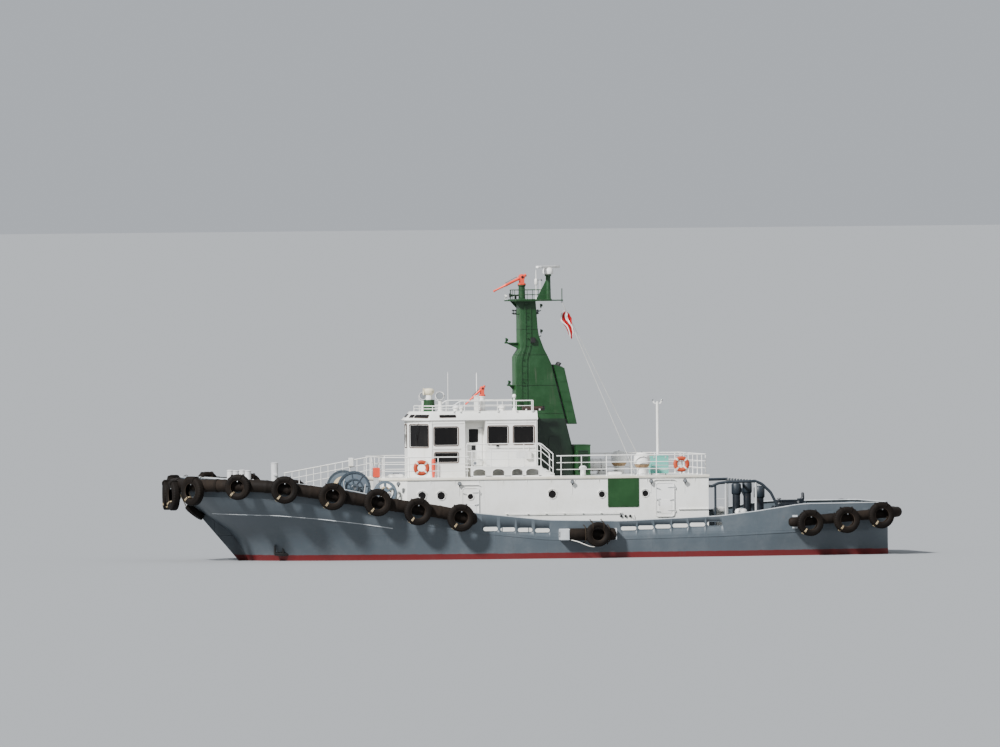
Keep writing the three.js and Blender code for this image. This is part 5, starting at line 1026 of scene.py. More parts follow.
@dataclass(frozen=True)
class Hull:
    """The hull's skin with its deck, the drives' pads, a pale bead under the knuckle that is a painted highlight of its
    sunlit edge, a sheer strake and zincs.
    """

    highlight_between: tuple[float, float] = (7.6, 15.7)
    highlight_drop: float = 0.19
    highlight_section: tuple[tuple[float, float], ...] = (
        (-0.006, -0.024), (0.012, -0.02), (0.02, 0.0), (0.012, 0.02), (-0.006, 0.024))
    strake_between: tuple[float, float] = (-15.2, 6.5)
    strake_drop: float = 0.06
    strake_section: tuple[tuple[float, float], ...] = (
        (-0.008, -0.05), (0.016, -0.045), (0.016, 0.045), (-0.008, 0.05))
    pad_soft: float = 0.03
    zincs_from: float = -13.8
    zincs_to: float = 9.0
    zinc_pitch: float = 2.9
    zinc_size: tuple[float, float, float] = (0.36, 0.11, 0.05)
    zinc_half: float = 0.03
    zinc_z: float = -0.62
    zinc_sink: float = 0.995

    def sections(self, low: float, high: float) -> list[Array]:
        """The half sections at the stations between two distances along the boat."""
        return [FORM.section(float(station)) for station in FORM.stations() if low < station < high]

    def plating(self) -> Patch:
        """The skin over whole sections, its faces grouped as plating, deck and the two ends."""
        rings = []
        for station in FORM.stations():
            half = FORM.section(float(station))
            rings.append(np.concatenate([half, half[:0:-1] * MIRROR]))
        whole = skin(np.array(rings))
        quads, *caps = whole.faces
        half_count = len(FORM.section(0.0))
        deck = np.arange(len(quads)) % (2 * half_count - 1) == half_count - 1
        return Patch(whole.points, (quads[~deck], quads[deck], *caps))

    def knuckle_highlight_bead(self) -> Patch:
        """A bead along each section's point that lies the drop below the knuckle, on the run to the next point: a
        painted highlight of the knuckle's sunlit edge.
        """
        points = []
        for half in self.sections(*self.highlight_between):
            knuckle, under = half[-2], half[-3]
            points.append(knuckle + (under - knuckle) * min(0.9, self.highlight_drop / (knuckle[2] - under[2])))
        return sweep(np.array(points), np.array(self.highlight_section))

    def build(self) -> None:
        """Makes the hull."""
        hull = Shell("hull_plating").add(self.plating(), finish=(0, 1, 0, 0))
        pad = [(DRIVE.pad, DRIVE.pad_top), (DRIVE.pad, DRIVE.pad_face + self.pad_soft),
               (DRIVE.pad - self.pad_soft, DRIVE.pad_face)]
        hull.both(lathe(pad, (DRIVE.x, DRIVE.y, 0.0), sides=64))
        # The knuckle bead is painted pale: a painted highlight of the sunlit knuckle edge.
        hull.both(self.knuckle_highlight_bead(), finish=2)
        edges = np.array([half[-1] for half in self.sections(*self.strake_between)])
        hull.both(sweep(edges - (0.0, 0.0, self.strake_drop), np.array(self.strake_section)))
        zinc = slab(rounded(*self.zinc_size), -self.zinc_half, self.zinc_half, "y")
        for x in np.arange(self.zincs_from, self.zincs_to, self.zinc_pitch):
            hull.both(zinc.moved(float(x), float(FORM.water(x)) * self.zinc_sink, self.zinc_z), finish=3)
        make(hull, (HULL_GREY, DECK_GREEN, PALE_EDGE_AND_HIGHLIGHT, STEEL_WIRE), ROOT, ["hull"])


@dataclass(frozen=True)
class Skeg:
    """The fin under the hull: heights of its bottom and its root along the boat, and its thickness."""

    aft: float = -9.15
    fore: float = 2.2
    bottom: tuple[tuple[float, ...], tuple[float, ...]] = ((-9.0, -2.6, 2.5), (-3.35, -3.35, -2.3))
    root: tuple[tuple[float, ...], tuple[float, ...]] = ((-9.4, 2.5), (-1.2, -2.3))
    sunk: float = 0.02
    half: float = 0.115
    steps: int = 40
    # The section: share of the half thickness, and of the way down from the root
    section: tuple[tuple[float, float], ...] = ((-1, 0.0), (-1, 0.8), (-0.6, 1.0), (0.6, 1.0), (1, 0.8), (1, 0.0))
    shoe_fore: float = -2.6
    shoe_half: float = 0.13
    shoe_tall: float = 0.07

    def build(self) -> None:
        """Makes the fin, thickest at two thirds of its length by the root of a sine, and the shoe under it."""
        x = np.linspace(self.aft, self.fore, self.steps)
        low, high = np.interp(x, *self.bottom), np.interp(x, *self.root) + self.sunk
        half = self.half * np.sin(np.linspace(0.08, 1.0, self.steps) * math.pi / 1.35) ** 0.5
        across, down = np.array(self.section).T
        y = across[None, :] * half[:, None]
        z = high[:, None] + (low - high)[:, None] * down[None, :]
        fin = skin(np.stack([np.broadcast_to(x[:, None], y.shape), y, z], axis=-1))
        sole = self.bottom[1][0]
        shoe = block((self.aft, self.shoe_fore), (-self.shoe_half, self.shoe_half), (sole, sole + self.shoe_tall))
        make(Shell("skeg_fin").add(fin, shoe), (HULL_GREY,), ROOT, ["skeg"])


@dataclass(frozen=True)
class Bulwark:
    """Plating, cap rail and freeing slots along the deck edge."""

    plate: float = 0.014
    cap_wide: float = 0.1
    cap_tall: float = 0.045
    stay_pitch: float = 1.2
    # Each row of slots: count, first and last x, middle height at each end, bar between, height
    rows: tuple[tuple[int, float, float, float, float, float, float], ...] = (
        (4, 2.93, -0.23, 1.38, 1.26, 0.11, 0.2), (6, -3.36, -8.09, 1.3, 1.5, 0.07, 0.19))
    # Lamps on the cap: distance along the boat, and off the deck edge
    lamps: tuple[tuple[float, float], ...] = ((7.2, -0.05), (5.9, -0.06))

    def shells(self) -> tuple[Shell, Shell, Shell]:
        """The port bulwark's plating, its cap, stays and slot rims, and the shape of its slots."""
        line, out = FORM.plan()
        low, high = FORM.deck(line[:, 0]) + 0.0005, smooth(FORM.top(line[:, 0]), 3)
        sections = []
        for offset, level in ((0.0, low), (0.0, high), (-self.plate, high), (-self.plate, low)):
            sections.append(around(line, out, offset, level))
        rings = np.stack(sections, axis=1)
        rings[(0, -1), :, 1] = 0.0
        plating = Shell("plating").add(skin(rings))
        shell = Shell("trim")
        cap = around(line, out, -self.cap_wide / 2 + 0.006, high - self.cap_tall / 2 + 0.004)
        profile = rounded(self.cap_wide, self.cap_tall, self.cap_tall / 2.1, 5)
        shell.add(sweep(cap, profile), finish=1)
        gone = distances(line)
        for distance in np.arange(0.7, gone[-1], self.stay_pitch):
            k = int(np.searchsorted(gone, distance))
            x = float(line[k, 0])
            if any(row[2] - 0.1 < x < row[1] + 0.1 for row in self.rows) and k % 2:
                continue
            inward, along = -out[k], np.array([-out[k, 1], out[k, 0]])
            z0, z1 = float(low[k]) + 0.001, float(high[k]) - 0.04
            shape = [(self.plate - 0.002, z0), (0.3, z0), (0.3, z0 + 0.05), (0.07, z1), (self.plate - 0.002, z1)]
            flat = np.array(shape)
            base = line[k] + inward[None, :] * flat[:, :1]
            ring = [np.column_stack([base + along * shift, flat[:, 1]]) for shift in (-0.006, 0.006)]
            shell.add(skin(np.array(ring)), finish=2)
        slots = Shell("slots")
        for count, fore, aft, z_fore, z_aft, gap, tall in self.rows:
            pitch = (fore - aft) / count
            for i in range(count):
                start = fore - pitch * i
                z = z_fore + (z_aft - z_fore) * (i + 0.5) / count
                wide = pitch - gap
                hole = rounded(wide, tall, tall / 2.05, 7) + (start - wide / 2, z)
                slots.add(slab(hole, 3.6, 5.2, "y", 0.0))
                rim = np.column_stack([hole[:, 0], FORM.edge(hole[:, 0]) + 0.001, hole[:, 1]])
                shell.add(sweep(rim, circle(0.012, 6), wrap=True))
        return plating, shell, slots

    def build(self) -> None:
        """Both bulwarks, with their slots cut through and the rail beside the winch."""
        for side, sign in SIDES:
            plating, shell, slots = self.shells()
            if sign < 0:
                ForeRail().add_to(shell)
            for x, off in self.lamps:
                edge, normal = FORM.at(x)
                at = edge + normal * off
                add_lamps(shell, lamp(float(at[0]), float(at[1]), float(FORM.top(x)) + 0.17, "y", 0.13), (3, 4, 3))
            plates = make(plating.side(sign).named(f"bulwark_plating_{side}"), (HULL_GREY,), ROOT,
                          [f"bulwark_{side}"])
            carve(plates, slots.side(sign))
            make(shell.side(sign).named(f"bulwark_trim_{side}"), (HULL_GREY, PALE_EDGE_AND_HIGHLIGHT, INNER_GREY, WHITE_TRIM, LENS),
                 ROOT)


@dataclass(frozen=True)
class ForeRail:
    """The rail beside the winch: its ends, top heights, bars below the top and uprights."""

    aft: float = 6.44
    fore: float = 10.44
    top_aft: float = 4.55
    top_fore: float = 3.84
    drops: tuple[float, ...] = (0.0, 0.3, 0.6, 0.9)
    pitch: float = 0.333
    stay_foot: float = 6.15
    inside: float = 0.045
    box_x: float = 7.4
    box_z: tuple[float, float] = (4.1, 4.5)

    def top(self, x: Array) -> Array:
        """Height of the top bar."""
        return np.interp(x, (self.aft, self.fore), (self.top_aft, self.top_fore))

    def add_to(self, shell: Shell) -> None:
        """Sloping bars on close uprights, each bar ending where it meets the bulwark, with a slanted stay and a box."""
        line, out = FORM.plan(self.aft)
        keep = line[:, 0] <= self.fore + 0.05
        line, out = line[keep], out[keep]
        base = FORM.top(line[:, 0])
        top = self.top(line[:, 0])
        for drop in self.drops:
            rail = around(line, out, -self.inside, top - drop)[top - drop > base + 0.1]
            if len(rail) < 4:
                continue
            radius = 0.026 if drop == 0.0 else 0.019
            shell.add(bar([*rail[:-1:3], rail[-1]], radius, 8, 0.12), finish=3)
        for x in np.arange(self.aft, self.fore + 0.01, self.pitch):
            edge, normal = FORM.at(float(x))
            at = edge - normal * self.inside
            shell.add(bar([(*at, float(FORM.top(x)) - 0.03), (*at, float(self.top(x)))], 0.017, 7), finish=3)
            shell.add(lathe([(0.045, 0.0), (0.045, 0.012), (0.02, 0.02)], (*at, float(FORM.top(x)))), finish=3)
        edge, normal = FORM.at(self.aft)
        at = edge - normal * self.inside
        shell.add(bar([(*at, self.top_aft), (self.stay_foot, float(at[1]), float(FORM.top(self.stay_foot)))], 0.02,
                      8), finish=3)
        edge, normal = FORM.at(self.box_x)
        at = edge - normal * 0.1
        shell.add(block((self.box_x - 0.1, self.box_x + 0.1), (float(at[1]) - 0.06, float(at[1]) + 0.06), self.box_z,
                        0.02), finish=3)


def lamp(x: float, y: float, z: float, facing: str = "x", size: float = 0.1) -> list[tuple[Patch, int]]:
    """A round deck lamp: a can with a rim, a lens and a bracket under it. Finishes: 0 body, 1 lens, 2 dark."""
    can = lathe([(0.02, -size), (size * 0.6, -size), (size * 0.95, -size * 0.3), (size, size * 0.25),
                 (size * 1.08, size * 0.3), (size * 1.08, size * 0.48), (size * 0.9, size * 0.48)],
                (x, y, z), facing, 20)
    lens = lathe([(size * 0.88, size * 0.3), (size * 0.88, size * 0.46), (size * 0.5, size * 0.56),
                  (size * 0.05, size * 0.6)], (x, y, z), facing, 20)
    foot = block((x - size * 0.3, x + size * 0.3), (y - size * 0.3, y + size * 0.3), (z - size * 1.7, z - size * 0.6),
                 size * 0.08)
    return [(can, 0), (lens, 1), (foot, 2)]


def add_lamps(shell: Shell, lamps: Sequence[tuple[Patch, int]], finishes: tuple[int, int, int]) -> None:
    """Adds a lamp's parts with this shell's own numbers for body, lens and dark fittings."""
    for patch, part in lamps:
        shell.add(patch, finish=finishes[part])


# Fenders

@dataclass(frozen=True)
class Tyre:
    """One hung tyre: its place along the deck edge, height and outer diameter, and where its tread starts."""

    x: float
    z: float
    across: float
    turn: float = 0.0
    thick: float = 0.355
    hole: float = 0.52
    lugs: int = 34
    loop_radius: float = 0.019
    # Angles from the top of the loops over its rim, and from the bottom of those under it
    top_loops: tuple[float, ...] = (-24.0, 27.0)
    low_loops: tuple[float, ...] = (-34.0, -40.0)

    def patches(self) -> list[tuple[Patch, int]]:
        """A worn truck tyre about the origin, its axle along +X.

        Returns:
            The casing, hollow inside, and two bead rings. Along the crown the outer radius drops by a groove's
            depth wherever the angle falls between two lugs, with the lugs staggered from one shoulder to the other.
        """
        radius, half = self.across / 2, self.thick / 2
        outer = np.array([
            (self.hole, 0.62), (0.555, 0.8), (0.62, 0.94), (0.7, 1.0), (0.79, 0.985), (0.87, 0.93), (0.925, 0.85),
            (0.965, 0.72), (0.985, 0.5), (0.996, 0.25), (1.0, 0.0)])
        outer = np.concatenate([outer, outer[-2::-1] * (1.0, -1.0)])
        inner = np.array([(0.555, -0.6), (0.63, -0.8), (0.74, -0.85), (0.86, -0.77), (0.92, -0.5), (0.935, 0.0)])
        inner = np.concatenate([inner, inner[-2::-1] * (1.0, -1.0)])
        profile = np.concatenate([outer, inner]) * (radius, half)
        across, sides = len(outer), self.lugs * 4
        angle = round_angles(sides) + math.radians(self.turn)
        step = np.arange(sides)
        depth = np.zeros((len(profile), sides))
        for row in range(5, across - 5):
            stagger = 0 if row < across // 2 else 2
            depth[row] = 0.02 * ((step + stagger) % 4 >= 3)
        depth[across // 2 - 1: across // 2 + 2] = 0.012
        ring = profile[:, :1] - depth
        wobble = 1.0 + 0.008 * np.sin(2 * angle + self.turn) + 0.005 * np.sin(3 * angle)
        y, z = ring * np.cos(angle) * wobble, ring * np.sin(angle) * wobble
        x = np.broadcast_to(profile[:, 1:], y.shape)
        casing = skin(np.stack([x, y, z], axis=-1), wrap=True)
        bead_radius = radius * self.hole + 0.012
        beads = [torus(bead_radius, (0.02, 0.026), (shift, 0.0, 0.0), "x", 56,
                       8) for shift in (-half * 0.66, half * 0.66)]
        ribs = [torus(radius * 0.74, (0.012, 0.011), (shift, 0.0, 0.0), "x", 56, 6)
                for shift in (-half * 0.985, half * 0.985)]
        return [(casing, 0), *((bead, 1) for bead in beads), *((rib, 0) for rib in ribs)]

    def loop(self, section: Sequence[Sequence[float]], lean: float, soft: float) -> Patch:
        """A rope loop round the tyre's section at an angle from the top, its corners rounded."""
        turned = Patch(np.array(section), ()).turned("x", lean).points
        closed = bent([*turned, turned[0], turned[1]], soft, 4)[3:-2]
        return sweep(closed, circle(self.loop_radius, 8), wrap=True)

    def hang(self, shell: Shell, stand: float) -> None:
        """Adds the tyre on both sides, off the deck edge, with the loops and the shackle that it hangs by.

        Args:
            shell: The shell with tyre rubber, bead, rope and chain finishes at 0, 1, 2 and 3.
            stand: How far its middle stands off the deck edge.
        """
        point, normal = FORM.at(self.x)
        rim = self.across / 2
        hole, gap = rim * self.hole, self.thick / 2 + 0.022
        high = [(gap, 0.0, rim * 0.78), (gap * 0.8, 0.0, hole + 0.03), (0.0, 0.0, hole - 0.025),
                (-gap * 0.8, 0.0, hole + 0.03), (-gap, 0.0, rim * 0.78), (-gap * 0.75, 0.0, rim),
                (0.0, 0.0, rim + 0.03), (gap * 0.75, 0.0, rim)]
        low = [(gap, 0.0, -rim * 0.76), (gap * 0.8, 0.0, -hole - 0.03), (0.0, 0.0, -hole + 0.025),
               (-gap * 0.8, 0.0, -hole - 0.03), (-gap, 0.0, -rim * 0.76), (0.0, 0.0, -rim - 0.025)]
        shackle = lathe([(0.004, -0.03), (0.03, -0.02), (0.034, 0.0), (0.03, 0.02), (0.004, 0.03)],
                        (gap * 0.55, 0.02, hole - 0.06), "y", 12)
        parts = [*self.patches(), *((self.loop(high, lean, 0.09), 0) for lean in self.top_loops), (shackle, 3),
                 *((self.loop(low, lean, 0.08), 2) for lean in self.low_loops)]
        for patch, part in parts:
            shell.both(placed(patch, point + normal * stand, normal, self.z), finish=part)


def placed(patch: Patch, point: Array, normal: Array, z: float) -> Patch:
    """A patch that faces +X turned to face a plan direction and moved to a plan point at a height."""
    heading = math.degrees(math.atan2(normal[1], normal[0]))
    return patch.turned("z", heading).moved(float(point[0]), float(point[1]), z)


@dataclass(frozen=True)
class Roll:
    """A rubber roll: its radius, the pitch of its grooves along the path, and how far grooves and ends draw in."""

    radius: float
    sides: int
    step: float
    pitch: int
    groove: float
    end: float

    def along(self, path: Array) -> tuple[Array, Patch]:
        """The roll along a path.

        Args:
            path: Its middle line, shape (points, 3).

        Returns:
            The line at even steps, and circles along it. Their radius is full at the first two of each pitch's
            steps and the groove's elsewhere, and shrinks over the last three steps by a square root.
        """
        gone = distances(path)
        even = np.arange(0.0, gone[-1], self.step)
        path = np.column_stack([np.interp(even, gone, path[:, k]) for k in range(3)])
        place = np.arange(len(path))
        ridge = np.where(place % self.pitch < 2, 1.0, self.groove)
        ends = np.clip(np.minimum(place, place[::-1]) / 3.0, 0.0, 1.0)
        scale = ridge * (self.end + (1.0 - self.end) * np.sqrt(ends))
        return path, sweep(path, circle(self.radius, self.sides)[None] * scale[:, None, None])


@dataclass(frozen=True)
class BowFender:
    """The roll round the bow with its clamping bands, the tyres hung over it and the one under the stem."""

    tyres: tuple[Tyre, ...] = (Tyre(15.81, 2.99, 1.39, 10), Tyre(15.3, 3.2, 1.35, 47), Tyre(13.74, 3.38, 1.19, 71),
                               Tyre(11.9, 3.24, 1.26, 23), Tyre(9.87, 2.92, 1.26, 64), Tyre(7.83, 2.63, 1.26, 35),
                               Tyre(6.0, 2.2, 1.26, 82), Tyre(4.05, 1.9, 1.26, 5))
    roll: Roll = Roll(0.296, 20, 0.055, 18, 0.955, 0.55)
    aft: float = 3.3
    stand: float = 0.26
    tail: float = 0.12
    band_radius: float = 0.305
    band_pitch: int = 54
    tyre_stand: float = 0.63
    stem_tyre: Tyre = Tyre(15.31, 2.215, 0.95, 30)
    stem_lean: float = 52.0
    stem_squeeze: float = 0.82
    chain: tuple[tuple[float, float], tuple[float, float]] = ((15.66, 2.38), (16.1, 3.3))
    chain_half: float = 0.03
    # Lashings: distances from each tyre's middle, and how far forward a tyre still has two of them
    lashings: tuple[float, float] = (-0.22, 0.2)
    twin_before: float = 15.0
    lash_radius: float = 0.017

    def lashing(self, tyre: Tyre, shift: float) -> Patch:
        """A rope from inside the bulwark, over its top and down the roll to a tyre."""
        point, normal = FORM.at(tyre.x + shift if tyre.x < self.twin_before else tyre.x)
        top = float(FORM.top(point[0])) + 0.02
        levels = [(-0.1, top - 0.35), (-0.06, top), (0.0, top + 0.03), (0.2, top - 0.06),
                  (0.575, float(FORM.fender(point[0])) + 0.24), (0.62, tyre.z + tyre.across * 0.36)]
        points = [(*(point + normal * offset), level) for offset, level in levels]
        return rope(resampled(bent(points, 0.12, 5), 0.028), self.lash_radius, sides=9)

    def build(self) -> None:
        """Makes the fender, and the lashings as a piece of their own."""
        line, out = FORM.plan(self.aft, 0.16)
        path = both_ways(around(line, out, self.stand, smooth(FORM.fender(line[:, 0]), 3)))
        tail = (self.tail, 0.0, 0.0)
        path, roll = self.roll.along(np.concatenate([path[:1] - tail, path, path[-1:] - tail]))
        fender = Shell("bow_fender_roll").add(roll, finish=4)
        for k in range(30, len(path) - 20, self.band_pitch):
            fender.add(sweep(path[k - 1:k + 2], circle(self.band_radius, 20)))
        for tyre in self.tyres:
            tyre.hang(fender, self.tyre_stand)
        stem = self.stem_tyre
        for patch, part in stem.patches():
            thin = Patch(patch.points * (self.stem_squeeze, 1.0, 1.0), patch.faces)
            fender.add(thin.turned("y", self.stem_lean).moved(stem.x, 0.0, stem.z), finish=part)
        (low_x, low_z), (high_x, high_z) = self.chain
        for y in (-self.chain_half, self.chain_half):
            fender.add(bar([(low_x, y, low_z), (high_x, y, high_z)], 0.018, 8), finish=2)
        make(fender, (RUBBER, RUBBER_RIM, ROPE, STEEL_WIRE, ROLL_RUBBER), ROOT, ["bow_fender"])

        lashings = Shell("bow_fender_lashings")
        for tyre in self.tyres[1:]:
            for shift in self.lashings:
                lashings.both(self.lashing(tyre, shift))
        make(lashings, (TARRED,), ROOT)


@dataclass(frozen=True)
class SideFender:
    """A short roll under the deckhouse, with its end plates, one tyre and its ropes."""

    y: float = 4.862
    z: float = 1.08
    # The roll's radius and its distance along the boat, from its aft end
    shape: tuple[tuple[float, float], ...] = (
        (0.16, -3.12), (0.25, -3.04), (0.274, -2.94), (0.274, -2.62), (0.262, -2.6), (0.262, -2.52), (0.274, -2.5),
        (0.274, -1.9), (0.262, -1.88), (0.262, -1.8), (0.274, -1.78), (0.274, -0.93), (0.1, -0.93))
    plates_z: tuple[float, float] = (0.82, 1.34)
    tyre: Tyre = Tyre(-2.2, 1.08, 1.13, 12)
    tyre_y: float = 5.25
    white_rope: tuple[tuple[float, float, float], ...] = (
        (-1.0, 4.98, 0.84), (-1.3, 5.14, 0.76), (-1.62, 5.3, 0.62), (-1.85, 5.36, 0.53), (-2.05, 5.3, 0.52))
    # The other ropes: distances along the boat, and the route across the boat and in height
    hangers: tuple[float, float] = (-2.45, -1.95)
    hanger_route: tuple[tuple[float, float], ...] = (
        (4.56, 1.72), (4.66, 1.76), (4.95, 1.62), (5.32, 1.64), (5.46, 1.46), (5.4, 1.3))
    girths: tuple[float, float] = (-2.75, -1.66)
    girth_route: tuple[tuple[float, float], ...] = (
        (4.55, 0.62), (4.7, 0.72), (5.12, 0.76), (5.18, 1.1), (5.1, 1.38), (4.6, 1.5))

    def line(self, points: Sequence[Sequence[float]], radius: float) -> Patch:
        """A rope along a route with rounded corners."""
        return rope(resampled(bent(points, 0.1, 5), 0.03), radius, sides=9)

    def build(self) -> None:
        """Makes the fender on each side."""
        shell = Shell("side_fender_roll")
        shell.add(self.line(self.white_rope, 0.018), finish=6)
        shell.add(lathe(self.shape, (0.0, self.y, self.z), "x", 28), finish=4)
        shell.add(block((-0.96, -0.53), (4.6, 5.03), self.plates_z, 0.03), finish=5)
        shell.add(lathe([(0.13, -0.532), (0.13, -0.522), (0.09, -0.522), (0.09, -0.532)], (0.0, 4.85, self.z), "x",
                        20, closed=True), finish=4)
        shell.add(block((-3.1, -3.05), (4.55, 5.05), self.plates_z, 0.015), finish=5)
        for patch, part in self.tyre.patches():
            shell.add(placed(patch, np.array([self.tyre.x, self.tyre_y]), np.array([0.0, 1.0]), self.z), finish=part)
        for places, route, radius in ((self.hangers, self.hanger_route, 0.018),
                                      (self.girths, self.girth_route, 0.02)):
            for x in places:
                shell.add(self.line([(x, y, z) for y, z in route], radius), finish=2)
        for side, sign in SIDES:
            make(shell.side(sign).named(f"side_fender_roll_{side}"),
                 (RUBBER, RUBBER_RIM, TARRED, STEEL_WIRE, ROLL_RUBBER, PALE_EDGE_AND_HIGHLIGHT, WHITE_ROPE), ROOT,
                 [f"side_fender_{side}"])


@dataclass(frozen=True)
class SternFender:
    """The roll round the stern on its brackets, with three tyres on each side."""

    tyres: tuple[Tyre, ...] = (Tyre(-11.88, 1.48, 1.22, 15), Tyre(-13.58, 1.59, 1.22, 58),
                               Tyre(-15.2, 1.78, 1.22, 37))
    roll: Roll = Roll(0.236, 18, 0.06, 16, 0.96, 0.6)
    fore: float = -11.0
    stand: float = 0.42
    tyre_stand: float = 0.78
    # The roll's height: at its aft and fore ends
    ends_x: tuple[float, float] = (-15.85, -11.3)
    ends_z: tuple[float, float] = (1.9, 1.52)
    pale_bracket: float = -11.3
    grey_brackets: tuple[float, ...] = (-13.0, -14.6)
    aft_bracket: tuple[tuple[float, float], tuple[float, float]] = ((-16.2, -15.84), (1.2, 1.4))

    def bracket(self, x: float) -> tuple[Patch, Patch]:
        """A bracket between roll and hull, and its back plate."""
        point, _ = FORM.at(x)
        y, z = float(point[1]), float(np.interp(x, self.ends_x, self.ends_z))
        return (block((x - 0.15, x - 0.01), (y - 0.01, y + 0.2), (z - 0.19, z + 0.19), 0.015),
                block((x - 0.2, x + 0.03), (y, y + 0.03), (z - 0.3, z + 0.3), 0.006))

    def build(self) -> None:
        """Makes the fender: the port line ends on the centreline at the stern, and is led on to starboard."""
        line, out = FORM.plan(None, 0.1)
        keep = line[:, 0] <= self.fore
        port = around(line[keep], out[keep], self.stand, np.interp(line[keep, 0], self.ends_x, self.ends_z))
        _, roll = self.roll.along(np.concatenate([port, port[-2::-1] * MIRROR]))
        shell = Shell("stern_fender_roll").add(roll, finish=4)
        for tyre in self.tyres:
            tyre.hang(shell, self.tyre_stand)
        shell.both(*self.bracket(self.pale_bracket), finish=5)
        for x in self.grey_brackets:
            shell.both(*self.bracket(x), finish=6)
        aft_z = self.ends_z[0]
        shell.both(block(*self.aft_bracket, (aft_z - 0.18, aft_z + 0.18), 0.015), finish=6)
        make(shell, (RUBBER, RUBBER_RIM, ROPE, STEEL_WIRE, ROLL_RUBBER, PALE_EDGE_AND_HIGHLIGHT, HULL_GREY), ROOT, ["stern_fender"])


# Deckhouse, boat deck and wheelhouse

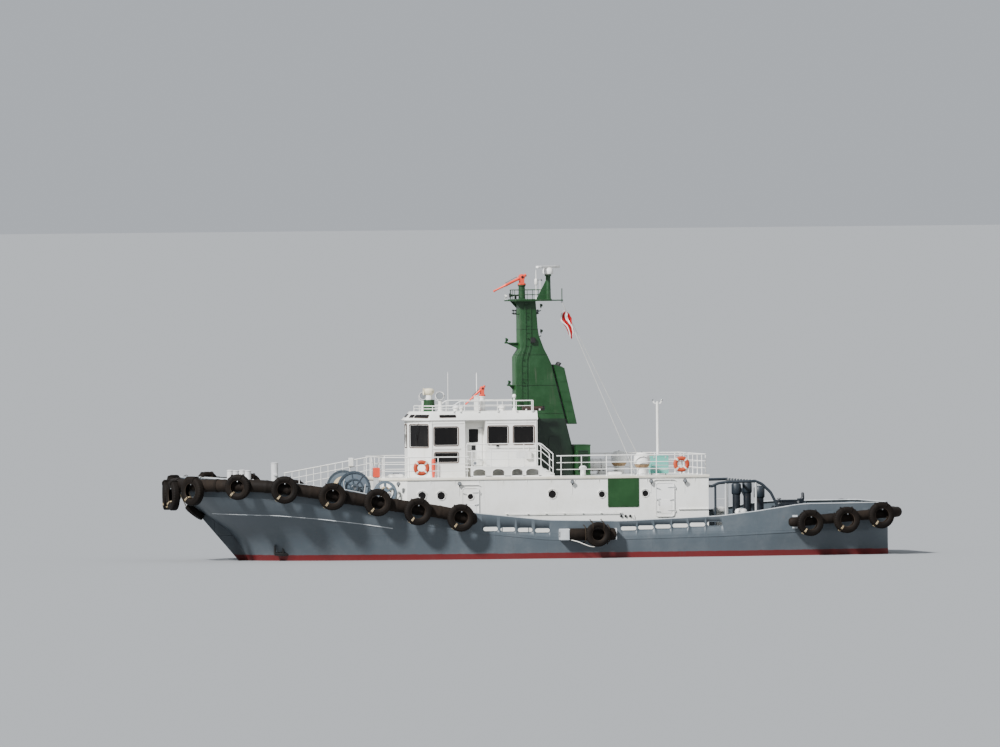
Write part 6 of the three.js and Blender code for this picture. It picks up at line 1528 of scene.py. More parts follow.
@dataclass(frozen=True)
class House:
    """The deckhouse: half breadth, deck over it and the doors in its sides."""

    side: float = 3.4
    top: float = 3.57
    deck: float = 3.67
    outline: tuple[tuple[float, float], ...] = ((7.15, 2.4), (6.17, 3.4), (-7.62, 3.4))
    # Each door: name, aft and fore edge of the opening, sill and head
    doors: tuple[tuple[str, float, float, float, float], ...] = (
        ("fore", 2.93, 3.65, 1.74, 3.18), ("aft", -6.01, -5.21, 1.84, 3.32))
    lap: float = 0.04
    gap: float = 0.005
    leaf: float = 0.05
    pin_off: float = 0.045
    portholes: tuple[tuple[float, float, float], ...] = (
        (5.49, 2.87, 0.15), (4.62, 2.86, 0.15), (-0.46, 2.87, 0.15), (-2.73, 2.84, 0.12), (-4.72, 2.86, 0.12))
    lamps: tuple[tuple[float, float], ...] = ((6.59, 3.42), (3.8, 3.4), (-1.36, 3.42), (-4.97, 3.42), (-6.52, 3.42))
    board: tuple[float, float, float, float] = (-4.42, -3.01, 2.27, 3.56)
    aft_wall: float = -7.62
    rail_z: float = 2.01
    rail_stays: tuple[float, ...] = (1.63, 0.67, -0.17, -1.0, -1.85, -2.68, -3.55)
    sockets: tuple[float, ...] = (-3.6, -3.8, -4.01)

    def build_fittings(self) -> None:
        """Fittings on the deckhouse walls: portholes, rails, drip bars, frames, lamps, board and reel bracket cover."""
        wall = self.side
        fit = Shell("deckhouse_fittings")
        half = Shell("half")
        for x, z, radius in self.portholes:
            porthole(x, z, radius * 1.2, wall, half, (0, 1, 2))
        for _, aft, fore, sill, head in self.doors:
            opening = rounded(fore - aft, head - sill, 0.1, 6) + ((aft + fore) / 2, (sill + head) / 2)
            half.add(ringed(opening, 0.028, wall - 0.14, wall + 0.0035))
            ends = [(aft - 0.12, wall + 0.02, head + 0.1), (aft - 0.02, wall + 0.03, head + 0.16),
                    (fore + 0.02, wall + 0.03, head + 0.16), (fore + 0.12, wall + 0.02, head + 0.1)]
            flat = np.array([(-0.03, -0.008), (0.035, -0.008), (0.035, 0.004), (-0.03, 0.008)])
            half.add(sweep(bent(ends, 0.05, 4), flat))
        half.add(bar([(1.67, wall + 0.002, self.rail_z), (1.67, wall + 0.075, self.rail_z),
                      (-3.64, wall + 0.075, self.rail_z), (-3.64, wall + 0.002, self.rail_z)], 0.017, 10, 0.05))
        for x in self.rail_stays:
            half.add(block((x - 0.025, x + 0.025), (wall, wall + 0.07), (self.rail_z - 0.035, self.rail_z + 0.035),
                           0.01))
        for x, z in self.lamps:
            add_lamps(half, lamp(x, wall + 0.11, z, "y", 0.085), (2, 3, 2))
            half.add(block((x - 0.03, x + 0.03), (wall, wall + 0.1), (z - 0.14, z - 0.08), 0.01))
            half.add(bar([(x, wall + 0.012, z - 0.1), (x, wall + 0.012, z - 0.55)], 0.008, 6))
        half.add(block((-7.6, -6.23), (wall, wall + 0.06), (2.11, 2.16), 0.012))
        for x in self.sockets:
            half.add(lathe([(0.06, 0.0), (0.06, 0.05), (0.045, 0.07), (0.02, 0.085)], (x, wall, 1.86), "y", 20),
                     finish=2)
        half.add(bar([(-4.15, wall, 1.74), (-4.15, wall + 0.09, 1.74), (-4.15, wall + 0.09, 1.92),
                      (-4.15, wall, 1.92)], 0.013, 8, 0.05))
        aft, fore, low, high = self.board
        plate = rounded(fore - aft + 0.02, high - low + 0.02, 0.05, 5) + ((aft + fore) / 2, (low + high) / 2)
        half.add(slab(plate, wall + 0.0005, wall + 0.03, "y", 0.005), finish=4)
        for x in (aft + 0.06, (aft + fore) / 2, fore - 0.06):
            for z in (low + 0.06, high - 0.06):
                half.add(lathe([(0.014, 0.028), (0.014, 0.037), (0.005, 0.04)], (x, wall, z), "y", 6), finish=2)
        eave = np.array([(7.19, 0.0), (7.19, 2.42), (6.19, 3.44), (-7.66, 3.44), (-7.66, 0.0)])
        path = np.column_stack([eave, np.full(len(eave), self.top + 0.05)])
        flat = rounded(0.03, 0.116, 0.013, 4)
        half.add(sweep(resampled_edges(path), flat), finish=5)
        for x in np.arange(-7.0, 6.2, 1.1):
            half.add(slab([(wall, 3.3), (wall + 0.03, 3.52), (wall, 3.56)], x - 0.006, x + 0.006, "x", 0.0))
        fit.group(half.parts, both=True)
        fit.add(block((7.151, 7.165), (-0.4, 0.4), (2.45, 3.05), 0.006))
        for y in (-1.55, -0.6, 0.6, 1.55):
            fit.add(lathe([(0.19, 0.0), (0.19, 0.018), (0.165, 0.026), (0.155, 0.008), (0.155, 0.0)], (7.15, y, 3.0),
                          "x", 32, closed=True))
            fit.add(lathe([(0.158, 0.002), (0.158, 0.008), (0.004, 0.012)], (7.15, y, 3.0), "x", 28), finish=1)
        for y in (-2.3, 0.0, 2.3):
            frame = rounded(0.62, 0.4, 0.08, 5) + (y, 2.75)
            for level, outline in ((0, frame), (1, inset(frame, 0.03))):
                fit.add(slab(outline, self.aft_wall - 0.03 + 0.008 * level, self.aft_wall + 0.0005, "x", 0.004),
                        finish=level)
        make(fit, (WHITE_TRIM, GLASS, BLACK, LENS, BOARD_GREEN, TAN_EDGE), ROOT)

    def build_door(self, name: str, aft: float, fore: float, sill: float, head: float) -> None:
        """A weathertight door on each side: leaf, pressed panel, dogs, hinge straps and handle; the fore one glazed.

        Args:
            name: fore or aft.
            aft: The opening's aft edge.
            fore: Its fore edge.
            sill: Its low edge.
            head: Its high edge.
        """
        shell = Shell("door")
        low, high = sill - self.lap, head + self.lap
        left, right = aft - self.lap, fore + self.lap
        inner = self.side + self.gap
        outer = inner + self.leaf
        middle = ((left + right) / 2, (low + high) / 2)
        leaf = rounded(right - left, high - low, 0.14, 7) + middle
        shell.add(slab(leaf, inner, outer - 0.018, "y", 0.004))
        shell.add(ringed(leaf, 0.045, inner + 0.01, outer))
        panel = rounded(right - left - 0.26, (high - low) * 0.4, 0.06, 5)
        shell.add(slab(panel + (middle[0], low + (high - low) * 0.3), inner + 0.02, outer - 0.008, "y", 0.008))
        light_z = high - (high - low) * 0.27
        if name == "fore":
            rim = [(0.16, 0.0), (0.16, 0.026), (0.14, 0.032), (0.125, 0.014), (0.125, 0.0)]
            shell.add(lathe(rim, (middle[0], outer - 0.02, light_z), "y", 32, closed=True))
            shell.add(lathe([(0.13, 0.0), (0.13, 0.012), (0.004, 0.014)], (middle[0], outer - 0.02, light_z), "y",
                            28), finish=1)
        for x, z, lean in ((right - 0.07, high - 0.25, -20), (right - 0.07, middle[1], 15),
                           (right - 0.07, low + 0.25, -5), (left + 0.07, middle[1], 190)):
            boss = lathe([(0.028, outer - 0.01), (0.028, outer + 0.016), (0.018, outer + 0.03)], (x, 0.0, z), "y", 14)
            lever = slab(rounded(0.2, 0.032, 0.014, 4) + (-0.07, 0.0), outer + 0.012, outer + 0.026, "y", 0.004)
            shell.add(boss, lever.turned("y", lean).moved(x, 0.0, z), finish=2)
        shell.add(bar([(right - 0.13, outer - 0.01, middle[1] - 0.22), (right - 0.13, outer + 0.05, middle[1] - 0.22),
                       (right - 0.13, outer + 0.05, middle[1] - 0.02),
                       (right - 0.13, outer - 0.01, middle[1] - 0.02)], 0.011, 8, 0.03), finish=2)
        pin_x = left - self.pin_off
        knuckle, run = 0.06, 0.0004
        for z in (sill + 0.16, head - 0.16 - 2 * knuckle):
            low_z, high_z = z + knuckle + run, z + 2 * knuckle
            shell.add(lathe([(0.0155, low_z), (0.0155, high_z)], (pin_x, self.side + self.pin_off, 0.0), sides=14),
                      finish=2)
            strap = [(pin_x, low_z + 0.004), (pin_x + 0.34, low_z + 0.018), (pin_x + 0.36, low_z + 0.028),
                     (pin_x + 0.34, high_z - 0.018), (pin_x, high_z - 0.004)]
            shell.add(slab(strap, self.side + self.pin_off - 0.008, outer + 0.008, "y", 0.003), finish=2)
        for side, sign in SIDES:
            node = f"house_door_{name}_{side}"
            make(shell.side(sign).named(f"{node}_leaf"), (WHITE_TRIM, GLASS, PALE_WEAR), node, [node])

    def build(self) -> None:
        """Makes the fittings on the walls, and the four doors."""
        self.build_fittings()
        for door in self.doors:
            self.build_door(*door)


HOUSE = House()


def ringed(outline: Array, wide: float, low: float, high: float, axis: str = "y") -> Patch:
    """A flat frame of even width just inside an outline, with chamfered edges."""
    inner = inset(outline, wide)
    soft = 0.2 * (high - low)
    levels = [(outline, low), (outline, high - soft), (outline * 0.9 + inner * 0.1, high),
              (outline * 0.1 + inner * 0.9, high), (inner, high - soft), (inner, low)]
    return skin(stacked(levels, axis), wrap=True)


def porthole(x: float, z: float, radius: float, wall: float, shell: Shell, parts: tuple[int, int, int]) -> None:
    """Adds a side scuttle: a rim with bolts, a pane and an eyebrow over it.

    Args:
        x: Its middle along the boat.
        z: Its height.
        radius: Of the pane.
        wall: Distance of the wall's outer face from the centreline.
        shell: Where it goes.
        parts: Finish numbers of rim, pane and bolts.
    """
    rim = [(radius + 0.035, 0.0), (radius + 0.035, 0.016), (radius + 0.022, 0.026), (radius + 0.004, 0.024),
           (radius - 0.004, 0.008), (radius - 0.004, 0.0)]
    shell.add(lathe(rim, (x, wall, z), "y", 36, closed=True), finish=parts[0])
    shell.add(lathe([(radius, 0.002), (radius, 0.008), (radius * 0.5, 0.012), (0.004, 0.0125)], (x, wall, z), "y",
                    32), finish=parts[1])
    for k in range(6):
        angle = math.radians(60.0 * k + 30.0)
        at = (x + (radius + 0.02) * math.cos(angle), wall, z + (radius + 0.02) * math.sin(angle))
        shell.add(lathe([(0.012, 0.022), (0.012, 0.032), (0.004, 0.036)], at, "y", 6), finish=parts[2])
    turn = np.linspace(math.radians(20), math.radians(160), 15)
    brow = np.column_stack([x + (radius + 0.06) * np.cos(turn), np.full(15, wall + 0.02),
                            z + (radius + 0.06) * np.sin(turn)])
    flat = np.array([(-0.007, -0.02), (0.007, -0.02), (0.007, 0.025), (-0.007, 0.025)])
    radial = np.stack([np.cos(turn), np.zeros(15), np.sin(turn)], axis=-1)
    rings = brow[:, None, :] + flat[None, :, :1] * radial[:, None, :] + flat[None, :, 1:] * np.array((0.0, 1.0, 0.0))
    shell.add(skin(rings), finish=parts[0])


def resampled_edges(path: Array) -> Array:
    """A path with two extra points close to each inner corner, so that a section stays true on both sides."""
    out = [path[0]]
    for before, corner, after in zip(path[:-2], path[1:-1], path[2:]):
        back = (before - corner) / np.linalg.norm(before - corner) * 0.012
        on = (after - corner) / np.linalg.norm(after - corner) * 0.012
        out += [corner + back, corner + (back + on) * 0.3, corner + on]
    return np.array(out + [path[-1]])


@dataclass(frozen=True)
class Rails:
    """Guard rails on the boat deck: bars, posts and their heights over the deck."""

    bar: float = 0.024
    post: float = 0.02
    top: float = 0.93
    mids: tuple[float, ...] = (0.62, 0.31)
    pitch: float = 1.15
    inset: float = 0.08
    # Ends at the wings, and corners
    wing_fore: float = 3.325
    wing_aft: float = -0.68
    bend_x: float = 6.14
    corner_y: float = 2.37
    aft: float = -7.54

    def guard(self, shell: Shell, line: Sequence[Sequence[float]]) -> None:
        """Adds a guard rail along plan points: posts with feet, ball joints and three bars with rounded corners."""
        deck = HOUSE.deck
        plan = np.array([(x, y, deck) for x, y in line])
        for height in (self.top, *self.mids):
            radius = self.bar if height == self.top else self.bar * 0.72
            shell.add(bar(plan + (0.0, 0.0, height), radius, 10, 0.1))
        for start, end in zip(plan[:-1], plan[1:]):
            count = max(1, round(float(np.linalg.norm(end - start)) / self.pitch))
            for share in np.linspace(0.0, 1.0, count + 1):
                at = start + (end - start) * float(np.clip(share, 0.03, 0.97))
                x, y = float(at[0]), float(at[1])
                shell.add(bar([(x, y, deck + 0.001), (x, y, deck + self.top)], self.post, 9))
                shell.add(lathe([(0.055, 0.001), (0.055, 0.012), (0.03, 0.022), (self.post, 0.05)], (x, y, deck),
                                sides=14))
                for height in self.mids:
                    ball = [(0.004, -0.031), (0.022, -0.024), (0.031, 0.0), (0.022, 0.024), (0.004, 0.031)]
                    shell.add(lathe(ball, (x, y, deck + height), sides=10))

    def build(self) -> None:
        """Makes the rails round the boat deck, ahead of and behind the bridge wings."""
        edge = HOUSE.side - self.inset
        corner = HOUSE.outline[0][0] - self.inset
        front = [(self.wing_fore, edge), (self.bend_x, edge), (corner, self.corner_y)]
        back = [(self.wing_aft, edge), (self.aft, edge)]
        for name, half in (("fore", front), ("aft", back)):
            shell = Shell(f"boat_deck_guard_{name}")
            self.guard(shell, half + [(x, -y) for x, y in half[::-1]])
            make(shell, (WHITE_TRIM,), ROOT, [f"boat_deck_rail_{name}"])


RAILS = Rails()


@dataclass(frozen=True)
class Lifebuoy:
    """A foam ring with white bands and a grab line looped between them, hung outside the boat deck's rail."""

    place: str
    x: float
    z: float
    sides: tuple[tuple[str, float], ...]
    ring: float = 0.269
    wide: float = 0.095
    tube: float = 0.074
    flat: float = 0.96
    band_half: float = 0.13
    band_thick: float = 0.0025
    turn_steps: int = 72
    tube_steps: int = 20

    def surface(self, turn: Array, reach: Array, deep: float, y: float) -> Array:
        """Rings of the tube's section at angles round the buoy.

        Args:
            turn: The angles round the buoy.
            reach: Distance of each section point from the buoy's middle, one row to each angle.
            deep: Half the tube's depth across the boat.
            y: The buoy's middle across the boat.

        Returns:
            Reach times the cosine and sine of the turn, and depth times the sine of the angle round the tube.
        """
        angle = round_angles(self.tube_steps)
        across = np.broadcast_to(y + deep * np.sin(angle)[None, :], reach.shape)
        return np.stack([self.x + reach * np.cos(turn)[:, None], across, self.z + reach * np.sin(turn)[:, None]],
                        axis=-1)

    def build(self) -> None:
        """Makes the lifebuoy on each of its sides."""
        edge = HOUSE.side - RAILS.inset + RAILS.bar * 0.75 + self.tube + 0.001
        turn = round_angles(self.turn_steps)
        cosine = np.cos(round_angles(self.tube_steps))
        for side, sign in self.sides:
            node = f"lifebuoy_{self.place}_{side}"
            shell = Shell(f"{node}_ring")
            squash = 1.0 + 0.02 * np.cos(2 * turn)
            reach = (self.ring + self.wide * cosine[None, :]) * squash[:, None]
            shell.add(skin(self.surface(turn, reach, self.tube * self.flat, sign * edge), wrap=True))
            for k in range(4):
                near = np.linspace(-self.band_half, self.band_half, 9) + math.pi / 4 + k * math.pi / 2
                reach = self.ring + (self.wide + self.band_thick) * np.broadcast_to(cosine, (len(near), len(cosine)))
                deep = (self.tube + self.band_thick) * self.flat
                shell.add(skin(self.surface(near, reach, deep, sign * edge)), finish=1)
                out = near[4] + np.linspace(0.0, math.pi / 2, 13)
                slack = self.ring + self.wide + 0.012 + 0.05 * np.sin(np.linspace(0, math.pi, 13))
                line = np.column_stack([self.x + slack * np.cos(out), np.full(13, sign * (edge + 0.01)),
                                        self.z + slack * np.sin(out)])
                shell.add(bar(line, 0.0055, 6), finish=1)
            make(shell, (ORANGE, WHITE_ROPE), ROOT, [node])


LIFEBUOYS = (Lifebuoy("fore", 5.51, 4.13, SIDES[:1]), Lifebuoy("aft", -6.38, 4.17, SIDES))


@dataclass(frozen=True)
class BoatDeckGear:
    """What stands on the boat deck: ventilators, light pole, hatches, a raft canister and a post."""

    fans: tuple[float, float] = (-4.67, 2.88)
    small_fans: tuple[float, float] = (-2.0, 2.7)
    pole_x: float = -5.93
    hatches: tuple[tuple[float, float], ...] = ((-3.9, -2.4), (-3.9, 0.2), (6.1, 0.0))
    raft: tuple[float, float] = (-3.4, -2.55)
    post: tuple[float, float] = (4.74, 2.1)

    def build(self) -> None:
        """Makes the gear."""
        deck = HOUSE.deck
        shell = Shell("boat_deck_gear")
        for _, sign in SIDES:
            x, y = self.fans[0], self.fans[1] * sign
            shell.add(lathe([(0.27, deck), (0.27, deck + 0.03), (0.235, deck + 0.05), (0.235, 4.19)], (x, y, 0.0),
                            sides=36))
            shell.add(lathe([(0.25, 4.02), (0.335, 4.12), (0.345, 4.2), (0.3, 4.24)], (x, y, 0.0), sides=36),
                      finish=1)
            cap = [(0.24, 4.2), (0.372, 4.19), (0.372, 4.24), (0.358, 4.47), (0.33, 4.56), (0.24, 4.65), (0.1, 4.698),
                   (0.004, 4.7)]
            shell.add(lathe(cap, (x, y, 0.0), sides=40))
            shell.add(bar([(x, y, 4.69), (x, y, 4.735)], 0.02, 10), finish=2)
        shell.add(lathe([(0.12, deck), (0.12, deck + 0.02), (0.066, deck + 0.04), (0.062, 5.2), (0.05, 6.95),
                         (0.004, 6.97)], (self.pole_x, 0.0, 0.0), sides=20))
        shell.add(bar([(self.pole_x + 0.22, 0.0, 7.05), (self.pole_x + 0.16, 0.0, 6.88),
                       (self.pole_x - 0.16, 0.0, 6.88), (self.pole_x - 0.22, 0.0, 7.05)], 0.024, 10, 0.06))
        for dx in (-0.21, 0.21):
            shell.add(lathe([(0.03, 6.98), (0.04, 7.0), (0.04, 7.05), (0.03, 7.075), (0.004, 7.08)],
                            (self.pole_x + dx, 0.0, 0.0), sides=14), finish=3)
        for z in np.arange(3.95, 6.6, 0.32):
            shell.add(bar([(self.pole_x, -0.14, float(z)), (self.pole_x, 0.14, float(z))], 0.011, 7))
        for x, y in self.hatches:
            hatch = rounded(0.62, 0.62, 0.08, 5) + (x, y)
            shell.add(slab(hatch, deck + 0.001, deck + 0.1, bevel=0.01),
                      slab(inset(hatch, 0.03), deck + 0.1, deck + 0.13))
            shell.add(bar([(x - 0.12, y, deck + 0.13), (x - 0.12, y, deck + 0.18), (x + 0.12, y, deck + 0.18),
                           (x + 0.12, y, deck + 0.13)], 0.01, 8, 0.03), finish=2)
        shell.add(lathe([(0.02, -0.62), (0.2, -0.61), (0.27, -0.56), (0.28, -0.5), (0.28, -0.03), (0.3, -0.02),
                         (0.3, 0.02), (0.28, 0.03), (0.28, 0.5), (0.27, 0.56), (0.2, 0.61), (0.02, 0.62)],
                        (self.raft[0], self.raft[1], deck + 0.42), "x", 32))
        for dx in (-0.35, 0.35):
            shell.add(block((self.raft[0] + dx - 0.04, self.raft[0] + dx + 0.04),
                            (self.raft[1] - 0.3, self.raft[1] + 0.3), (deck + 0.001, deck + 0.2), 0.01))
            loop = level_ring(circle(0.286, 24) + (self.raft[1], deck + 0.42), self.raft[0] + dx, "x")
            shell.add(bar(loop, 0.007, 6, wrap=True), finish=2)
        shell.add(lathe([(0.06, deck), (0.08, 4.0), (0.085, 4.14), (0.09, 4.4), (0.075, 4.5), (0.004, 4.52)],
                        (*self.post, 0.0), sides=22), finish=4)
        for y in (-self.small_fans[1], self.small_fans[1]):
            shell.add(lathe([(0.12, deck), (0.12, 3.98), (0.17, 4.0), (0.17, 4.06), (0.1, 4.13), (0.004, 4.14)],
                            (self.small_fans[0], y, 0.0), sides=22))
        make(shell, (WHITE_TRIM, TAN, BLACK, LENS, RED), ROOT)


@dataclass(frozen=True)
class Locker:
    """The teal locker on the boat deck: its ends along the boat, across it, and its top."""

    aft: float = -6.03
    fore: float = -5.2
    low: float = 1.6
    high: float = 2.2
    top: float = 4.54

    def build(self) -> None:
        """Makes the box on its feet, its lid, and the straps on its front."""
        deck = HOUSE.deck
        box = Shell("teal_locker")
        box.add(block((self.aft + 0.012, self.fore - 0.012), (self.low + 0.012, self.high - 0.012),
                      (deck + 0.06, self.top - 0.05), 0.015))
        box.add(slab(rounded(self.fore - self.aft, self.high - self.low, 0.03,
                             4) + ((self.aft + self.fore) / 2, (self.low + self.high) / 2), self.top - 0.06, self.top,
                     bevel=0.015))
        for x in (self.aft + 0.05, self.fore - 0.05):
            for y in (self.low + 0.05, self.high - 0.05):
                box.add(block((x - 0.025, x + 0.025), (y - 0.025, y + 0.025), (deck + 0.001, deck + 0.07), 0.006),
                        finish=1)
        for z in (deck + 0.22, deck + 0.42):
            box.add(block((self.aft + 0.05, self.fore - 0.05), (self.high - 0.014, self.high - 0.002), (z, z + 0.03),
                          0.004), finish=1)
        for x in (self.aft + 0.15, self.fore - 0.15):
            box.add(block((x - 0.03, x + 0.03), (self.high - 0.012, self.high + 0.004),
                          (self.top - 0.12, self.top - 0.03), 0.004), finish=1)
        make(box, (TEAL, PALE_WEAR), ROOT, ["deck_locker"])


@dataclass(frozen=True)
class EngineCasing:
    """The louvred casing behind the wheelhouse."""

    aft: float = -2.7
    fore: float = -2.01
    half: float = 0.8
    top: float = 5.06

    def build(self) -> None:
        """Makes the casing with its louvres and doors."""
        deck = HOUSE.deck
        casing = Shell("engine_casing_louvres")
        casing.add(block((self.aft + 0.01, self.fore - 0.01), (-self.half + 0.01, self.half - 0.01),
                         (deck + 0.001, self.top - 0.04), 0.02))
        casing.add(block((self.aft - 0.012, self.fore + 0.012), (-self.half - 0.012, self.half + 0.012),
                         (self.top - 0.06, self.top), 0.02))
        # The louvre fins take the darker mast green: painted shade between the louvres.
        for z in np.arange(deck + 0.18, self.top - 0.2, 0.085):
            fin = slab([(0.0, 0.0), (0.028, -0.03), (0.034, -0.022), (0.008, 0.012)], self.aft + 0.12,
                       self.fore - 0.12, "x", 0.0)
            casing.both(fin.moved(0.0, self.half - 0.012, float(z)), finish=1)
        for y in (-0.45, 0.45):
            casing.add(slab(rounded(0.5, 0.7, 0.05, 4) + (y, 4.25), self.fore - 0.011, self.fore + 0.006, "x", 0.003))
        make(casing, (MAST_GREEN, MAST_SHADE_GREEN), ROOT, ["engine_casing"])


@dataclass(frozen=True)
class Bridge:
    """The wheelhouse: walls, windows, doors and roof."""

    side: float = 1.9
    fore: float = 5.62
    aft: float = -0.07
    bay: float = 1.35
    floor: float = 4.15
    top: float = 6.22
    roof: float = 6.63
    outline: tuple[tuple[float, float], ...] = ((5.62, 0.4), (4.82, 1.9), (-0.07, 1.9))
    # Side windows: aft and fore edge, low and high edge
    windows: tuple[tuple[float, float, float, float], ...] = (
        (3.56, 4.66, 5.1, 5.93), (3.56, 4.64, 4.33, 4.79), (1.27, 2.2, 5.12, 5.95), (0.08, 1.03, 5.12, 5.95))
    front_half: float = 0.29
    chamfer_half: float = 0.7
    front: tuple[float, float] = (5.02, 6.04)
    back_half: float = 0.7
    back: tuple[float, float] = (5.12, 5.95)
    door: tuple[float, float, float, float] = (2.42, 3.12, 4.17, 6.06)
    door_window: tuple[float, float, float, float] = (2.54, 3.0, 5.21, 5.84)
    door_lap: float = 0.03
    door_thick: float = 0.045
    wheel: tuple[float, float, float] = (3.88, 0.0, 4.98)

    def heading(self) -> float:
        """Direction that the front's slanting side faces, in degrees from ahead."""
        (x0, y0), (x1, y1) = self.outline[0], self.outline[1]
        return math.degrees(math.atan2(-(x1 - x0), y1 - y0))

    def build_windows(self) -> None:
        """Window gaskets and panes, wipers, vents, rails and small fittings on the walls."""
        shell = Shell("wheelhouse_windows")
        parts: list[tuple[Patch, int]] = []
        for aft, fore, low, high in self.windows:
            for patch, part in window(fore - aft, high - low):
                parts.append((patch.moved((aft + fore) / 2, self.side, (low + high) / 2), part))
        (x0, y0), (x1, y1) = self.outline[0], self.outline[1]
        heading = self.heading()
        for patch, part in window(2 * self.chamfer_half, self.front[1] - self.front[0]):
            turned = patch.turned("z", heading - 90.0)
            parts.append((turned.moved((x0 + x1) / 2, (y0 + y1) / 2, sum(self.front) / 2), part))
        wiper_z = self.front[0] + 0.1
        wiper = bar([(0.0, 0.018, self.front[1] + 0.07), (0.05, 0.04, self.front[1]), (0.22, 0.03, wiper_z + 0.25)],
                    0.008, 6)
        blade_bar = bar([(0.2, 0.012, wiper_z + 0.05), (0.24, 0.012, wiper_z + 0.5)], 0.01, 6)
        for patch in (wiper, blade_bar):
            turned = patch.turned("z", heading - 90.0)
            parts.append((turned.moved((x0 + x1) / 2, (y0 + y1) / 2, 0.0), 3))
        shell.group(parts, both=True)
        for patch, part in window(2 * self.front_half, self.front[1] - self.front[0]):
            shell.add(patch.turned("z", -90.0).moved(self.fore, 0.0, sum(self.front) / 2), finish=part)
        for patch in (wiper, blade_bar):
            shell.add(patch.turned("z", -90.0).moved(self.fore, 0.0, 0.0), finish=3)
        for patch, part in window(2 * self.back_half, self.back[1] - self.back[0]):
            shell.add(patch.turned("z", 90.0).moved(self.aft, 0.0, sum(self.back) / 2), finish=part)
        side = Shell("side")
        side.add(slab(rounded(0.13, 0.13, 0.03, 4) + (1.76, 5.04), self.side, self.side + 0.06, "y", 0.01), finish=3)
        side.add(slab(rounded(0.26, 0.34, 0.03, 4) + (0.35, 4.62), self.side, self.side + 0.12, "y", 0.012), finish=1)
        side.add(bar([(0.35, self.side + 0.05, 4.79), (0.35, self.side + 0.05, 4.98),
                      (0.35, self.side + 0.012, 5.05)], 0.012, 7, 0.04), finish=1)
        for x, low, high in ((4.76, 4.2, 6.18), (0.0, 4.2, 6.18)):
            side.add(bar([(x, self.side + 0.016, low), (x, self.side + 0.016, high)], 0.016, 8), finish=1)
        side.add(bar([(3.5, self.side + 0.001, 4.98), (3.5, self.side + 0.06, 4.98), (4.72, self.side + 0.06, 4.98),
                      (4.72, self.side + 0.001, 4.98)], 0.013, 8, 0.04), finish=1)
        side.add(bar([(0.1, self.side + 0.001, 5.0), (0.1, self.side + 0.06, 5.0), (2.18, self.side + 0.06, 5.0),
                      (2.18, self.side + 0.001, 5.0)], 0.013, 8, 0.04), finish=1)
        drip = [(x, self.side + 0.012, 6.1) for x in (3.3, 4.8)]
        side.add(bar(drip, 0.014, 6), bar([(0.0, self.side + 0.012, 6.1), (2.25, self.side + 0.012, 6.1)], 0.014, 6),
                 finish=1)
        shell.group(side.parts, both=True)
        make(shell, (GASKET, WHITE_TRIM, GLASS, BLACK), ROOT)

    def build_controls(self) -> None:
        """The console's top, screens, levers, steering wheel and chair."""
        inside = Shell("wheelhouse_controls")
        inside.add(slab([(4.62, 5.02), (3.98, 4.82), (3.96, 4.86), (4.6, 5.06)], -1.1, 1.1, "y", 0.008))
        for y in (-0.85, -0.3, 0.3, 0.85):
            screen = slab(rounded(0.42, 0.26, 0.02, 4), -0.02, 0.02, "x", 0.006)
            inside.add(screen.turned("y", -15).moved(4.55, y, 5.24), finish=1)
            inside.add(bar([(4.57, y, 5.03), (4.57, y, 5.14)], 0.02, 8), finish=1)
        for y in (-0.5, 0.5):
            inside.add(lathe([(0.06, 4.86), (0.06, 4.9), (0.03, 4.92), (0.03, 4.98), (0.045, 5.0), (0.045, 5.05),
                              (0.004, 5.06)], (4.16, y, 0.0), sides=16), finish=1)
        hub = np.array(self.wheel)
        inside.add(torus(0.2, (0.016, 0.016), self.wheel, "x", 28, 8), finish=1)
        inside.add(bar([self.wheel, (4.02, 0.0, 4.96)], 0.03, 10), finish=1)
        for turn in (0, 120, 240):
            rim = (0.0, 0.2 * math.cos(math.radians(turn)), 0.2 * math.sin(math.radians(turn)))
            inside.add(bar([self.wheel, hub + rim], 0.01, 6), finish=1)
        cushion = rounded(0.5, 0.5, 0.1, 6) + (2.9, 0.0)
        inside.add(slab(cushion, 4.835, 4.9, bevel=0.03), finish=2)
        back = rounded(0.48, 0.52, 0.12, 6) + (0.0, 5.08)
        inside.add(slab(back, 2.642, 2.71, "x", 0.03), finish=2)
        for y in (-0.29, 0.29):
            inside.add(bar([(2.62, y, 4.86), (2.62, y, 5.02), (3.0, y, 5.02)], 0.022, 8, 0.05), finish=1)
        make(inside, (FLOOR_GREY, BLACK, SEAT_CLOTH), ROOT)

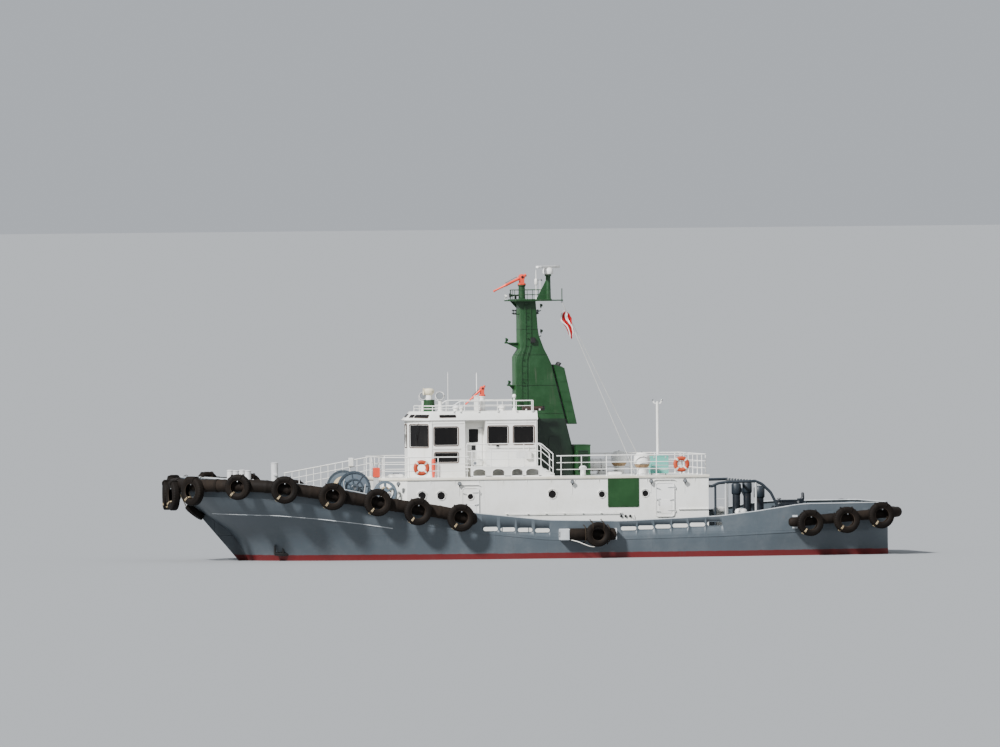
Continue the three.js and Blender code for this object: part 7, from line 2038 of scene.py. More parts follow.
    def build_doors(self) -> None:
        """Both wheelhouse doors: leaf with a pressed panel, white-framed window, handle and hinge straps."""
        aft, fore, low, high = self.door
        lap, thick = self.door_lap, self.door_thick
        inner = self.bay + 0.005
        outer = inner + thick
        left, right, top = aft - lap, fore + lap, high + lap
        wa, wf, wl, wh = self.door_window
        shell = Shell("bridge_door")
        middle = ((left + right) / 2, (low + top) / 2)
        outline = rounded(right - left, top - low, 0.05, 5) + middle
        hole = rounded(wf - wa, wh - wl, 0.06, 5) + ((wa + wf) / 2, (wl + wh) / 2)
        levels = ((outline, inner), (outline, outer - 0.004), (inset(outline, 0.004), outer), (hole, outer),
                  (hole, inner))
        shell.add(skin(stacked(levels, "y"), wrap=True))
        shell.add(ringed(inset(hole, -0.035), 0.045, inner + 0.01, outer + 0.012), finish=1)
        shell.add(slab(inset(hole, -0.006), inner + 0.016, inner + 0.026, "y", 0.002), finish=2)
        panel = rounded(right - left - 0.2, 0.62, 0.05, 4) + (middle[0], low + 0.45)
        shell.add(slab(panel, outer - 0.004, outer + 0.008, "y", 0.005))
        shell.add(bar([(right - 0.08, outer - 0.005, 5.02), (right - 0.08, outer + 0.05, 5.02),
                       (right - 0.08, outer + 0.05, 5.16), (right - 0.08, outer - 0.005, 5.16)], 0.01, 8, 0.03),
                  finish=3)
        pin_x, knuckle, run = aft - lap - HOUSE.pin_off + 0.02, 0.06, 0.0004
        for z in (low + 0.16, high - 0.16 - 2 * knuckle):
            z0, z1 = z + knuckle + run, z + 2 * knuckle
            shell.add(lathe([(0.0155, z0), (0.0155, z1)], (pin_x, self.bay + HOUSE.pin_off, 0.0), sides=14), finish=3)
            strap = [(pin_x, z0 + 0.004), (pin_x + 0.26, z0 + 0.02), (pin_x + 0.26, z1 - 0.02), (pin_x, z1 - 0.004)]
            shell.add(slab(strap, self.bay + HOUSE.pin_off - 0.006, outer + 0.007, "y", 0.003), finish=3)
        for side, sign in SIDES:
            node = f"bridge_door_{side}"
            make(shell.side(sign).named(f"{node}_leaf"), (WHITE_TRIM, WHITE_TRIM, GLASS, PALE_WEAR), node, [node])

    def build_roof(self) -> None:
        """The roof: sloped brow, sky windows, searchlight posts, cowl, monitor stand, aerials, tube and rails."""
        shell = Shell("wheelhouse_roof")

        def ring(grow: float, z: float) -> Array:
            """The wall's outline moved out by a distance, at a height."""
            port = [(self.outline[0][0] + grow, self.outline[0][1] + grow * 0.4),
                    (self.outline[1][0] + grow * 0.4, self.side + min(grow, 0.04)),
                    (self.aft - 0.02, self.side + min(grow, 0.04))]
            corners = np.array(port + [(x, -y) for x, y in reversed(port)])
            return level_ring(corners, z)

        eave = self.top + 0.0006
        levels = [ring(0.118, eave), ring(0.13, eave + 0.012), ring(0.13, self.top + 0.035),
                  ring(0.118, self.top + 0.047), ring(-0.19, self.roof - 0.012), ring(-0.2, self.roof)]
        shell.add(skin(np.array(levels)))
        lip = ring(0.128, self.top + 0.04)
        lip = np.concatenate([lip, lip[:1]])
        shell.add(sweep(resampled_edges(lip), circle(0.016, 8)), finish=1)
        slope = math.degrees(math.atan2(self.roof - self.top - 0.04, 0.31))
        pane = rounded(0.5, 0.16, 0.03, 4)
        for outline, thick, part in ((inset(pane, -0.02), 0.012, 3), (pane, 0.018, 2)):
            patch = slab(outline, 0.0, thick, "x", 0.003).turned("y", slope - 90.0)
            shell.add(patch.moved(5.595, 0.0, 6.445), finish=part)
        (x0, y0), (x1, y1) = self.outline[0], self.outline[1]
        heading = self.heading()
        for share, wide in ((0.2, 0.3), (0.62, 0.98)):
            pane = rounded(wide, 0.15, 0.03, 4)
            at = (x0 + (x1 - x0) * share, y0 + (y1 - y0) * share)
            for outline, thick, part in ((inset(pane, -0.02), 0.01, 3), (pane, 0.016, 2)):
                patch = slab(outline, 0.0, thick, "x", 0.003).turned("y", -38.0).turned("z", heading)
                shell.both(patch.moved(at[0], at[1], 6.42), finish=part)
        pane = rounded(0.74, 0.15, 0.03, 4)
        for outline, thick, part in ((inset(pane, -0.02), 0.01, 3), (pane, 0.016, 2)):
            patch = slab(outline, 0.0, thick, "x", 0.003).turned("y", -38.0).turned("z", 90.0)
            shell.both(patch.moved(4.02, self.side - 0.065, 6.42), finish=part)
        side_slope = [(x, self.side + 0.045, self.top + 0.03) for x in (5.0, 0.0)]
        shell.both(bar(side_slope, 0.014, 8), finish=1)
        for x, y in ((4.13, 0.5), (4.7, -0.6)):
            shell.add(lathe([(0.16, self.roof), (0.16, self.roof + 0.015), (0.09, self.roof + 0.05), (0.082, 7.0),
                             (0.095, 7.02), (0.095, 7.0592)], (x, y, 0.0), sides=26), finish=1)
        x, y = 2.2, 0.5
        shell.add(lathe([(0.2, self.roof), (0.2, self.roof + 0.02), (0.125, self.roof + 0.06), (0.115, 7.23),
                         (0.14, 7.25), (0.14, 7.2992)], (x, y, 0.0), sides=28), finish=1)
        shell.add(bar([(x + 0.1, y, 6.75), (x + 0.26, y, 6.75), (x + 0.26, y, 6.6)], 0.035, 10, 0.08), finish=1)
        x = 4.55
        shell.add(lathe([(0.28, self.roof), (0.28, self.roof + 0.02), (0.25, self.roof + 0.04), (0.25, 7.13),
                         (0.235, 7.15), (0.16, 7.15)], (x, 0.0, 0.0), sides=34), finish=4)
        shell.add(lathe([(0.145, 7.12), (0.145, 7.38), (0.16, 7.4)], (x, 0.0, 0.0), sides=30), finish=1)
        shell.add(lathe([(0.15, 7.36), (0.19, 7.4), (0.24, 7.48), (0.24, 7.58), (0.18, 7.65), (0.004, 7.68)],
                        (x, 0.0, 0.0), sides=30), finish=5)
        shell.add(lathe([(0.02, 0.0), (0.11, 0.02), (0.14, 0.2), (0.17, 0.26), (0.13, 0.26), (0.02, 0.1)],
                        (x, 0.0, 7.52), "x", 26), finish=5)
        for turn in range(0, 360, 45):
            fin = block((0.248, 0.262), (-0.02, 0.02), (6.7, 6.95), 0.004)
            shell.add(fin.turned("z", turn).moved(x, 0.0, 0.0), finish=4)
        for ax, ay, top, radius in ((3.577, -0.6, 8.4, 0.014), (2.203, -0.9, 8.35, 0.024), (0.803, 0.9, 7.36, 0.04)):
            spring = [(radius * 2.2, self.roof), (radius * 2.2, self.roof + 0.09), (radius * 1.5, self.roof + 0.12),
                      (radius, self.roof + 0.16), (radius * 0.92, top - 0.1), (radius * 0.5, top - 0.02),
                      (0.003, top)]
            shell.add(lathe(spring, (ax, ay, 0.0), sides=14), finish=1)
        shell.add(lathe([(0.07, 7.22), (0.09, 7.25), (0.09, 7.32), (0.06, 7.37), (0.004, 7.38)], (0.803, 0.9, 0.0),
                        sides=18), finish=1)
        tube_z, tube_y = self.roof + 0.076, 1.15
        shell.add(lathe([(0.02, -0.5), (0.088, -0.49), (0.095, -0.46), (0.095, 0.44), (0.088, 0.47), (0.02, 0.48)],
                        (0.02, tube_y, tube_z + 0.02), "x", 26), finish=6)
        shell.add(lathe([(0.02, -0.53), (0.1, -0.53), (0.104, -0.52), (0.104, -0.43), (0.095, -0.42), (0.02, -0.42)],
                        (0.0, tube_y, tube_z + 0.02), "x", 26), finish=7)
        for dx in (-0.3, 0.32):
            shell.add(block((dx - 0.03, dx + 0.03), (tube_y - 0.11, tube_y + 0.11), (self.roof + 0.001, tube_z),
                            0.008), finish=1)
        shell.add(block((2.45, 2.63), (0.8, 1.02), (self.roof + 0.001, 7.3), 0.015), finish=1)
        shell.add(block((2.43, 2.65), (0.78, 1.04), (7.28, 7.32), 0.01), finish=1)
        for x, y, size in ((3.1, -1.3, 0.1), (1.4, 1.2, 0.08), (1.0, -1.25, 0.12), (3.3, 1.3, 0.07)):
            shell.add(lathe([(size, self.roof), (size, self.roof + 0.1), (size * 1.5, self.roof + 0.12),
                             (size * 1.5, self.roof + 0.17), (size * 0.6, self.roof + 0.24),
                             (0.004, self.roof + 0.245)], (x, y, 0.0), sides=22), finish=1)
        rail = [(5.12, 0.72, 6.88), (4.65, 1.5, 6.88), (3.75, 1.8, 6.88), (3.45, 1.8, 7.09), (0.167, 1.8, 7.09)]
        for share in (1.0, 0.5):
            half = [(x, y, self.roof + (z - self.roof) * share) for x, y, z in rail]
            whole = half[::-1] + [(x, -y, z) for x, y, z in half]
            shell.add(bar(whole, 0.024 if share == 1.0 else 0.015, 9, 0.12), finish=1)
        for x, y, z in (*rail, (2.61, 1.8, 7.09), (1.73, 1.8, 7.09), (0.87, 1.8, 7.09)):
            shell.both(bar([(x, y, self.roof - 0.01), (x, y, z)], 0.016, 8),
                       lathe([(0.045, self.roof), (0.045, self.roof + 0.012), (0.018, self.roof + 0.025)],
                             (x, y, 0.0), sides=12), finish=1)
        shell.both(bar([(0.167, 1.8, 7.09), (0.1, 1.8, 7.09), (0.1, 1.8, self.roof)], 0.024, 9, 0.08), finish=1)
        make(shell, (WHITE, WHITE_TRIM, GLASS, GASKET, MAST_GREEN, CREAM, TUBE_BROWN, BLACK), ROOT, ["bridge_roof"])

    def build(self) -> None:
        """Makes the wheelhouse's windows, controls, doors and roof."""
        self.build_windows()
        self.build_controls()
        self.build_doors()
        self.build_roof()


BRIDGE = Bridge()


def window(width: float, height: float, radius: float = 0.07) -> list[tuple[Patch, int]]:
    """A window about the origin that looks along +Y: gasket, inner frame and pane. Finishes 0, 1 and 2."""
    hole = rounded(width, height, radius, 6)
    gasket = ringed(inset(hole, -0.035), 0.05, -0.07, 0.014)
    frame = ringed(inset(hole, 0.004), 0.02, -0.07, 0.006)
    pane = slab(inset(hole, 0.012), -0.045, -0.033, "y", 0.002)
    return [(gasket, 0), (frame, 1), (pane, 2)]


@dataclass(frozen=True)
class Wings:
    """The raised bridge wings: deck, rail, ends along and across the boat, and the arched openings under them."""

    deck: float = 4.15
    rail_top: float = 5.17
    rail_y: float = 3.26
    aft: float = -0.02
    fore: float = 3.235
    inner: float = 1.905
    outer: float = 3.3
    arches: tuple[tuple[float, float], ...] = ((2.56, 3.14), (1.7, 2.254), (0.86, 1.368), (0.129, 0.723))

    def build_side(self, side: str, sign: float) -> None:
        """One wing with its rails, steps, the arches' rims and its lamps."""
        shell = Shell(f"bridge_wing_{side}_plating")
        deck, railing_top, y = self.deck, self.rail_top, self.rail_y
        x0, x1, inner, outer = self.aft, self.fore, self.inner, self.outer
        shell.add(block((x0, x1), (inner, outer), (4.092, deck), 0.012),
                  block((2.31, x1), (1.358, inner + 0.02), (4.092, deck), 0.004))
        web_low = HOUSE.deck + 0.0006
        for z0, z1 in ((web_low, 3.74), (4.05, 4.1)):
            shell.add(block((x0, x1), (outer - 0.055, outer - 0.005), (z0, z1), 0.004))
        edges = [x1, *[value for fore_aft in self.arches for value in (fore_aft[1], fore_aft[0])], x0]
        for fore, aft in zip(edges[::2], edges[1::2]):
            shell.add(block((aft, fore), (outer - 0.055, outer - 0.005), (3.7, 4.06), 0.004))
        for aft, fore in self.arches:
            wide = fore - aft
            turn = np.linspace(0.0, math.pi, 13)
            hoop = np.column_stack([(aft + fore) / 2 + wide / 2 * np.cos(turn), 3.91 + 0.14 * np.sin(turn)])
            path = np.concatenate([[(fore, 3.72)], hoop, [(aft, 3.72)]])
            shell.add(bar(level_ring(path, outer - 0.003, "y"), 0.014, 7), finish=1)
            corners = np.concatenate([hoop, [(aft, 4.07), (fore, 4.07)]])
            shell.add(skin(stacked([(corners, outer - 0.05), (corners, outer - 0.01)], "y")))
        for i in range(3):
            top = deck - (i + 1) * (deck - HOUSE.deck) / 4
            tread = (x0 - 0.19 * (i + 1), x0 - 0.19 * i)
            shell.add(block(tread, (2.35, outer), (top - 0.035, top), 0.008), finish=2)
            shell.add(block((tread[0], tread[0] + 0.02), (2.35, outer), (top - 0.035, top + 0.006), 0.004), finish=1)
        for string_y in (2.35, outer - 0.04):
            line = [(x0 + 0.02, deck - 0.05), (x0 + 0.02, web_low), (x0 - 0.57, web_low), (x0 - 0.57, 3.8)]
            shell.add(slab(line, string_y, string_y + 0.04, "y", 0.004))
        slope = [(x1 - 0.06, inner + 0.06), (x1 - 0.06, y), (x0 + 0.04, y), (x0 - 0.51, y)]
        drop = [0.0, 0.0, 0.0, HOUSE.deck - deck]
        for height, radius in ((railing_top - deck, 0.024), (0.68, 0.017), (0.34, 0.017)):
            points = [(px, py, deck + height + low) for (px, py), low in zip(slope, drop)]
            shell.add(bar(points, radius, 10, 0.1), finish=1)
        for px in (x1 - 0.06, 2.3, 1.505, 0.8, x0 + 0.04):
            shell.add(bar([(px, y, deck - 0.01), (px, y, railing_top)], 0.019, 9),
                      lathe([(0.05, deck), (0.05, deck + 0.012), (0.02, deck + 0.03)], (px, y, 0.0), sides=14),
                      finish=1)
        shell.add(bar([(x0 - 0.51, y, 3.73), (x0 - 0.51, y, railing_top - (deck - HOUSE.deck))], 0.019, 9),
                  bar([(x1 - 0.06, inner + 0.06, deck), (x1 - 0.06, inner + 0.06, railing_top)], 0.019, 9), finish=1)
        inner_rail = [(x0 + 0.04, 2.37), (x0 - 0.51, 2.37)]
        points = [(px, py, railing_top + low) for (px, py), low in zip(inner_rail, (0.0, drop[-1]))]
        shell.add(bar([(x0 + 0.04, 2.37, deck), *points, (x0 - 0.51, 2.37, 3.7)], 0.02, 9, 0.08), finish=1)
        add_lamps(shell, lamp(3.05, outer - 0.02, deck + 0.16, "y", 0.09), (1, 3, 1))
        box_low, box_high = deck + 0.38, deck + 0.72
        shell.add(block((0.62, 1.16), (y + 0.02, y + 0.035), (box_low, box_high), 0.006), finish=1)
        for px in (0.7, 1.05):
            shell.add(block((px - 0.02, px + 0.02), (y - 0.02, y + 0.03), (box_low + 0.1, box_low + 0.16), 0.004),
                      finish=1)
        side_lamp = 5 if sign < 0 else 4
        shell.add(block((3.0, 3.2), (y + 0.02, y + 0.034), (4.9, 5.12), 0.004), finish=6)
        shell.add(lathe([(0.05, 4.92), (0.06, 4.94), (0.06, 5.04), (0.05, 5.06)], (3.12, y - 0.07, 0.0), sides=18),
                  finish=side_lamp)
        make(shell.side(sign), (WHITE, WHITE_TRIM, DECK_GREEN, LENS, LAMP_RED, LAMP_GREEN, BLACK), ROOT,
             [f"bridge_wing_{side}"])

    def build(self) -> None:
        """Makes both wings."""
        for side, sign in SIDES:
            self.build_side(side, sign)


# Mast, funnel and platform

@dataclass(frozen=True)
class Mast:
    """The mast's trunk in profile, and the platform on it."""

    half: float = 0.52
    foot: float = 3.6703
    step: float = 6.6303
    fore: float = 0.64
    shoulder: float = 9.05
    upper_fore: float = 0.43
    upper_low: float = 9.38
    top: float = 11.56
    aft_line: tuple[tuple[float, float], ...] = ((-0.3, 11.56), (-0.4, 10.1), (-0.72, 9.25), (-0.95, 8.88),
                                                 (-1.67, 5.98), (-1.98, 4.7), (-1.98, 3.6703))
    painted_shade_below: float = 6.25
    seams: tuple[float, ...] = (6.49, 7.77, 9.15, 10.3)
    lamps_z: float = 11.09

    def build(self) -> None:
        """The trunk with its front face painted lighter as a painted highlight and its foot painted darker as painted
        shade, seams, ladders, arms, doors and lamps.
        """
        shell = Shell("mast_trunk")
        aft_z = np.array([z for _, z in self.aft_line])[::-1]
        aft_x = np.array([x for x, _ in self.aft_line])[::-1]

        def profile(z: float) -> tuple[float, float]:
            """Aft and fore edge of the trunk at a height."""
            fore = -0.14 if z < self.step - 0.001 else float(np.interp(z, (self.shoulder, self.upper_low),
                                                                       (self.fore, self.upper_fore)))
            return float(np.interp(z, aft_z, aft_x)), fore

        def stage(levels: Array, part: int, soft: float = 0.045) -> None:
            """Adds the trunk's rounded sections at some heights as one closed body."""
            rings = []
            for z in levels:
                back, front = profile(float(z))
                outline = rounded(front - back, 2 * self.half, soft, 4) + ((front + back) / 2, 0.0)
                rings.append(level_ring(outline, float(z)))
            shell.add(skin(np.array(rings)), finish=part)

        # The lowest stage is painted darker green: painted shade cast by the wheelhouse.
        stage(np.array([self.foot, 4.7, 5.4, self.painted_shade_below]), 2)
        stage(np.array([self.painted_shade_below, self.step - 0.002]), 0)
        stage(np.concatenate([[self.step, self.step + 0.02], np.linspace(6.8, self.shoulder, 8),
                              np.linspace(self.upper_low, self.top, 8)]), 0)
        # The front face is a strip in the lighter green: a painted highlight where the sun falls on it.
        front_half = self.half - 0.05
        lower = [(self.fore, self.step + 0.02), (self.fore, self.shoulder - 0.01), (self.upper_fore, self.upper_low),
                 (self.upper_fore, self.top - 0.03)]
        outline = np.array(lower)
        edges = [level_ring(outline + (off, 0.0), y, "y") for off, y in (
            (0.008, -front_half), (0.008, front_half), (-0.01, front_half), (-0.01, -front_half))]
        shell.add(skin(np.stack(edges, axis=1)), finish=1)
        for z in self.seams:
            back, front = profile(z)
            outline = rounded(front - back + 0.02, 2 * self.half + 0.02, 0.05, 4) + ((front + back) / 2, 0.0)
            shell.add(sweep(level_ring(outline, z), circle(0.014, 6), wrap=True))
        for z, reach, low, half in ((9.6, 1.055, self.upper_fore, 0.09), (7.68, 0.95, self.fore, 0.12)):
            shell.add(block((low - 0.02, reach), (-half, half), (z + 0.05, z + 0.1), 0.01))
            shell.add(slab([(low - 0.01, z - 0.2), (low - 0.01, z + 0.06), (reach - 0.08, z + 0.06)], -0.012, 0.012,
                           "y", 0.003))
            add_lamps(shell, lamp(reach - 0.07, 0.0, z + 0.22, "x", 0.085), (3, 4, 3))
            shell.add(lathe([(half * 0.9, z + 0.1), (half * 0.9, z + 0.12), (0.02, z + 0.14)],
                            (reach - 0.07, 0.0, 0.0), sides=16), finish=3)
        for sign in (-1.0, 1.0):
            for x in (0.18, 0.42):
                shell.add(bar([(x, sign * (self.half + 0.075), 6.75), (x, sign * (self.half + 0.075), 9.0),
                               (x - 0.2, sign * (self.half + 0.075), 9.6),
                               (x - 0.2, sign * (self.half + 0.075), 11.5)], 0.014, 7, 0.2))
            for z in np.arange(6.9, 11.5, 0.3):
                shift = float(np.interp(z, (9.0, 9.6), (0.0, -0.2)))
                shell.add(bar([(0.18 + shift, sign * (self.half + 0.075), float(z)),
                               (0.42 + shift, sign * (self.half + 0.075), float(z))], 0.011, 6))
            for z in (6.85, 7.9, 8.9, 9.9, 10.9):
                shift = float(np.interp(z, (9.0, 9.6), (0.0, -0.2)))
                shell.add(block((0.28 + shift, 0.32 + shift), sorted((sign * self.half, sign * (self.half + 0.08))),
                                (z, z + 0.03), 0.004))
            # The doors lie in the foot's painted shade and take its darker green.
            door = rounded(0.55, 1.35, 0.12, 6) + (-1.1, 4.75)
            low, high = sorted((sign * (self.half + 0.001), sign * (self.half + 0.026)))
            shell.add(slab(door, low, high, "y", 0.006), finish=2)
        for z in (9.87, 11.02):
            shell.add(bar([(-0.38, 0.0, z), (-0.62, 0.0, z + 0.12)], 0.022, 8))
            add_lamps(shell, lamp(-0.62, 0.0, z + 0.34, "x", 0.075), (3, 4, 3))
        shell.add(block((-0.24, -0.02), (self.half, self.half + 0.14), (9.68, 9.92), 0.012), finish=5)
        for x, y in ((0.56, 0.3), (0.56, -0.3), (-0.42, 0.0)):
            shell.add(bar([(x * 0.7, y, self.lamps_z - 0.12),
                           (x + (0.05 if x > 0 else -0.05), y, self.lamps_z - 0.12)], 0.016, 7))
            at = (x + (0.05 if x > 0 else -0.05), y, 0.0)
            shell.add(lathe([(0.055, self.lamps_z - 0.11), (0.062, self.lamps_z - 0.09),
                             (0.055, self.lamps_z - 0.06)], at, sides=16), finish=5)
            shell.add(lathe([(0.048, self.lamps_z - 0.07), (0.048, self.lamps_z + 0.05)], at, sides=16), finish=4)
            shell.add(lathe([(0.058, self.lamps_z + 0.04), (0.058, self.lamps_z + 0.06), (0.03, self.lamps_z + 0.09)],
                            at, sides=16), finish=5)
        make(shell, (MAST_GREEN, MAST_FRONT_HIGHLIGHT, MAST_SHADE_GREEN, MAST_GREEN, LENS, BLACK), ROOT, ["mast"])


MAST = Mast()


@dataclass(frozen=True)
class Funnel:
    """The casing of the exhausts behind the mast: its profile, aft of the mast's edge."""

    half: float = 0.45
    profile: tuple[tuple[float, float], ...] = ((-1.09, 8.69), (-1.6, 8.53), (-2.16, 5.99), (-1.75, 5.99))

    def build(self) -> None:
        """Makes the casing, its brackets to the mast, its ribs, its sooty mouth and three pipes."""
        shell = Shell("funnel_casing")
        shell.add(slab(self.profile, -self.half, self.half, "y", 0.03))
        for low in (6.2, 8.2):
            back = float(np.interp(low, (4.7, 5.98, 8.88), (-1.98, -1.67, -0.95)))
            shell.add(block((back - 0.3, back + 0.02), (-0.3, 0.3), (low, low + 0.12), 0.01))
        for share in (0.22, 0.4, 0.58, 0.76):
            x = -2.12 + 0.5 * share
            z = 6.0 + 2.5 * share
            shell.both(block((x + 0.08, x + 0.36), (self.half, self.half + 0.012), (z, z + 0.022), 0.004))
        shell.add(slab([(-1.18, 8.66), (-1.54, 8.55), (-1.5, 8.47), (-1.2, 8.55)], -0.36, 0.36, "y",
                       0.01).moved(z=0.03), finish=1)
        for y in (-0.24, 0.0, 0.24):
            pipe = [(-1.36, y, 8.4), (-1.36, y, 8.66), (-1.44, y, 8.77)]
            shell.add(bar(pipe, 0.075, 14, 0.06), finish=1)
        make(shell, (MAST_GREEN, SOOT), ROOT, ["funnel"])


@dataclass(frozen=True)
class MastPlatform:
    """The platform on the mast: its deck's faces, rail top, ends and half breadth."""

    low: float = 11.5603
    top: float = 11.6203
    rail_top: float = 12.07
    aft: float = -1.0
    fore: float = 0.76
    half: float = 0.85
    block_x: float = -1.59

    def build(self) -> None:
        """Makes the platform with its rail, stalk, gusset, arms, aerials, lamps, horn and wind vane."""
        low, top, rail_top = self.low, self.top, self.rail_top
        aft, fore, half = self.aft, self.fore, self.half
        shell = Shell("mast_platform_deck")
        deck = rounded(fore - aft, 2 * half, 0.12, 5) + ((fore + aft) / 2, 0.0)
        shell.add(slab(deck, low, top, bevel=0.01))
        shell.add(ringed(deck, 0.03, top - 0.02, top + 0.03, "z"))
        shell.add(block((-1.64, 1.06), (-0.055, 0.055), (low + 0.002, top - 0.004), 0.012))
        for y in (-0.5, 0.5):
            shell.add(slab([(0.4, low - 0.001), (fore - 0.05, low - 0.001), (0.4, low - 0.34)], y - 0.01, y + 0.01,
                           "y", 0.003))
        corners = [(fore - 0.05, half - 0.05), (fore - 0.05, 0.05 - half), (aft + 0.05, 0.05 - half),
                   (aft + 0.05, half - 0.05)]
        for z, radius in ((rail_top, 0.018), (top + 0.23, 0.013)):
            ring = np.array([(x, y, z) for x, y in corners])
            closed = bent([*ring, ring[0], ring[1]], 0.1, 5)[4:-1]
            shell.add(sweep(closed[:-1], circle(radius, 8), wrap=True))
        for (x, y), (nx, ny) in zip(corners, corners[1:] + corners[:1]):
            for share in (0.04, 0.35, 0.66):
                px, py = x + (nx - x) * share, y + (ny - y) * share
                shell.add(bar([(px, py, top - 0.005), (px, py, rail_top)], 0.013, 7))
        stalk = [(0.17, top), (0.17, top + 0.02), (0.125, top + 0.05), (0.108, 12.66), (0.15, 12.7), (0.15, 12.7592)]
        shell.add(lathe(stalk, (-0.96, 0.0, 0.0), sides=28))
        shell.add(slab([(-0.9, top), (-0.4, top), (-0.86, 12.5)], -0.03, 0.03, "y", 0.008))
        stand = [(0.2, top), (0.2, top + 0.025), (0.155, top + 0.06), (0.148, 12.22), (0.18, 12.25), (0.18, 12.2992)]
        shell.add(lathe(stand, (0.25, 0.0, 0.0), sides=30))
        shell.add(lathe([(0.032, top), (0.032, top + 0.1), (0.021, top + 0.15), (0.019, 12.85), (0.008, 12.97),
                         (0.002, 12.98)], (-0.407, 0.0, 0.0), sides=12), finish=1)
        shell.add(lathe([(0.06, 12.3), (0.075, 12.33), (0.075, 12.52), (0.05, 12.57), (0.02, 12.58)],
                        (-0.407, 0.0, 0.0), sides=18), finish=1)
        shell.add(bar([(self.block_x, 0.0, top - 0.03), (self.block_x, 0.0, 12.12)], 0.022, 9))
        hoop = level_ring(circle(0.045, 14) + (self.block_x, low - 0.05), 0.0, "y")
        shell.add(bar(hoop, 0.01, 6, wrap=True), finish=2)
        add_lamps(shell, lamp(1.0, 0.0, top + 0.16, "x", 0.08), (1, 3, 1))
        horn = [(0.03, -0.2), (0.034, 0.0), (0.055, 0.14), (0.09, 0.22), (0.1, 0.23), (0.085, 0.2), (0.03, 0.02)]
        shell.add(lathe(horn, (0.5, -0.55, top + 0.2), "x", 22), finish=4)
        shell.add(block((0.4, 0.48), (-0.59, -0.51), (top, top + 0.18), 0.01), finish=4)
        shell.add(bar([(-0.7, -0.6, top), (-0.7, -0.6, 12.5)], 0.014, 8), finish=1)
        for turn in (0, 120, 240):
            tip = (-0.7 + 0.11 * math.cos(math.radians(turn)), -0.6 + 0.11 * math.sin(math.radians(turn)), 12.5)
            shell.add(bar([(-0.7, -0.6, 12.5), tip], 0.006, 6), finish=4)
            cup = [(0.004, -0.03), (0.028, -0.02), (0.034, 0.004), (0.028, 0.004), (0.02, -0.01), (0.004, -0.018)]
            shell.add(lathe(cup, tip, "x", 12), finish=4)
        make(shell, (MAST_GREEN, WHITE_TRIM, STEEL_WIRE, LENS, BLACK), ROOT, ["mast_platform"])


@dataclass(frozen=True)
class Radar:
    """The radar scanner on its stalk: its axis, the foot's height and the beam's."""

    x: float = -0.96
    z: float = 12.76
    beam_z: float = 13.098

    def build(self) -> None:
        """Makes the gearbox and the beam, a closed section that narrows at its ends, with two bands."""
        radar = Shell("radar_antenna")
        x, z = self.x, self.z
        radar.add(lathe([(0.15, z + 0.0002), (0.23, z + 0.03), (0.24, z + 0.08), (0.24, z + 0.2), (0.2, z + 0.27),
                         (0.1, z + 0.31), (0.004, z + 0.312)], (x, 0.0, 0.0), sides=34))
        section = np.array([(-0.075, -0.035), (-0.06, -0.054), (0.05, -0.054), (0.088, -0.03), (0.088, 0.03),
                            (0.05, 0.054), (-0.06, 0.054), (-0.075, 0.035)])
        span = np.array([-0.86, -0.855, -0.83, -0.5, 0.0, 0.5, 0.83, 0.855, 0.86])
        scale = np.array([0.55, 0.8, 1.0, 1.0, 1.0, 1.0, 1.0, 0.8, 0.55])
        rings = np.stack([np.column_stack([section[:, 0] * k, np.full(8, s), section[:, 1] * k + self.beam_z])
                          for s, k in zip(span, scale)])
        beam = skin(rings).turned("z", -45.0)
        radar.add(beam.moved(x, 0.0, 0.0))
        for s in (-0.55, 0.55):
            band = np.stack([np.column_stack([section[:, 0] * 1.03, np.full(8, s + d),
                                              section[:, 1] * 1.03 + self.beam_z]) for d in (-0.012, 0.012)])
            radar.add(skin(band).turned("z", -45.0).moved(x, 0.0, 0.0), finish=1)
        make(radar, (WHITE_TRIM, PALE_WEAR), "radar_scanner", ["radar_scanner"])


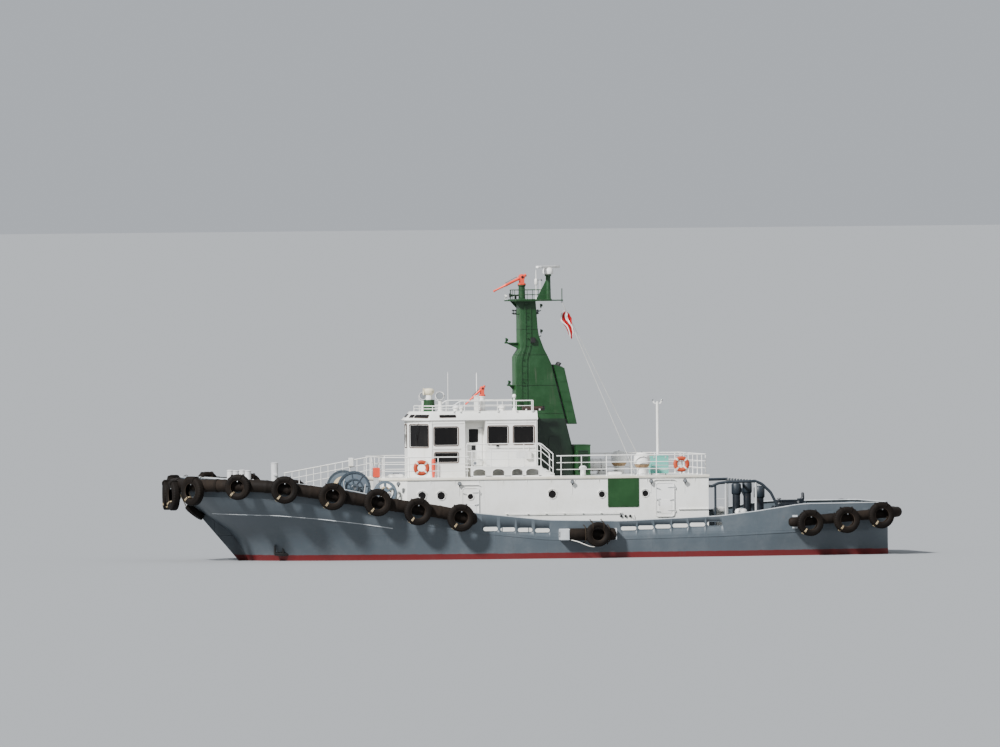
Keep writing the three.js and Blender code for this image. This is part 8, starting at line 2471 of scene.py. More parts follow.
@dataclass(frozen=True)
class Monitor:
    """A water monitor: place, pivot, barrel and how far it droops at rest."""

    name: str
    x: float
    y: float
    neck: float
    pivot: float
    barrel: float
    droop: float
    radius: float
    wheel: float = 0.1

    def build_base(self) -> None:
        """The swivel base with its gear ring, bolts, fork and handwheel."""
        r = self.radius
        half = r * 0.95
        swivel = Shell(f"monitor_{self.name}_base")
        neck = self.neck + 0.0002
        swivel.add(lathe([(r * 0.6, neck), (r * 1.3, neck), (r * 1.3, neck + 0.03), (r * 1.18, neck + 0.04),
                          (r * 1.18, neck + 0.06), (r * 0.8, neck + 0.09), (r * 0.3, neck + 0.09)],
                         (self.x, self.y, 0.0), sides=36))
        for k in range(12):
            bolt = lathe([(0.012, neck + 0.03), (0.012, neck + 0.042), (0.004, neck + 0.046)], (r * 1.24, 0.0, 0.0),
                         sides=6)
            swivel.add(bolt.turned("z", 30.0 * k).moved(self.x, self.y, 0.0), finish=1)
        for sign in (-1.0, 1.0):
            cheek_z = np.linspace(0.0, math.pi, 11)
            top = np.column_stack([r * 0.6 * np.cos(cheek_z), self.pivot + r * 0.6 * np.sin(cheek_z)])
            outline = np.concatenate([[(r * 0.62, self.neck + 0.012)], top, [(-r * 0.62, self.neck + 0.012)]])
            low, high = sorted((sign * (half + 0.0055), sign * (half + 0.058)))
            swivel.add(slab(outline, low, high, "y", 0.006).moved(self.x, self.y, 0.0))
            pin = [(r * 0.36, 0.0), (r * 0.36, sign * 0.018), (r * 0.2, sign * 0.026), (0.004, sign * 0.027)]
            swivel.add(lathe(pin, (self.x, self.y + sign * (half + 0.058), self.pivot), "y", 20), finish=1)
        swivel.add(block((self.x - r * 0.58, self.x + r * 0.58), (self.y - half - 0.05, self.y + half + 0.05),
                         (self.neck + 0.012, self.neck + 0.088), 0.008))
        hub = (self.x, self.y - half - 0.1, self.pivot - 0.08)
        swivel.add(torus(self.wheel, (0.009, 0.009), hub, "y", 22, 7), finish=1)
        swivel.add(bar([(self.x, self.y - half - 0.03, self.pivot - 0.08),
                        (self.x, self.y - half - 0.104, self.pivot - 0.08)], 0.014, 8), finish=1)
        for turn in (0, 90):
            spoke = self.wheel * np.array((math.cos(math.radians(turn)), 0.0, math.sin(math.radians(turn))))
            swivel.add(bar([hub - spoke, hub + spoke], 0.007, 6), finish=1)
        node = f"monitor_{self.name}_swivel"
        make(swivel, (RED, BLACK), node, [node])

    def build_barrel(self) -> None:
        """The trunnion, the barrel with its nozzle, two levers and a stay, drooped as it hangs at rest."""
        r = self.radius
        half = r * 0.95
        tube = Shell(f"monitor_{self.name}_gun")
        tube.add(lathe([(r * 0.7, -half + 0.001), (r * 0.9, -half + 0.012), (r * 0.9, half - 0.012),
                        (r * 0.7, half - 0.001)], (0.0, 0.0, 0.0), "y", 26))
        tube.add(lathe([(0.02, -half - 0.0045), (r * 0.38, -half - 0.0045), (r * 0.38, half + 0.0045),
                        (0.02, half + 0.0045)], (0.0, 0.0, 0.0), "y", 18))
        long = self.barrel
        barrel = [(0.03, -r * 1.5), (r * 0.48, -r * 1.5), (r * 0.5, -r * 1.42), (r * 0.5, -r * 1.2),
                  (r * 0.42, -r * 1.1), (r * 0.42, r * 1.2), (r * 0.5, r * 1.25), (r * 0.5, r * 1.5),
                  (r * 0.42, r * 1.55), (r * 0.4, long * 0.52), (r * 0.44, long * 0.53), (r * 0.44, long * 0.57),
                  (r * 0.34, long * 0.6), (r * 0.24, long * 0.93), (r * 0.32, long * 0.94), (r * 0.32, long - 0.003),
                  (r * 0.26, long), (r * 0.2, long - 0.03), (0.01, long - 0.06)]
        tube.add(lathe(barrel, (0.0, 0.0, 0.0), "x", 28))
        for sign in (-1.0, 1.0):
            tube.add(bar([(-r * 0.9, 0.0, 0.0), (-r * 1.35, sign * r * 0.5, 0.0), (-r * 1.7, sign * r * 0.58, 0.0)],
                         0.012, 7, 0.05), finish=1)
        tube.add(bar([(r * 1.4, 0.0, r * 0.44), (r * 1.4, 0.0, r * 0.75), (long * 0.55, 0.0, r * 0.6)], 0.01, 6,
                     0.05), finish=1)
        turned = tube.each(lambda patch: patch.turned("y", self.droop).moved(self.x, self.y, self.pivot))
        node = f"monitor_{self.name}_barrel"
        make(turned, (RED, BLACK), node, [node])

    def build(self) -> None:
        """Makes the monitor."""
        self.build_base()
        self.build_barrel()


MONITORS = (Monitor("mast", 0.25, 0.0, 12.3, 12.65, 1.45, 26.0, 0.15),
            Monitor("roof", 2.2, 0.5, 7.3, 7.64, 1.05, 43.0, 0.115))


@dataclass(frozen=True)
class Searchlight:
    """A searchlight: its post's place, can radius, the post's top, the can's middle and the way it faces."""

    name: str
    x: float
    y: float
    size: float
    post: float = 7.06
    centre: float = 7.33
    aim: float = 72.0

    def build(self) -> None:
        """Makes the yoke, the can with its cooling fins and rim, and the lens, and turns them to the aim."""
        shell = Shell(f"searchlight_{self.name}_lamp")
        size, low = self.size, self.post + 0.0002
        shell.add(lathe([(0.03, low), (0.09, low), (0.09, low + 0.03), (0.05, low + 0.045)], (0.0, 0.0, 0.0),
                        sides=24))
        reach = size + 0.026
        yoke = [(0.0, -reach, self.centre + 0.03), (0.0, -reach, self.post + 0.06), (0.0, reach, self.post + 0.06),
                (0.0, reach, self.centre + 0.03)]
        path = bent(yoke, 0.07, 5)
        flat = np.array([(-0.006, -0.028), (0.006, -0.028), (0.006, 0.028), (-0.006, 0.028)])
        along = np.gradient(path, axis=0)
        along /= np.linalg.norm(along, axis=1, keepdims=True)
        normal = np.column_stack([np.zeros(len(path)), -along[:, 2], along[:, 1]])
        rings = path[:, None, :] + flat[None, :,
                                        :1] * normal[:, None, :] + flat[None, :, 1:] * np.array((1.0, 0.0, 0.0))
        shell.add(skin(rings))
        can = [(0.03, -0.15), (size * 0.55, -0.148), (size * 0.75, -0.12), (size * 0.88, -0.05), (size * 0.9, 0.06),
               (size * 0.98, 0.09), (size, 0.1), (size, 0.148), (size * 0.93, 0.15), (size * 0.93, 0.12)]
        shell.add(lathe(can, (0.0, 0.0, self.centre), "x", 36))
        for back in (-0.11, -0.085, -0.06):
            shell.add(lathe([(size * 0.6, back - 0.004), (size * 0.98, back - 0.003), (size * 0.98, back + 0.003),
                             (size * 0.6, back + 0.004)], (0.0, 0.0, self.centre), "x", 30, closed=True))
        shell.add(lathe([(size * 0.93, 0.118), (size * 0.9, 0.13), (size * 0.5, 0.142), (0.004, 0.146)],
                        (0.0, 0.0, self.centre), "x", 32), finish=1)
        for sign in (-1.0, 1.0):
            shell.add(bar([(0.0, sign * size * 0.8, self.centre), (0.0, sign * (size + 0.036), self.centre)], 0.02,
                          12), finish=2)
        turned = shell.each(lambda patch: patch.turned("z", self.aim).moved(self.x, self.y, 0.0))
        make(turned, (WHITE_TRIM, LENS, BLACK), f"searchlight_{self.name}", [f"searchlight_{self.name}"])


SEARCHLIGHTS = (Searchlight("port", 4.13, 0.5, 0.19), Searchlight("starboard", 4.7, -0.6, 0.175))


@dataclass(frozen=True)
class Halyards:
    """Two taut lines from the mast's arm to the boat deck: their head, their feet, and where the toggles are."""

    head: tuple[float, float, float] = (-1.59, 0.0, 11.5)
    feet: tuple[tuple[float, float], ...] = ((-4.8, 0.5), (-5.5, -0.5))
    radius: float = 0.009
    toggles: tuple[float, float] = (11.1, 10.25)
    toggle_y: float = 0.118

    def port_line(self, z: float) -> tuple[float, float]:
        """Where the port halyard is at a height."""
        foot_x, foot_y = self.feet[0]
        share = (self.head[2] - z) / (self.head[2] - HOUSE.deck)
        return self.head[0] + (foot_x - self.head[0]) * share, foot_y * share

    def build(self) -> None:
        """Makes the lines with their cleats, and the toggles that hold the flag."""
        deck = HOUSE.deck + 0.0003
        rig = Shell("halyard_lines")
        for x, y in self.feet:
            foot = (x, y, deck + 0.05)
            rig.add(bar([foot, self.head], self.radius, 8))
            rig.add(slab(rounded(0.1, 0.06, 0.02, 4) + (x, y), deck, deck + 0.03, bevel=0.006), finish=1)
            rig.add(bar([(x - 0.06, y, deck + 0.055), (x + 0.06, y, deck + 0.055)], 0.011, 8), finish=1)
            rig.add(bar([(x, y, deck + 0.02), (x, y, deck + 0.055)], 0.01, 8), finish=1)
        rig.add(block((-1.605, -1.575), (-0.012, 0.012), (11.48, 11.56), 0.004), finish=1)
        for z in self.toggles:
            x, y = self.port_line(z)
            rig.add(bar([(x, y - 0.004, z), (x, self.toggle_y, z)], 0.012, 8), finish=1)
        make(rig, (WHITE_ROPE, STEEL_WIRE), ROOT, ["halyards"])


@dataclass(frozen=True)
class Flag:
    """The red and white flag, gathered at its hoist: its middle, size, lean, and share of width at each height."""

    place: tuple[float, float, float] = (-1.86, 0.15, 10.49)
    wide: float = 0.92
    tall: float = 1.36
    lean: float = 14.0
    thick: float = 0.003
    steps: tuple[int, int] = (72, 88)
    gather: tuple[tuple[float, ...], tuple[float, ...]] = (
        (0.0, 0.1, 0.3, 0.55, 0.85, 1.0), (0.12, 0.4, 0.56, 0.34, 0.26, 0.12))

    def build(self) -> None:
        """Makes the cloth: folds are a sine across it whose phase wanders down it, and the cloth leans aft."""
        columns, rows = self.steps
        across, down = np.meshgrid(np.linspace(0.0, 1.0, columns), np.linspace(0.0, 1.0, rows), indexing="ij")
        spread = np.interp(down, *self.gather)
        lean_out = 0.07 * np.sin(down * 5.2) * (1.0 - down)
        x = (across - 0.5) * self.wide * spread + lean_out
        fold = 0.026 * np.sin(across * 9.0 * math.pi + 0.7 *
                              np.sin(4.0 * down)) * (0.8 + 0.2 * np.sin(9.0 * down + across))
        swell = 0.006 * np.sin(14.0 * down + 3.0 * across)
        z = -(down - 0.5) * self.tall * (0.84 + 0.16 * across) + 0.02 * np.sin(across * 5.0 + 1.0) * down
        lean = math.radians(self.lean)
        grid = np.stack([x * math.cos(lean) + z * math.sin(lean), fold + swell,
                         -x * math.sin(lean) + z * math.cos(lean)], axis=-1) + self.place
        first = np.arange(columns - 1)[:, None] * rows + np.arange(rows - 1)[None, :]
        quads = np.stack([first, first + rows, first + rows + 1, first + 1], axis=-1).reshape(-1, 4)
        centre = 0.55 + 0.16 * np.sin(down[:-1, :-1] * 7.0)
        near = np.abs(across[:-1, :-1] - centre)
        stripe = ((near > 0.13 + 0.12 * down[:-1, :-1]) &
                  (near < 0.46 - 0.1 * np.sin(down[:-1, :-1] * 4.0))).reshape(-1)
        shell = Shell("signal_flag")
        shell.add(Patch(grid.reshape(-1, 3), (quads[~stripe], quads[stripe])), finish=(0, 1))
        flag = make(shell, (FLAG_RED, FLAG_WHITE), ROOT, ["flag"])
        thick = flag.modifiers.new("cloth thickness", "SOLIDIFY")
        thick.thickness = self.thick
        thick.offset = 0.0


# Deck gear

@dataclass(frozen=True)
class Winch:
    """The towing winch on the foredeck."""

    x: float = 8.27
    z: float = 3.23
    shaft: float = 0.08
    drum: float = 0.43
    flange: float = 0.77
    rim: float = 0.66
    half: float = 1.5
    cheek_in: float = 1.56
    cheek_out: float = 1.67
    cheek_half: float = 0.48
    head_half: float = 0.19
    spokes: int = 8
    rope: float = 0.062
    turns: int = 22
    per_turn: int = 40

    def build_drum(self) -> None:
        """The shaft, the drum with its spoked and bolted ends, and one layer of wound rope."""
        centre = (self.x, 0.0, self.z)
        drum = Shell("winch_reel")
        shaft = [(0.004, -self.cheek_out), (self.shaft - 0.0005, -self.cheek_out),
                 (self.shaft - 0.0005, self.cheek_out), (0.004, self.cheek_out)]
        drum.add(lathe(shaft, centre, "y", 40), finish=2)
        core = [(0.05, -self.half + 0.045), (self.drum - 0.06, -self.half + 0.045),
                (self.drum - 0.06, self.half - 0.045), (0.05, self.half - 0.045)]
        drum.add(lathe(core, centre, "y", 48))
        for low in (-self.half, self.half - 0.045):
            drum.add(annulus(self.rim, self.flange, low, low + 0.045, 0.01, centre), finish=1)
            inner = low + 0.03 if low < 0 else low + 0.003
            drum.add(annulus(0.19, self.rim + 0.01, inner, inner + 0.012, 0.003, centre), finish=4)
            drum.add(annulus(self.shaft - 0.002, 0.2, low - 0.006, low + 0.051, 0.012, centre, 40))
            drum.add(annulus(0.36, self.drum, low, low + 0.045, 0.008, centre, 64))
            # The spokes keep the darker winch blue against the paler disc: their dark lines are painted shade of the
            # ribs.
            for k in range(self.spokes):
                spoke = slab([(-0.03, 0.17), (-0.016, self.rim + 0.02), (0.016, self.rim + 0.02), (0.03, 0.17)],
                             low + 0.004, low + 0.041, "y", 0.008)
                drum.add(spoke.turned("y", 360.0 / self.spokes * k + 8.0).moved(self.x, 0.0, self.z))
            for k in range(2 * self.spokes):
                bolt = lathe([(0.012, -0.006), (0.012, 0.051), (0.004, 0.054)], (self.rim + 0.055, low, 0.0), "y", 6)
                drum.add(bolt.turned("y", 360.0 / (2 * self.spokes) * k).moved(self.x, 0.0, self.z), finish=2)
        angle = np.linspace(0.0, 2 * math.pi * self.turns, self.turns * self.per_turn)
        layer = self.drum - 0.055
        gone = angle / angle[-1]
        radius = layer + 0.052 + 0.006 * np.sin(7.3 * gone * self.turns)
        y = -self.half + 0.12 + (2 * self.half - 0.24) * gone + 0.008 * np.sin(angle * 0.5)
        line = np.column_stack([self.x + radius * np.cos(angle), y, self.z + radius * np.sin(angle)])
        drum.add(sweep(line, circle(self.rope, 8)), finish=3)
        make(drum, (WINCH_BLUE, WINCH_BLUE, STEEL_WIRE, ROPE, WINCH_PALE), "winch_drum", ["winch_drum"])

    def build_frame(self) -> None:
        """The cheeks with their bearings, the sills, the motor and its pipes, the brake bars and the control stand."""
        frame = Shell("winch_stand")
        deck_fore, deck_aft = float(FORM.deck(self.x + self.cheek_half)), float(FORM.deck(self.x - self.cheek_half))
        cheek = [(self.x - self.cheek_half, deck_aft + 0.001), (self.x + self.cheek_half, deck_fore + 0.001),
                 (self.x + self.head_half, self.z + 0.11), (self.x + 0.1, self.z + 0.15),
                 (self.x - 0.1, self.z + 0.15), (self.x - self.head_half, self.z + 0.11)]
        bore = circle(self.shaft + 0.001, 40) + (self.x, self.z)
        for low, high in ((self.cheek_in, self.cheek_out), (-self.cheek_out, -self.cheek_in)):
            frame.add(holed(np.array(cheek), bore, low, high))
            ring = [(self.shaft + 0.002, 0.0), (0.17, 0.0), (0.17, 0.03), (0.15, 0.045), (self.shaft + 0.002, 0.045)]
            if low > 0:
                frame.add(lathe(ring, (self.x, high, self.z), "y", 40, closed=True))
        for dx in (-self.cheek_half, self.cheek_half - 0.16):
            top = float(FORM.deck(self.x + dx)) + 0.16
            frame.add(block((self.x + dx, self.x + dx + 0.16), (-self.cheek_in - 0.05, self.cheek_in + 0.05),
                            (top - 0.2, top), 0.012))
        motor_low = deck_aft - 0.02
        frame.add(block((self.x - 0.38, self.x + 0.38), (-2.35, -1.94), (motor_low, self.z + 0.2), 0.035))
        frame.add(block((self.x - 0.33, self.x + 0.33), (-1.94, -1.69), (motor_low, self.z + 0.12), 0.03))
        for z in np.arange(2.55, 3.35, 0.1):
            frame.add(block((self.x - 0.39, self.x + 0.39), (-2.3, -1.99), (z, z + 0.02), 0.006))
        frame.add(lathe([(0.02, -2.33), (0.2, -2.33), (0.22, -2.3), (0.22, -2.0), (0.02, -2.0)],
                        (self.x, 0.0, self.z + 0.21), "y", 32))
        frame.add(bar([(self.x - 0.3, -2.1, self.z + 0.2), (self.x - 0.55, -2.1, self.z + 0.1),
                       (self.x - 0.62, -2.1, 2.32)], 0.03, 10, 0.12), finish=2)
        frame.add(bar([(self.x - 0.24, -2.2, self.z + 0.2), (self.x - 0.62, -2.22, self.z + 0.02),
                       (self.x - 0.7, -2.22, 2.3)], 0.022, 9, 0.1), finish=2)
        frame.add(bar([(self.x + 0.36, 1.615, 2.5), (self.x + 0.5, 1.615, 3.5), (self.x + 0.44, 1.615, 3.62)], 0.018,
                      9, 0.05), finish=1)
        frame.add(bar([(self.x - 0.36, 1.615, 2.5), (self.x - 0.5, 1.615, 3.4)], 0.018, 9), finish=1)
        frame.add(block((7.2, 7.42), (1.7, 1.9), (float(FORM.deck(7.3)) - 0.02, 3.88), 0.02), finish=1)
        frame.add(block((7.16, 7.44), (1.64, 1.94), (3.7, 4.14), 0.025), finish=3)
        for x, lean in ((7.24, -12.0), (7.38, 9.0)):
            lever = bar([(0.0, 0.0, 0.0), (0.0, 0.0, 0.2)], 0.008, 7).turned("y", lean)
            knob = lathe([(0.004, 0.18), (0.02, 0.19), (0.02, 0.215), (0.004, 0.225)], (0.0, 0.0, 0.0),
                         sides=12).turned("y", lean)
            frame.add(lever.moved(x, 1.8, 4.135), finish=2)
            frame.add(knob.moved(x, 1.8, 4.135), finish=2)
        make(frame, (WINCH_BLUE, PALE_WEAR, BLACK, RED), ROOT, ["winch_frame"])

    def build(self) -> None:
        """Makes the drum and the frame."""
        self.build_drum()
        self.build_frame()


WINCH = Winch()


def annulus(inner: float, outer: float, low: float, high: float, soft: float, centre: Sequence[float],
            sides: int = 72) -> Patch:
    """A flat ring across the Y axis with soft edges."""
    profile = [(inner, low), (outer - soft, low), (outer, low + soft), (outer, high - soft), (outer - soft, high),
               (inner, high)]
    return lathe(profile, centre, "y", sides, closed=True)


@dataclass(frozen=True)
class RopeReel:
    """The rope reel on the deckhouse's side: its axis, its flanges across the boat and its rope."""

    x: float = 7.15
    z: float = 3.06
    flanges: tuple[float, float] = (3.06, 3.402)
    rope: float = 0.027
    turns: int = 9
    per_turn: int = 36

    def build(self) -> None:
        """Makes the spoked flanges, the barrel, the wound rope and the crank."""
        reel = Shell("rope_reel_wound")
        x, z = self.x, self.z
        for low in self.flanges:
            reel.add(annulus(0.4, 0.5, low, low + 0.038, 0.008, (x, 0.0, z), 64))
            reel.add(annulus(0.03, 0.13, low, low + 0.038, 0.008, (x, 0.0, z), 32))
            for k in range(6):
                spoke = slab([(-0.035, 0.11), (-0.028, 0.42), (0.028, 0.42), (0.035, 0.11)], low + 0.004, low + 0.034,
                             "y", 0.006)
                reel.add(spoke.turned("y", 60.0 * k).moved(x, 0.0, z))
        reel.add(lathe([(0.02, 3.07), (0.17, 3.07), (0.17, 3.43), (0.02, 3.43)], (x, 0.0, z), "y", 32))
        angle = np.linspace(0.0, 2 * math.pi * self.turns, self.turns * self.per_turn)
        radius = 0.2 + 0.016 * np.floor(angle / (2 * math.pi) / 4.5)
        sweep_y = 3.12 + 0.26 * np.abs(((angle / (2 * math.pi) / 4.5) % 2) - 1)
        line = np.column_stack([x + radius * np.cos(angle), sweep_y, z + radius * np.sin(angle)])
        reel.add(sweep(line, circle(self.rope, 7)), finish=1)
        reel.add(bar([(x + 0.2, 3.441, z), (x + 0.2, 3.5, z)], 0.012, 8),
                 lathe([(0.018, 3.44), (0.02, 3.5), (0.012, 3.52)], (x + 0.2, 0.0, z), "y", 12), finish=2)
        make(reel, (WINCH_PALE, ROPE, BLACK), "rope_reel", ["rope_reel"])


def holed(outline: Array, hole: Array, low: float, high: float) -> Patch:
    """A plate across the Y axis with a round hole through it.

    Args:
        outline: The plate's corners as x, z.
        hole: The hole's points as x, z, evenly spaced round it.
        low: The plate's inner face.
        high: Its outer face.

    Returns:
        One closed ring whose outer edge, at each hole point, is where the ray from the hole's middle through
        that point meets the outline.
    """
    middle = hole.mean(axis=0)
    ring = []
    starts, ends = outline, np.roll(outline, -1, axis=0)
    corner_angles = np.arctan2(outline[:, 1] - middle[1], outline[:, 0] - middle[0])
    angles = np.sort(np.concatenate([np.arctan2(hole[:, 1] - middle[1], hole[:, 0] - middle[0]), corner_angles]))
    angles = angles[np.concatenate([[True], np.diff(angles) > 1e-4])]
    radius = float(np.linalg.norm(hole[0] - middle))
    for angle in angles:
        ray = np.array([math.cos(angle), math.sin(angle)])
        run = ends - starts
        cross = ray[0] * run[:, 1] - ray[1] * run[:, 0]
        offset = starts - middle
        reach = (offset[:, 0] * run[:, 1] - offset[:, 1] * run[:, 0]) / np.where(np.abs(cross) < 1e-9, 1e-9, cross)
        along = (offset[:, 0] * ray[1] - offset[:, 1] * ray[0]) / np.where(np.abs(cross) < 1e-9, 1e-9, cross)
        valid = (reach > 0) & (along >= -1e-6) & (along <= 1 + 1e-6)
        ring.append(middle + ray * float(reach[valid].min()))
    outer = np.array(ring)
    inner = middle + radius * np.column_stack([np.cos(angles), np.sin(angles)])
    soft = 0.01
    pulled = outer + (inner - outer) / np.linalg.norm(inner - outer, axis=1, keepdims=True) * soft
    levels = [(inner, low), (pulled, low), (outer, low + soft), (outer, high - soft), (pulled, high), (inner, high)]
    return skin(stacked(levels, "y"), wrap=True)


def bollard(x: float, y: float, radius: float, deck: float, top: float, over: float) -> Patch:
    """A bollard post with a domed cap that overhangs it."""
    cap = radius + over
    profile = [(radius * 1.35, deck - 0.02), (radius * 1.35, deck + 0.03), (radius * 1.04, deck + 0.09),
               (radius, deck + 0.14), (radius, top - 0.12), (cap - 0.015, top - 0.07), (cap, top - 0.05),
               (cap, top - 0.025), (cap - 0.03, top - 0.007), (cap * 0.5, top), (0.004, top)]
    return lathe(profile, (x, y, 0.0), sides=36)


@dataclass(frozen=True)
class Bitts:
    """A pair of double bollards: places along and across the boat, post radius, cap height, and the crossbar's."""

    name: str
    y: float
    posts: tuple[float, float]
    radius: float
    top: float
    level: float

    def build(self) -> None:
        """Makes the posts, the crossbar and the bolted foot plate on each side."""
        shell = Shell(f"{self.name}_bitts")
        reach = self.radius * 1.9
        deck = float(FORM.deck(np.array(self.posts)).max())
        for x in self.posts:
            shell.add(bollard(x, self.y, self.radius, deck + 0.05, self.top, 0.012))
        shell.add(lathe([(0.004, self.posts[0] - reach), (self.radius * 0.46, self.posts[0] - reach),
                         (self.radius * 0.5, self.posts[0] - reach + 0.02),
                         (self.radius * 0.5, self.posts[1] + reach - 0.02),
                         (self.radius * 0.46, self.posts[1] + reach), (0.004, self.posts[1] + reach)],
                        (0.0, self.y, self.level), "x", 20))
        plate = rounded(self.posts[1] - self.posts[0] + 2 * reach - 0.02, 2 * reach - 0.02, 0.06,
                        5) + (sum(self.posts) / 2, self.y)
        low = float(FORM.deck(np.array(self.posts)).min()) - 0.03
        shell.add(slab(plate, low, deck + 0.058, bevel=0.012))
        for x in (self.posts[0] - reach + 0.07, sum(self.posts) / 2, self.posts[1] + reach - 0.07):
            for side in (-1.0, 1.0):
                bolt = [(0.018, deck + 0.05), (0.018, deck + 0.074), (0.005, deck + 0.08)]
                shell.add(lathe(bolt, (x, self.y + side * (reach - 0.06), 0.0), sides=6), finish=1)
        for side, sign in SIDES:
            make(shell.side(sign).named(f"{self.name}_bitts_{side}_posts"), (BOLLARD, STEEL_WIRE), ROOT,
                 [f"{self.name}_bitts_{side}"])


BITTS = (Bitts("fore", 0.8, (13.0, 13.55), 0.14, 4.08, 3.6), Bitts("stern", 2.6, (-15.25, -14.8), 0.11, 2.1, 1.8))


@dataclass(frozen=True)
class TowPost:
    """The tall towing post on the foredeck: its place, radius, top and the height of its crossbar."""

    x: float = 11.65
    radius: float = 0.16
    top: float = 4.4
    cross: float = 3.85

    def build(self) -> None:
        """Makes the post, its crossbar, webs and bolted foot."""
        post = Shell("bow_post_and_cross")
        x, deck = self.x, float(FORM.deck(self.x))
        post.add(bollard(x, 0.0, self.radius, deck + 0.09, self.top, 0.008))
        cross = [(0.004, -0.42), (0.05, -0.42), (0.07, -0.4), (0.07, 0.4), (0.05, 0.42), (0.004, 0.42)]
        post.add(lathe(cross, (x, 0.0, self.cross), "y", 22))
        post.add(slab(rounded(0.7, 0.7, 0.06, 5) + (x, 0.0), deck - 0.06, deck + 0.098, bevel=0.015))
        for turn in range(0, 360, 90):
            web = slab([(0.15, deck + 0.09), (0.32, deck + 0.09), (0.15, deck + 0.42)], -0.012, 0.012, "y", 0.004)
            post.add(web.turned("z", turn).moved(x, 0.0, 0.0))
        for dx in (-0.29, 0.29):
            for dy in (-0.29, 0.29):
                post.add(lathe([(0.02, deck + 0.09), (0.02, deck + 0.12), (0.006, deck + 0.126)], (x + dx, dy, 0.0),
                               sides=6), finish=1)
        make(post, (BOLLARD, STEEL_WIRE), ROOT, ["bow_tow_post"])


@dataclass(frozen=True)
class Anchors:
    """The bow anchors, stowed against the flare under the fender, and the place of the port one."""

    x: float = 11.67
    y: float = 2.29
    z: float = 0.43

    def build(self) -> None:
        """Makes shank, crown, arms, flukes and ring of both."""
        x, y, z = self.x, self.y, self.z
        shell = Shell("anchor")
        shell.add(slab([(x - 0.045, z - 0.08), (x + 0.045, z - 0.08), (x + 0.035, z + 0.28), (x - 0.035, z + 0.28)],
                       y - 0.02, y + 0.085, "y", 0.014))
        shell.add(lathe([(0.02, -0.4), (0.075, -0.38), (0.09, -0.2), (0.1, 0.0), (0.09, 0.2), (0.075, 0.38),
                         (0.02, 0.4)], (x, y - 0.03, z - 0.115), "x", 18))
        for side in (-1.0, 1.0):
            fluke = [(x + side * 0.33, z - 0.18), (x + side * 0.418, z - 0.12), (x + side * 0.415, z + 0.12),
                     (x + side * 0.375, z + 0.295), (x + side * 0.335, z + 0.12), (x + side * 0.31, z - 0.1)]
            shell.add(slab(fluke, y - 0.1, y + 0.055, "y", 0.02))
        ring = level_ring(circle(1.0, 14) * (0.06, 0.035) + (x, z + 0.24), y + 0.04, "y")
        shell.add(bar(ring, 0.014, 7, wrap=True), finish=1)
        for side, sign in SIDES:
            make(shell.side(sign).named(f"anchor_{side}_flukes"), (BLACK, STEEL_WIRE), ROOT, [f"anchor_{side}"])


@dataclass(frozen=True)
class TowArch:
    """The guard arch over the tow rope: half its breadth, its tube, its foot and its line from the deckhouse aft."""

    half: float = 3.5
    tube: float = 0.065
    foot: float = -10.9
    line: tuple[tuple[float, float], ...] = ((-7.76, 3.15), (-8.05, 3.29), (-8.7, 3.34), (-9.75, 3.36),
                                             (-10.05, 3.23), (-10.45, 2.85), (-10.76, 2.22))

    def build(self) -> None:
        """Makes both sides with their posts and feet, the crossbars and the collars."""
        half, tube = self.half, self.tube
        foot_z = float(FORM.deck(self.foot)) + 0.001
        line = [*self.line, (self.foot, foot_z)]
        arch = Shell("towing_arch_bars")
        for y in (half, -half):
            arch.add(bar([(x, y, z) for x, z in line], tube, 18, 0.1))
            for x, part in ((-7.91, 0), (-8.39, 1), (-9.77, 1)):
                top = float(np.interp(x, [p[0] for p in line[::-1]], [p[1] for p in line[::-1]]))
                deck = float(FORM.deck(x))
                arch.add(bar([(x, y, deck + 0.001), (x, y, top)], tube * 0.8, 14), finish=part)
                arch.add(lathe([(0.1, deck + 0.001), (0.1, deck + 0.02), (tube * 0.85, deck + 0.05)], (x, y, 0.0),
                               sides=18), finish=part)
            arch.add(lathe([(0.12, 0.0), (0.12, 0.02), (tube * 1.05, 0.06)], (self.foot, y, foot_z), sides=18))
            arch.add(slab([(-7.91, 2.55), (-8.39, 2.55), (-8.39, 2.59), (-7.91, 2.59)], y - 0.02, y + 0.02, "y",
                          0.006), finish=1)
        for x, z in ((-9.75, 3.36), (-7.76, 3.15)):
            arch.add(lathe([(0.02, -half), (tube, -half), (tube, half), (0.02, half)], (x, 0.0, z), "y", 18))
        for y in np.arange(-2.8, 2.81, 0.7):
            arch.add(lathe([(tube + 0.014, -0.03), (tube + 0.014, 0.03), (tube, 0.035), (tube, -0.035)],
                           (-9.75, float(y), 3.36), "y", 18, closed=True), finish=1)
        make(arch, (NAVY_TOP, PALE_WEAR), ROOT, ["tow_arch"])


TOW_PIN_X = -11.5


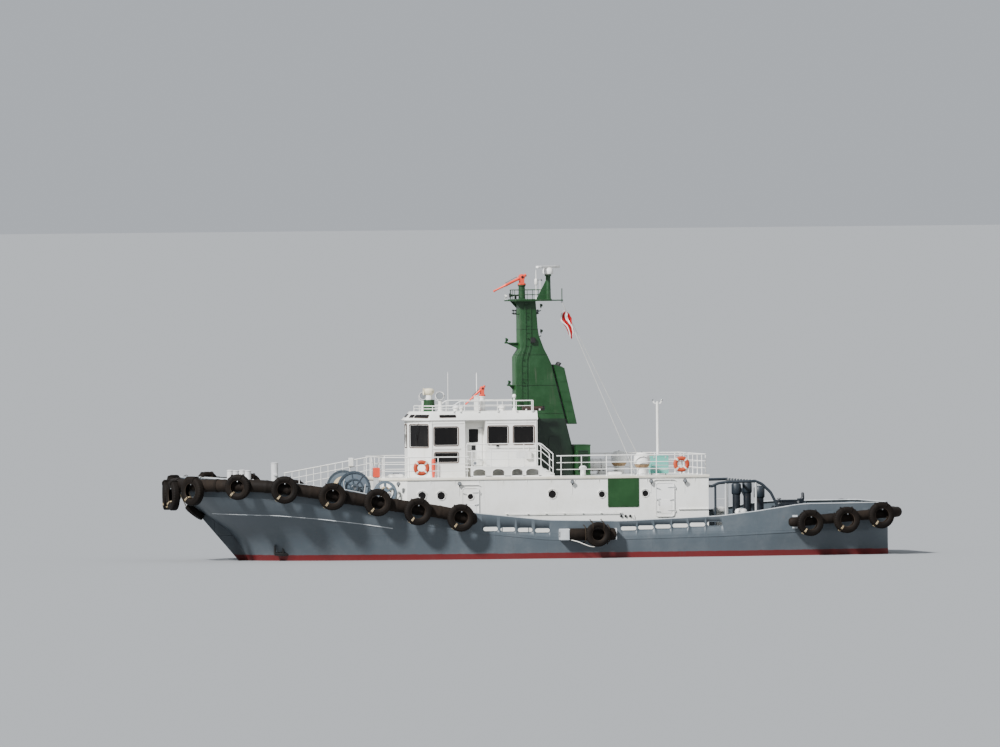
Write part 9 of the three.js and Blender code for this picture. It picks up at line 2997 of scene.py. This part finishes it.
@dataclass(frozen=True)
class TowBase:
    """The towing foundation and the mushroom ventilators beside it: place, radius and top of each."""

    x: float = TOW_PIN_X
    vent_y: float = -0.9
    vents: tuple[tuple[float, float, float], ...] = ((-9.7, 0.22, 3.25), (-10.2, 0.22, 3.3), (-10.76, 0.25, 3.08))

    def build(self) -> None:
        """Makes the foundation's plates and pin, and the ventilators with their handwheels."""
        base = Shell("towing_foundation_plating")
        x_mid, deck = self.x, float(FORM.deck(self.x))
        low = deck - 0.05
        base.add(slab([(x_mid - 0.7 + 0.08, low), (x_mid + 0.7 - 0.08, low), (x_mid + 0.26, 2.18),
                       (x_mid - 0.26, 2.18)], -0.3, 0.3, "y", 0.03))
        for y in (-0.36, 0.36):
            frame = [(x_mid - 0.7, low), (x_mid + 0.7, low), (x_mid + 0.26, 2.18), (x_mid - 0.26, 2.18)]
            base.add(slab(frame, y - 0.02, y + 0.02, "y", 0.008))
        for x in (-0.5, 0.0, 0.5):
            for sign in (-1.0, 1.0):
                top = 2.1 - abs(x) * 1.2
                base.add(block((x_mid + x - 0.012, x_mid + x + 0.012), sorted((sign * 0.29, sign * 0.375)),
                               (low, top), 0.004))
        base.add(lathe([(0.2, 2.17), (0.2, 2.18)], (x_mid, 0.0, 0.0), sides=32))
        base.add(lathe([(0.0596, 2.15), (0.0596, 2.47), (0.1, 2.475), (0.1, 2.51), (0.06, 2.53), (0.004, 2.53)],
                       (x_mid, 0.0, 0.0), sides=28), finish=1)
        plate_x = (self.vents[0][0] + 0.33, x_mid + 0.2)
        base.add(block((plate_x[1], plate_x[0]), (-1.23, -0.4), (deck - 0.06, deck + 0.06), 0.012))
        for x, radius, top in self.vents:
            foot = float(FORM.deck(x))
            neck = radius * 0.8
            base.add(lathe([(radius, foot - 0.02), (radius, foot + 0.12), (neck, foot + 0.14), (neck, top - 0.52)],
                           (x, self.vent_y, 0.0), sides=32))
            base.add(lathe([(neck, top - 0.56), (radius - 0.01, top - 0.52), (radius, top - 0.5),
                            (radius, top - 0.12), (radius * 0.9, top - 0.07), (radius * 0.62, top - 0.045),
                            (radius * 0.6, top - 0.012), (0.004, top - 0.01)], (x, self.vent_y, 0.0), sides=36),
                     finish=2)
            for turn in range(0, 360, 60):
                rib = block((neck - 0.005, radius - 0.004), (-0.008, 0.008), (foot + 0.12, foot + 0.5), 0.003)
                base.add(rib.turned("z", turn).moved(x, self.vent_y, 0.0))
            base.add(torus(0.07, (0.008, 0.008), (x, self.vent_y, top - 0.02), "z", 20, 7), finish=1)
        make(base, (NAVY, STEEL_WIRE, NAVY_TOP), ROOT, ["towing_foundation"])


@dataclass(frozen=True)
class TowHook:
    """The tow hook on the foundation's pin: its length and the radius of its eye."""

    x: float = TOW_PIN_X
    length: float = 1.15
    eye: float = 0.0612

    def build(self) -> None:
        """Makes the two cheeks round the pin, the middle, the claw and its pin."""
        x_mid = self.x
        hook = Shell("tow_hook_claw")
        tail = x_mid - self.length
        body = [(tail + 0.25, -0.1), (tail + 0.25, 0.1), (x_mid - 0.4, 0.128), (x_mid + 0.02, 0.128),
                (x_mid + 0.12, 0.08), (x_mid + 0.156, 0.0), (x_mid + 0.12, -0.08), (x_mid + 0.02, -0.128),
                (x_mid - 0.4, -0.128)]
        for low_z, high_z in ((2.1808, 2.27), (2.36, 2.449)):
            patch = holed(np.array(body), circle(self.eye, 30) + (x_mid, 0.0), low_z, high_z)
            hook.add(Patch(patch.points[:, (0, 2, 1)], patch.faces).outward())
        middle = [(tail + 0.26, -0.09), (tail + 0.26, 0.09), (x_mid - 0.42, 0.11), (x_mid - 0.1, 0.11),
                  (x_mid - 0.1, -0.11), (x_mid - 0.42, -0.11)]
        hook.add(slab(middle, 2.26, 2.37, bevel=0.008))
        claw = [(tail + 0.3, 2.235), (tail + 0.29, 2.5), (tail + 0.16, 2.5), (tail + 0.1, 2.56), (tail + 0.1, 2.74),
                (tail + 0.06, 2.776), (tail + 0.015, 2.74), (tail + 0.004, 2.5), (tail + 0.04, 2.32),
                (tail + 0.12, 2.235)]
        hook.add(slab(claw, -0.16, 0.16, "y", 0.03))
        hook.add(lathe([(0.004, -0.165), (0.05, -0.165), (0.05, 0.165), (0.004, 0.165)], (tail + 0.3, 0.0, 2.34), "y",
                       20), finish=1)
        make(hook, (NAVY, STEEL_WIRE), "tow_hook", ["tow_hook"])


@dataclass(frozen=True)
class SternPosts:
    """The two mushroom posts on the aft deck."""

    x: float = -9.25
    y: float = 2.6

    def build(self) -> None:
        """Makes both posts."""
        extras = Shell("aft_deck_posts")
        for sign in (-1.0, 1.0):
            extras.add(lathe([(0.24, float(FORM.deck(self.x))), (0.24, 1.15), (0.19, 1.2), (0.19, 1.86), (0.28, 1.9),
                              (0.285, 2.0), (0.24, 2.09), (0.1, 2.13), (0.004, 2.135)], (self.x, sign * self.y, 0.0),
                             sides=34))
        make(extras, (WHITE_TRIM,), ROOT)


# CAD solids that stay in view, floor, light and camera

def dress_nodes(frame: dict) -> None:
    """Gives each CAD solid that stays in view its finish."""
    by_node = {"deckhouse": WHITE, "boat_deck": WHITE, "wheelhouse": WHITE, "bridge_floor": FLOOR_GREY,
               "bridge_glass": GLASS, "bridge_roof": WHITE, "mast": MAST_GREEN, "funnel": MAST_GREEN}
    by_slot = {"hull_paint": HULL_GREY, "white_paint": WHITE, "green_paint": MAST_GREEN, "fender_rubber": RUBBER,
               "machinery_paint": WINCH_BLUE, "lifebuoy_foam": ORANGE, "monitor_red": RED, "locker_teal": TEAL,
               "deck_gear_navy": NAVY, "bollard_grey": BOLLARD, "window_glass": GLASS,
               "propeller_bronze": BRONZE, "flag_cloth": FLAG_RED, "floor_covering": FLOOR_GREY}
    slots = {part["node"]: part["material_slot"] for part in frame["record"]["subparts"]}
    for name, node in frame["nodes"].items():
        finish = by_node.get(name) or by_slot.get(slots.get(name, ""), STEEL_WIRE)
        material = finish.material()
        if not node.material_slots:
            node.data.materials.append(material)
        for place in node.material_slots:
            place.material = material


def make_floor() -> None:
    """A pale plain floor at the waterline, for the render only."""
    floor = Shell("floor").add(slab(rounded(9000.0, 9000.0, 400.0, 6), -0.02, 0.0, bevel=0.0))
    mesh = floor.mesh()
    material = bpy.data.materials.new("floor")
    material.use_nodes = True
    shader = material.node_tree.nodes["Principled BSDF"]
    shader.inputs["Base Color"].default_value = (0.27, 0.28, 0.29, 1.0)
    shader.inputs["Roughness"].default_value = 0.9
    mesh.materials.append(material)
    piece = bpy.data.objects.new("floor", mesh)
    bpy.context.scene.collection.objects.link(piece)


def make_light() -> None:
    """A pale sky all round, a sun with a soft edge from the camera's side, and a weak fill from behind."""
    world = bpy.data.worlds.new("sky")
    bpy.context.scene.world = world
    world.use_nodes = True
    back = world.node_tree.nodes["Background"]
    back.inputs["Color"].default_value = (0.83, 0.88, 0.95, 1.0)
    back.inputs["Strength"].default_value = 0.6
    for name, energy, spread, turn in (("sun", 8.2, 6.0, (52.0, 0.0, 131.0)),
                                       ("fill", 0.3, 40.0, (60.0, 0.0, -140.0))):
        data = bpy.data.lights.new(name, "SUN")
        data.energy = energy
        data.angle = math.radians(spread)
        light = bpy.data.objects.new(name, data)
        light.rotation_euler = tuple(math.radians(v) for v in turn)
        bpy.context.scene.collection.objects.link(light)


@dataclass(frozen=True)
class View:
    """The photograph's view: its bearing round the boat and height, and the point that it looks at."""

    azimuth: float = 170.0
    elevation: float = 0.6
    roll: float = -0.52
    distance: float = 900.0
    metres_wide: float = 45.2
    aim: tuple[float, float, float] = (1.245, -0.22, 8.3)

    def camera(self) -> None:
        """The camera at the photograph's viewing angle."""
        turn, rise = math.radians(self.azimuth), math.radians(self.elevation)
        aside = np.array((math.sin(turn), -math.cos(turn), 0.0)) * math.cos(rise)
        place = np.array(self.aim) + (aside + (0.0, 0.0, math.sin(rise))) * self.distance
        data = bpy.data.cameras.new("camera")
        data.lens = data.sensor_width * self.distance / self.metres_wide
        data.clip_end = 9000.0
        camera = bpy.data.objects.new("camera", data)
        camera.location = place
        level = Matrix.Rotation(turn, 3, "Z") @ Matrix.Rotation(math.pi / 2 - rise, 3, "X")
        camera.rotation_euler = (level @ Matrix.Rotation(math.radians(self.roll), 3, "Z")).to_euler()
        bpy.context.scene.collection.objects.link(camera)
        bpy.context.scene.camera = camera


def main() -> None:
    """Builds every piece around the frame."""
    logging.basicConfig(level=logging.INFO, format="%(message)s")
    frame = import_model()
    View().camera()
    make_light()
    make_floor()
    dress_nodes(frame)
    for piece in (Hull(), Skeg(), Bulwark(), BowFender(), SideFender(), SternFender(), DRIVE, HOUSE, RAILS,
                  *LIFEBUOYS, BoatDeckGear(), Locker(), EngineCasing(), BRIDGE, Wings(), MAST, Funnel(),
                  MastPlatform(), Radar(), *MONITORS, *SEARCHLIGHTS, Halyards(), Flag(), WINCH, RopeReel(), *BITTS,
                  TowPost(), Anchors(), TowArch(), TowBase(), TowHook(), SternPosts()):
        piece.build()


if __name__ == "__main__":
    main()
